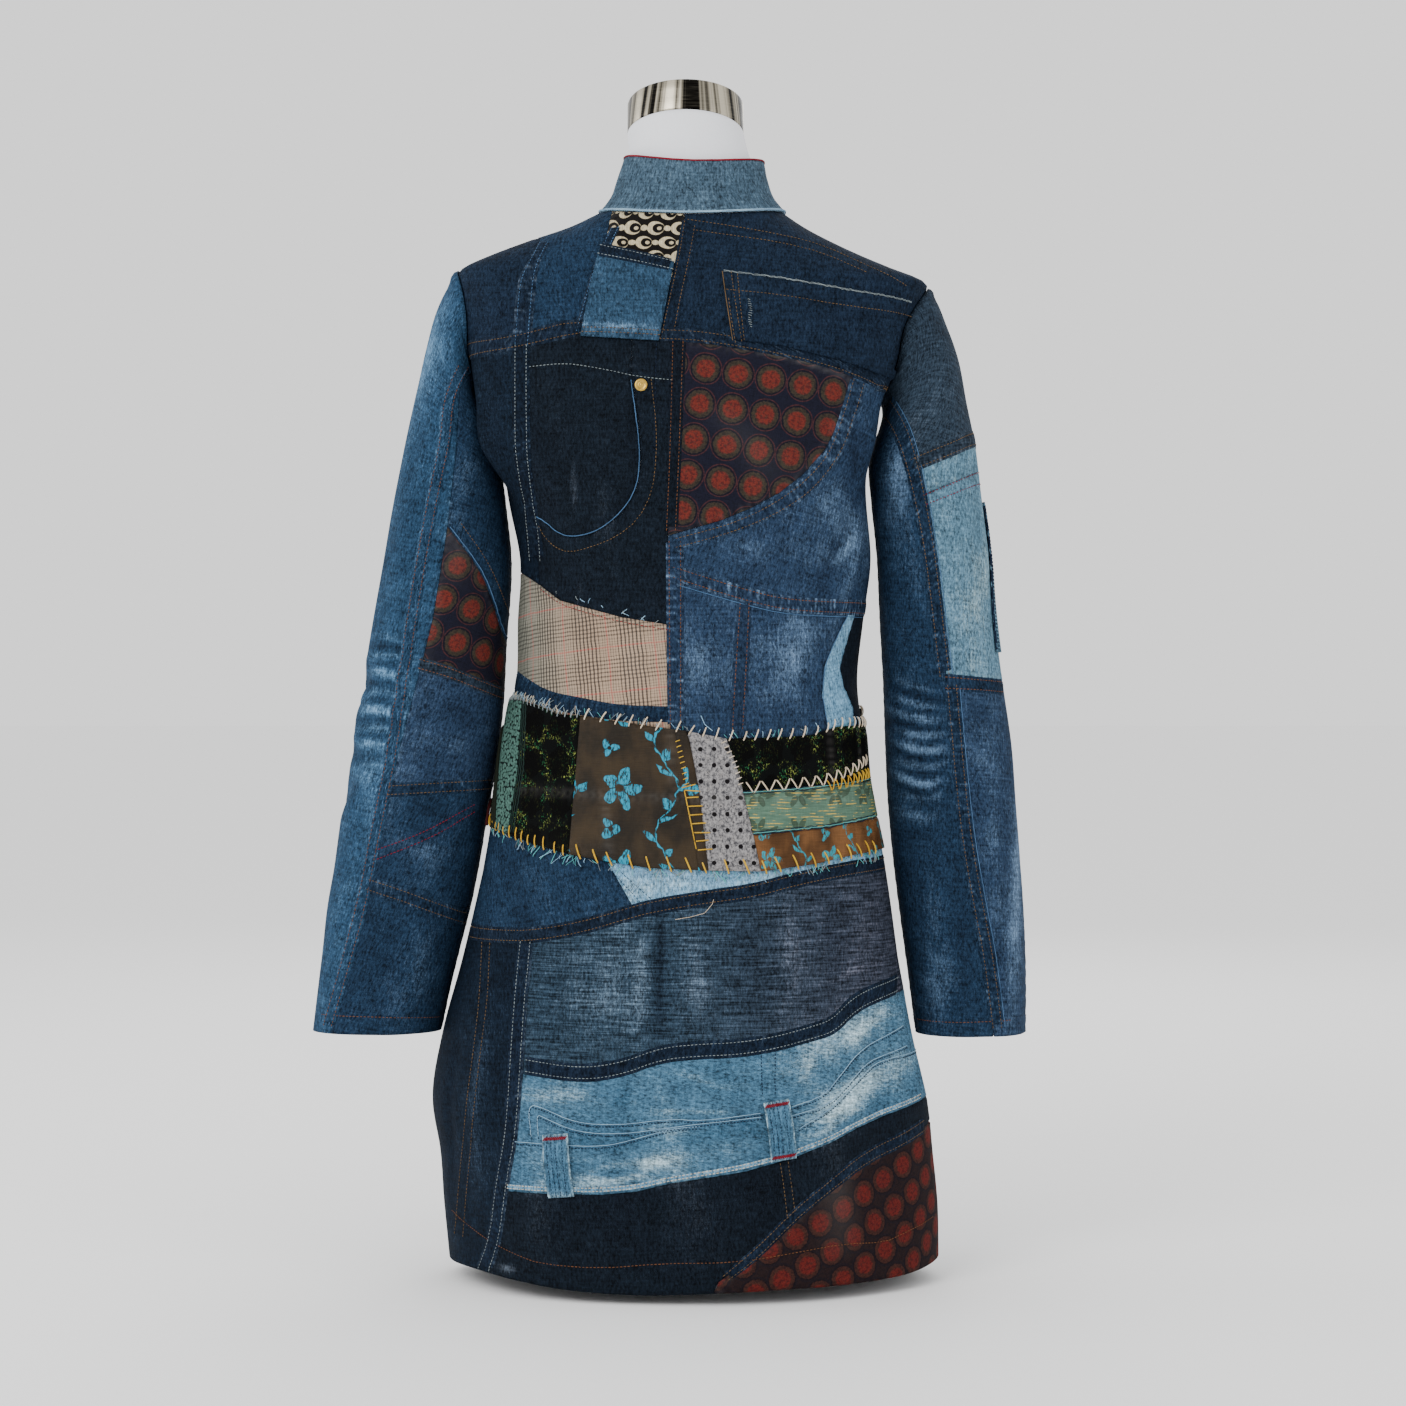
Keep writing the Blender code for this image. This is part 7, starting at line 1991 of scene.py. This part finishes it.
CHENILLE_LEFT, CHENILLE_RIGHT = ((-146, 470), (-151, 422), (-154, 366)), ((-133, 469), (-136, 414), (-144, 363))
for name, outline, cloth, slot, lift in (
        ("band_chenille", between_lines(CHENILLE_LEFT, CHENILLE_RIGHT), CHENILLE, "brocade_sage", 1.1),
        ("band_brown_strip", ((-12, 447), (-3, 446), (0, 438), (7, 402), (15, 336), (7, 336), (0, 392)), BROCADE,
         "brocade_brown", 0.5)):
    loop = body.on_plan(outline, closed=True)
    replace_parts(cut_piece(name, body, loop, cloth, 2.4, out=BAND_OUT + lift, thick=0.9),
                "band_left" if "chenille" in name else "band_brocade")
for k, shift in enumerate((-11.0, -7.5, -4.0, -0.5)):
    plan = even(body.on_plan(((-148, 469), (-153, 422), (-155, 367))), 1.6) + (shift, 0)
    wiggle = 0.9 * np.sin(np.arange(len(plan)) * 1.9 + k)
    lay("olive", 1.25, body, plan + pair(wiggle, 0 * wiggle), BAND_OUT + 0.5)
for k, shift in enumerate((2.0, 5.0, 8.5)):
    plan = even(body.on_plan(((-133, 468), (-136, 414), (-144, 364))), 1.6) + (shift, 0)
    wiggle = 0.5 * np.sin(np.arange(len(plan)) * 1.6 + k)
    lay("mint", 0.55, body, plan + pair(wiggle, 0 * wiggle), BAND_OUT + 0.2)
for shift in (-10.0, -8.0, -6.0):
    plan = even(body.on_plan(((-157, 412), (-160, 391), (-161, 368))), 1.5) + (shift, 0)
    lay("scarlet", 1.3, body, plan, BAND_OUT + 1.4)
THREADS["olive"], THREADS["mint"], THREADS["scarlet"] = OLIVE, CHENILLE, RED_BIT
print("braids of the band laid")

# %% [markdown]
# ## Pocket, patch and belt loops
# The yoke keeps a back pocket and a patch from old jeans, with their own topstitching. The belt loops are
# folded strips held by bar tacks, so they stand off the cloth between their ends and cast a shadow.

# %% Stitches of the pocket and the patch
for line in (((31, 786), (33, 770), (36, 752)), ((38, 806), (40, 782), (43, 754)),
             ((30, 794), (72, 790), (127, 782), (180, 780))):
    sew("tan", body, line, BAND_OUT + 0.2)
sew("tan", body, ((33, 808), (35, 792), (38, 772), (41, 753)), BAND_OUT + 0.2)
WORN_EDGE = even(body.on_plan(((27, 809.5), (72, 804), (128, 795), (176, 790.5))), 1.4)
for shift in (-0.35, 0.3):
    lay("white", 0.24, body, WORN_EDGE + pair(0 * WORN_EDGE[:, 0], shift + 0.6 * ripple(
        np.arange(len(WORN_EDGE)) * 1.3, shift)), BAND_OUT + 0.15)
POCKET_SIDE = even(body.on_plan(((26, 809), (29, 786), (34, 753))), 1.4)
lay("tan", 0.4, body, POCKET_SIDE, BAND_OUT - 0.1)
felled("strip_patch_top", body, ((-70, 831), (-39, 824), (-12, 817)), ((-72, 824), (-39, 817), (-14, 811)), "white",
    INK, base=BAND_OUT, rub=0.3, high=0.6)
for line in (((-83, 764), (-55, 763), (-25, 761)), ((-84, 760.5), (-55, 759.5), (-24, 757.5))):
    sew("tan", body, line, BAND_OUT + 0.2)
print("pocket and patch sewn")

# %% Belt loops
LoopPlace = namedtuple("LoopPlace", "name top_x top_z base_x base_z lift")
LOOP_RISE, LOOP_HALF = 4.0, 9.7


def belt_loop(place):
    """One loop: a doubled strip that stands off the cloth between its ends."""
    across = np.linspace(-LOOP_HALF, LOOP_HALF, 13)
    t = np.linspace(0.0, 1.0, 31)
    base, top = np.array((place.base_x, place.base_z)), np.array((place.top_x, place.top_z))
    run = (top - base) / np.linalg.norm(top - base)
    drawn = base + (top - base) * t[:, None, None] + np.array((run[1], -run[0])) * across[None, :, None]
    plan = body.locate(drawn.reshape(-1, 2))[0].reshape(len(t), len(across), 2)
    ends = bell(t / 0.10) + bell((1 - t) / 0.10)
    rise = place.lift + SKIN_OUT + LOOP_RISE * np.sin(np.pi * t) ** 0.6 + 0.7 * ends
    rim = 0.45 * bell((LOOP_HALF - np.abs(across)) / 1.0)
    out = rise[:, None] + rim[None, :]
    points, normals = body.place(plan, out)
    faces = grid_faces(len(t), len(across))
    flat = body.flat(plan.reshape(-1, 2))
    wear = np.broadcast_to(0.5 * bell((LOOP_HALF - np.abs(across)) / 1.2)[None, :] + 0.4 * ends[:, None],
                           out.shape)
    mesh = mesh_from(place.name, points.reshape(-1, 3), faces, flat - flat.mean(axis=0), wear.ravel(),
        0.0 * wear.ravel())
    piece = add_piece(place.name + "_cloth", mesh, BLEACHED, 1.3)
    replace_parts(piece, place.name)
    for column in (2, 4, 6, 9):
        SEWN.setdefault(("navy", 2.4, 0.9), []).append((points[1:-1, column] + normals[1:-1, column] * 0.0002,
                                                        normals[1:-1, column]))
    for row, on in ((28, True), (2, place.top_x > 0)):
        if on:
            for k in range(1, 12):
                start, end = points[row, 0], points[row, -1]
                middle = points[row, k] + normals[row, k] * 0.0006
                side = (end - start) / np.linalg.norm(end - start) * 0.0011
                slant = (points[row + 1, k] - points[row - 1, k]) * 0.35
                line = np.array([middle - side - slant, middle, middle + side + slant])
                LAID_THREADS.setdefault(("red", 0.5), []).append((line, np.repeat(normals[row, k][None], 3, axis=0)))
    return piece


BELT_LOOPS = (LoopPlace("belt_loop_left", -104, 131, -99, 82, -0.1), LoopPlace("belt_loop_right", 67, 158, 73, 112,
    0.15))
for place in BELT_LOOPS:
    SHELLS[place.name + "_cloth"] = belt_loop(place)
print("belt loops:", len(BELT_LOOPS))

# %% [markdown]
# ## Collar
# The stand collar is cut from streaky pale denim, with a thin red piping along its upper edge and a frayed
# light line where it joins the neck. Its form is a ring that leans with the neck and stays open in front.

# %% Collar
COLLAR_HIGH = COLLAR[-1].up
turns, ups = np.meshgrid(np.arange(-178.5, 178.6, 2.1), np.linspace(0, COLLAR_HIGH, 19))
stand = collar_surface(turns, ups)
facing = np.cross(np.gradient(stand, axis=1), np.gradient(stand, axis=0))
facing /= np.linalg.norm(facing, axis=-1, keepdims=True)
soft_dents = 0.5 * ripple(turns * 0.12, 3.0) * np.sin(np.pi * ups / COLLAR_HIGH)
soft_dents = soft_dents + 0.25 * ripple(turns * 0.5 + ups * 0.1, 1.0)
stand = stand + facing * (soft_dents * MM)[..., None]
rows, wide = turns.shape
collar_faces = grid_faces(rows, wide)
ROUND = np.linalg.norm(np.diff(stand[9], axis=0), axis=1).sum() / MM / 357
collar_plan = np.stack([turns * ROUND, ups], axis=-1).reshape(-1, 2)
base_wear = (0.8 * bell(ups / 1.8) + 0.15 * bell((COLLAR_HIGH - ups) / 3.0)).ravel()
collar = add_piece("collar_cloth", mesh_from("collar", stand.reshape(-1, 3), collar_faces, collar_plan, base_wear,
                                             0.0 * base_wear), PIPED, 1.8)
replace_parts(collar, "collar")
SHELLS["collar_cloth"] = collar
LAID_THREADS.setdefault(("red", 0.75), []).append((stand[-1, ::2] + (0, 0, 0.0003), facing[-1, ::2]))
for shift in (0.0, 0.0007):
    row = stand[0, ::2] + facing[0, ::2] * (0.0005 + 0.0004 * ripple(np.arange(len(stand[0, ::2])) * 1.9,
        shift * 999))[:, None] + (0, 0, shift)
    LAID_THREADS.setdefault(("sky", 0.45), []).append((row, facing[0, ::2]))
print("collar points:", rows * wide)

# %% [markdown]
# ## The front
# The jacket closes at the centre front with a placket and four tack buttons; the band runs on round the
# waist. Each front has a long felled seam and a patch pocket, as jackets made from jeans have.

# %% Placket and the front of the band
FRONT = 180.0


def turn_of(distance, run):
    """Turn at a distance round the body from the centre front, in millimetres."""
    ahead = (body_surface(FRONT + 1.0, run) - body_surface(FRONT - 1.0, run)) / (2.0 * MM)
    return FRONT + distance / np.linalg.norm(ahead, axis=-1)


PLACKET_HALF, BAND_MIDDLE = 17, 420.0
PLACKETS = {"placket_lower": (22, 360), "placket_upper": (478, 836)}
for name, (low, high) in PLACKETS.items():
    loop = strip_loop(body, lambda run: turn_of(-PLACKET_HALF + GAP, run),
        lambda run: turn_of(PLACKET_HALF - GAP, run), low + GAP, high - GAP)
    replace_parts(cut_piece(name + "_cloth", body, loop, INK, 3.0, out=BAND_OUT, thick=SKIN_OUT), name)
    for side in (-13.5, 13.5):
        up = np.arange(low + 3.0, high - 3.0, 3.0)
        sew_plan("tan", body, pair(turn_of(side, up) * body.per_degree, up), BAND_OUT + 0.2)


def front_edge(turns, rows):
    """Height of a line that is drawn across the front."""
    x = body_surface(turns, np.full(turns.shape, BAND_MIDDLE))[:, 0] / MM
    return np.interp(x, [r[0] for r in rows], [r[1] for r in rows])


BAND_FRONT_TOP = ((-260, 474), (0, 470), (260, 458))
BAND_FRONT_BASE = ((-260, 376), (0, 366), (260, 357))
side_turn = float(body.limit(np.array(BAND_MIDDLE)))
BAND_FRONT = ((side_turn + GAP, 118, LUREX), (118.2, 149, SAGE), (149.2, 196, BROCADE), (196.2, 228, DOTTED),
              (228.2, 360 - side_turn - GAP, LUREX))
for number, (start, end, cloth) in enumerate(BAND_FRONT):
    turns = np.linspace(start, end, int((end - start) / 1.2))
    low, high = front_edge(turns, BAND_FRONT_BASE) + GAP, front_edge(turns, BAND_FRONT_TOP) - GAP
    up = np.linspace(0, 1, 34)[1:-1]
    loop = np.concatenate([pair(turns, low), pair(0 * up + end, low[-1] + up * (high - low)[-1]),
                           pair(turns, high)[::-1],
                           pair(0 * up + start, high[0] - up * (high - low)[0])]) * (body.per_degree, 1)
    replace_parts(cut_piece(f"band_front_{number + 1}", body, loop, cloth, 3.4, out=BAND_OUT,
                          thick=SKIN_OUT), "band_front")
turns = np.linspace(side_turn, 360 - side_turn, 52)
for colour, edge, into in (("cream", BAND_FRONT_TOP, -6.5), ("yellow", BAND_FRONT_BASE, 7.5)):
    for turn, high in zip(turns, front_edge(turns, edge)):
        spot = np.array((turn * body.per_degree + dice.uniform(-1, 1), high))
        hand_stitch(colour, body, spot + (2.0, into), spot + (-2.0, -0.35 * into), BAND_OUT)
print("sections of the front band:", len(BAND_FRONT))

# %% Long seams and pockets of the fronts
FELLED_WIDE = 7.0


def felled_round(name, points):
    """A felled seam of the front, from a line of turns and heights."""
    middle = even(rounded(np.array(points, dtype=float) * (body.per_degree, 1), 2), 2.4)
    a, b = beside(middle, -FELLED_WIDE / 2), beside(middle, FELLED_WIDE / 2)
    STRIPS[name] = ribbon(name, body, a, b, NIGHT, rub=0.6, seed=len(STRIPS) + 1.0)
    for line in (a, b):
        sew_plan("tan", body, line, 0.62)


for side, word in ((-1, "left"), (1, "right")):
    for seam, line in (("long", ((118, 806), (128, 740), (138, 640), (142, 560), (142, 476))),
                       ("skirt", ((142, 362), (140, 260), (136, 140), (134, 22))),
                       ("yoke", ((98, 742), (124, 736), (150, 722), (172, 716)))):
        felled_round(f"strip_front_{word}_{seam}", [(side * turn, height) for turn, height in line])
    low, high, near, far = (196, 306, 104, 131) if side > 0 else (186, 300, 102, 130)
    corners = np.array([(near, high), (near + 1, low + 14), (0.5 * (near + far), low), (far - 1, low + 14),
        (far, high)])
    loop = spread(np.concatenate([corners, corners[:1]]) * (side * body.per_degree, 1), 2.5)[:-1]
    cut_piece(f"front_pocket_{word}", body, loop, SOFT if side > 0 else SLATE, 3.2, out=1.7, thick=1.3)
    middle = loop.mean(axis=0)
    rim = np.concatenate([loop, loop[:1]])
    for share in (0.955, 0.90):
        sew_plan("tan", body, middle + (rim - middle) * share, 1.95)
hem_turns = np.arange(side_turn, 360 - side_turn, 1.5)
sew_plan("orange", body, pair(hem_turns * body.per_degree, 40 + 3 * np.sin(hem_turns * 0.06)))
for wall, down in ((left, 601), (right, 586)):
    across = np.arange(95, 266, 2.0)
    sew_plan("orange", wall, pair(across * wall.per_degree, 0 * across + down))
print("strips:", len(STRIPS))

# %% The pocket on the right sleeve
edge = right.locate(np.array(((240.0, 633.0), (245.0, 566.0), (249.0, 507.0))))[0]
edge = edge[np.argsort(edge[:, 1])]
near = lambda run: np.interp(run, edge[:, 1], edge[:, 0]) / right.per_degree
low, high = float(edge[0, 1]), float(edge[-1, 1])
loop = strip_loop(right, near, 136.0, low, high)
sleeve_pocket = cut_piece("sleeve_right_pocket_cloth", right, loop, MINT, 3.0, out=BAND_OUT,
    thick=SKIN_OUT)
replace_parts(sleeve_pocket, "sleeve_right_pocket")
up = np.arange(low + 3, high - 2, 2.5)
for shift, colour in ((2.2, "navy"), (6.0, "navy")):
    sew_plan(colour, right, pair(near(up) * right.per_degree + shift, up), BAND_OUT + 0.2)
for k in range(3):
    line = pair(near(up) * right.per_degree + 0.2 + 0.5 * ripple(up * 0.7, k + 1.0), up)
    lay("navy", 0.45, right, line, BAND_OUT - 0.2 - 0.5 * k)
print("sleeve pocket from", round(low), "to", round(high), "mm down the sleeve")

# %% [markdown]
# ## Metal and the dress form
# Buttons, rivet, neck cap, pole and base are turned work: a profile swept round an axis. The form itself is
# one smooth padded body in white jersey, from the hips to its leaning neck.

# %% Turned pieces
def turned(name, profile, place, axis, sides, material, slot, node):
    """Sweep a profile of radius and height, from the middle of the foot to the middle of the top."""
    turn = Vector(axis).to_track_quat("Z", "Y").to_matrix()
    points, faces = [], []
    place = Vector(place)
    for radius, height in profile:
        ring = 1 if radius == 0 else sides
        points += [place + turn @ Vector((radius * math.cos(k * math.tau / sides),
            radius * math.sin(k * math.tau / sides), height)) * MM for k in range(ring)]
    first = 0
    for (r0, _), (r1, _) in zip(profile[:-1], profile[1:]):
        n0, n1 = (1 if r0 == 0 else sides), (1 if r1 == 0 else sides)
        for k in range(sides):
            a, b = first + k % n0, first + (k + 1) % n0
            c, d = first + n0 + (k + 1) % n1, first + n0 + k % n1
            faces.append(tuple(dict.fromkeys((a, b, c, d))))
        first += n0
    mesh = bpy.data.meshes.new(name)
    mesh.from_pydata(points, [], faces)
    mesh.shade_smooth()
    piece = add_piece(name, mesh, material)
    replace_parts(piece, node)
    return piece


def metal(name, dark, light, streaks, rough):
    """Brushed metal: fine streaks across its object coordinates."""
    def build(n):
        place = n.here()
        scaled = n.stretched(place, streaks)
        fine = n.cloud(scaled, 1.0, 4.0)
        broad = n.cloud(place, 26.0, 2.0)
        mixed = n.scaled(broad, 0.8, n.scaled(fine, 0.8, -0.3))
        return (n.mix(mixed, dark, light), fine, n.scaled(fine, 0.25, rough - 0.1))
    return shade_material(name, build, bump=0.05, metal=1.0, specular=0.5)


def painted_reflection_pewter(n):
    """Brushed pewter with painted reflections: light and dark stripes round the side of the cap."""
    place = n.here()
    x, y = n.split(place)
    angle = n.math("ARCTAN2", x, n.less(y, 0.022))
    around = n.add("ShaderNodeCombineXYZ", {0: n.times(angle, 3.4)}).outputs[0]
    bands = n.add("ShaderNodeTexNoise", {"Vector": around, "Scale": 1.0, "Detail": 3.0, "Roughness": 0.6}).outputs[0]
    fine_place = n.stretched(place, (60.0, 60.0, 2600.0))
    fine = n.cloud(fine_place, 1.0, 2.0)
    on_side = n.soft(reach(n, x, n.less(y, 0.022)), 0.038, 0.043)
    # painted reflection: light and dark stripes round the side wall, kept off the top
    painted_reflection = n.scaled(n.less(n.soft(bands, 0.44, 0.58), 0.6), on_side, 0.6)
    tone_at = n.scaled(n.less(fine), 0.3, painted_reflection)
    colour = n.mix(tone_at, tone(20, 18, 16), tone(196, 188, 172))
    return colour, fine, n.scaled(fine, 0.2, 0.22)


PEWTER_WITH_PAINTED_REFLECTIONS = shade_material("brushed pewter", painted_reflection_pewter, bump=0.04, metal=1.0, specular=0.5)
STEEL = metal("brushed steel", tone(120, 120, 122), tone(200, 200, 202), (50.0, 1400.0, 50.0), 0.35)
BRASS = metal("worn brass", tone(110, 82, 40), tone(226, 190, 116), (300.0, 300.0, 300.0), 0.3)
lean = math.radians(15.3)
cap = ((0, 0.2), (46.8, 0.0), (47.8, 0.4), (48.0, 1.4), (48.0, 9.0), (48.0, 18.0), (48.0, 25.4), (47.6, 26.6),
    (46.6, 27.3), (45.0, 27.5), (30.0, 27.5), (14.0, 27.5), (6.0, 27.5), (0, 27.5))
turned("form_neck_cap_metal", cap, (-0.0037, 0.018, 0.937), (0, math.sin(lean), math.cos(lean)), 96, PEWTER_WITH_PAINTED_REFLECTIONS,
    "form_metal", "form_neck_cap")
pole = ((0, 0.0), (13.6, 0.0), (14.0, 0.4), (14.0, 60.0), (14.0, 120.0), (14.0, 179.0), (13.6, 179.4), (0, 179.4))
turned("form_pole_steel", pole, (0, 0.008, 0.0103), (0, 0, 1), 48, STEEL, "stand_steel", "form_pole")
disc = ((0, 0.0), (93.5, 0.0), (94.6, 0.6), (95.0, 2.0), (95.0, 8.0), (94.4, 9.4), (93.0, 10.0), (60.0, 10.0),
    (24.0, 10.0), (0, 10.0))
turned("form_base_steel", disc, (0, 0.008, 0), (0, 0, 1), 96, STEEL, "stand_steel", "form_base")
print("cap, pole and base turned")

# %% Buttons and rivet
tack = ((0, 0.0), (7.6, 0.0), (8.3, 0.5), (8.5, 1.2), (8.3, 2.1), (7.7, 2.6), (7.0, 2.5), (6.5, 2.0), (6.1, 1.8),
    (5.6, 1.9), (5.2, 2.3), (4.6, 2.4), (4.1, 2.1), (3.2, 2.3), (2.0, 2.8), (1.0, 3.0), (0, 3.0))
for number, height in enumerate((505, 600, 695, 790), 1):
    seat, out = body.place(np.array([[180.0 * body.per_degree, float(height)]]), BAND_OUT + 0.5)
    turned(f"button_{number}_brass", tack, seat[0], out[0], 40, BRASS, "brass", f"button_{number}")
burr = ((0, 0.0), (4.6, 0.0), (5.1, 0.3), (5.2, 0.8), (4.9, 1.3), (4.2, 1.6), (3.4, 1.5), (2.9, 1.15), (2.3, 1.1),
    (1.7, 1.3), (1.2, 1.8), (0.6, 2.0), (0, 2.0))
seat, out = body.place(body.locate(np.array([(-38.0, 718.0)]))[0], 0.4)
turned("pocket_rivet_brass", burr, seat[0], out[0], 36, BRASS, "brass", "pocket_rivet")
print("buttons and rivet turned")

# %% The form
def offset_rings(points, out):
    """Move closed rings of points along the normals that they themselves give."""
    turn = np.roll(points, -1, axis=1) - np.roll(points, 1, axis=1)
    rise = np.gradient(points, axis=0)
    normal = np.cross(turn, rise)
    normal /= np.linalg.norm(normal, axis=-1, keepdims=True)
    return points + normal * np.asarray(out)[..., None]


def jersey(n):
    """White jersey: fine upright ribs of knitted loops."""
    place = n.here()
    knit = n.stretched(place, (900.0, 900.0, 500.0))
    loops = n.add("ShaderNodeTexVoronoi", {"Vector": knit, "Scale": 1.0}).outputs[0]
    soft = n.cloud(place, 18.0, 3.0)
    mixed = n.scaled(soft, 0.6, n.times(loops, 0.3))
    return n.mix(mixed, tone(244, 245, 248), tone(224, 226, 232)), loops, None


JERSEY = shade_material("white jersey", jersey, rough=0.9, bump=0.12)
FORM_COLUMNS, FORM_FOOT = 120, 190
turns = np.arange(FORM_COLUMNS) * 360.0 / FORM_COLUMNS - 180.0
heights = np.concatenate([np.linspace(FORM_FOOT, 760, 44)[:-1], np.linspace(760, NECK_HEIGHT, 24)])
angle, height = np.meshgrid(turns, heights)
torso = offset_rings(body_surface(angle, height, folded=False), -along(FORM_GAP, "gap", height) * MM)
torso[0, :, 2] = FORM_FOOT * MM
rings = []
for where in np.linspace(874, 936.7, 18):
    value = {key: along(NECK, key, where) for key in NeckRow._fields[1:]}
    sine, cosine, tilt = np.sin(np.radians(turns)), np.cos(np.radians(turns)), lean * value["lean"]
    rings.append(np.stack([value["middle_x"] + value["across"] * sine,
                           value["middle_y"] - value["deep"] * cosine * math.cos(tilt),
                           where + value["deep"] * cosine * math.sin(tilt)], axis=-1) * MM)
skin = np.concatenate([torso, np.array(rings)])
count = len(skin)
faces = [(r * FORM_COLUMNS + c, r * FORM_COLUMNS + (c + 1) % FORM_COLUMNS,
    (r + 1) * FORM_COLUMNS + (c + 1) % FORM_COLUMNS,
    (r + 1) * FORM_COLUMNS + c) for r in range(count - 1) for c in range(FORM_COLUMNS)]
faces += [tuple(range(FORM_COLUMNS))[::-1], tuple(range((count - 1) * FORM_COLUMNS, count * FORM_COLUMNS))]
mesh = bpy.data.meshes.new("form_torso_jersey")
mesh.from_pydata([tuple(p) for p in skin.reshape(-1, 3)], [], faces)
mesh.shade_smooth()
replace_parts(add_piece("form_torso_jersey", mesh, JERSEY), "form_torso")
print("rings of the form:", count)

# %% Lay the stitches
for number, ((colour, pitch, heavy), lines) in enumerate(SEWN.items()):
    settings = {"Pitch": pitch * MM, "Length": 0.8 * pitch * MM, "Width": 0.66 * heavy * MM,
        "Height": 0.62 * heavy * MM, "Jitter": 0.07, "Seed": 11 + number, "Thread": THREADS[colour]}
    grow(f"stitches_{colour}_{number}", STITCH_TREE, lines, settings)
print("rows of stitches:", sum(len(lines) for lines in SEWN.values()))

for (colour, radius), lines in LAID_THREADS.items():
    grow(f"threads_{colour}_{round(radius * 100)}", THREAD_TREE, lines,
         {"Radius": radius * MM, "Sides": 6, "Thread": THREADS[colour]})
print("threads laid by hand:", sum(len(lines) for lines in LAID_THREADS.values()))

# %% [markdown]
# ## The cloth as it was cut
# Before it is sewn each piece is flat. Its width, length and area are measured on the true lengths of its
# plan, in the smallest rectangle of cloth that it can be cut from.

# %% Flat sizes
NARROW = 0.4  # a piece that fills less of its rectangle than this is a bent strip, and is cut straight


def flat_cut(piece):
    """Width, length and area of a piece's cloth before it was sewn, in metres."""
    mesh = piece.data
    spots = np.empty(2 * len(mesh.loops), dtype=np.float32)
    mesh.uv_layers["plan"].data.foreach_get("uv", spots)
    spots = spots.reshape(-1, 2).astype(float)
    drawn = 0.0
    for face in mesh.polygons:
        x, y = spots[list(face.loop_indices)].T
        drawn += 0.5 * abs(x @ np.roll(y, -1) - y @ np.roll(x, -1))
    real = sum(face.area for face in mesh.polygons)
    boxes = []
    for turn in np.radians(range(0, 90, 3)):
        c, s = math.cos(turn), math.sin(turn)
        boxes.append(np.ptp(spots @ np.array(((c, -s), (s, c))), axis=0))
    wide, long = (float(side) for side in min(boxes, key=np.prod) * math.sqrt(real / drawn))
    if real < NARROW * wide * long:
        long = max(wide, long)
        wide = real / long
    return (wide, long), real


SEWN_ON = {name: [] for name in SHELLS}
middles = {name: sum((Vector(c) for c in piece.bound_box), Vector()) / 8 for name, piece in SHELLS.items()}
others = [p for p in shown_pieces() if p.name not in SHELLS and p.name.startswith(("strip", "stitches", "threads",
    "selvedge"))]
for piece in sorted(others, key=lambda p: p.name):
    middle = sum((Vector(c) for c in piece.bound_box), Vector()) / 8
    near = min((n for n in SHELLS if len(SEWN_ON[n]) < 20), key=lambda n: (middles[n] - middle).length)
    SEWN_ON[near].append(piece)
for name, piece in SHELLS.items():
    (wide, long), area = flat_cut(piece)

# %% [markdown]
# ## Studio
# The photo is taken from behind at the height of the waist, square on. The camera stands back with a long
# lens, as a shop's photographer has it, and large soft lights leave only faint shadows.

# %% Camera, floor and lights
EYE, LIT = (0.0107, -2.5, 0.468), (0, 0, 0.5)
lens = bpy.data.cameras.new("camera")
lens.lens, lens.sensor_width = 78.07, 36.0
camera = into_scene("camera", lens)
camera.location, camera.rotation_euler = EYE, (math.radians(90), 0, 0)
bpy.context.scene.camera = camera


def paper(n):
    """Pale studio paper with a faint tooth."""
    place = n.here()
    tooth = n.cloud(place, 60.0, 3.0)
    return n.mix(n.times(tooth, 0.1), (0.97, 0.97, 0.97), (0.94, 0.94, 0.94)), tooth, None


def plane(name, size, material):
    """A flat square on the ground."""
    mesh = bpy.data.meshes.new(name)
    mesh.from_pydata([(-size, -size, 0), (size, -size, 0), (size, size, 0), (-size, size, 0)], [], [(0, 1, 2, 3)])
    mesh.materials.append(material)
    return into_scene(name, mesh)


floor = plane("floor", 60.0, shade_material("studio paper", paper, rough=0.9, bump=0.1))
world = bpy.data.worlds.new("studio")
bpy.context.scene.world = world
world.use_nodes = True
world.node_tree.nodes["Background"].inputs["Color"].default_value = (1.0, 1.0, 1.0, 1)
world.node_tree.nodes["Background"].inputs["Strength"].default_value = 1.3
for name, place, size, power in (("key", (-1.6, -2.6, 2.3), 1.6, 55), ("fill", (2.2, -2.2, 1.4), 1.8, 10),
                                 ("back", (0.4, 2.6, 2.2), 1.8, 22), ("left rim", (-2.4, 0.3, 1.2), 1.2, 12)):
    light = bpy.data.lights.new(name, "AREA")
    light.energy, light.size = power, size
    lamp = into_scene(name, light)
    lamp.location = place
    lamp.rotation_euler = (Vector(LIT) - Vector(place)).to_track_quat("-Z", "Y").to_euler()
print("lens:", lens.lens, "mm")
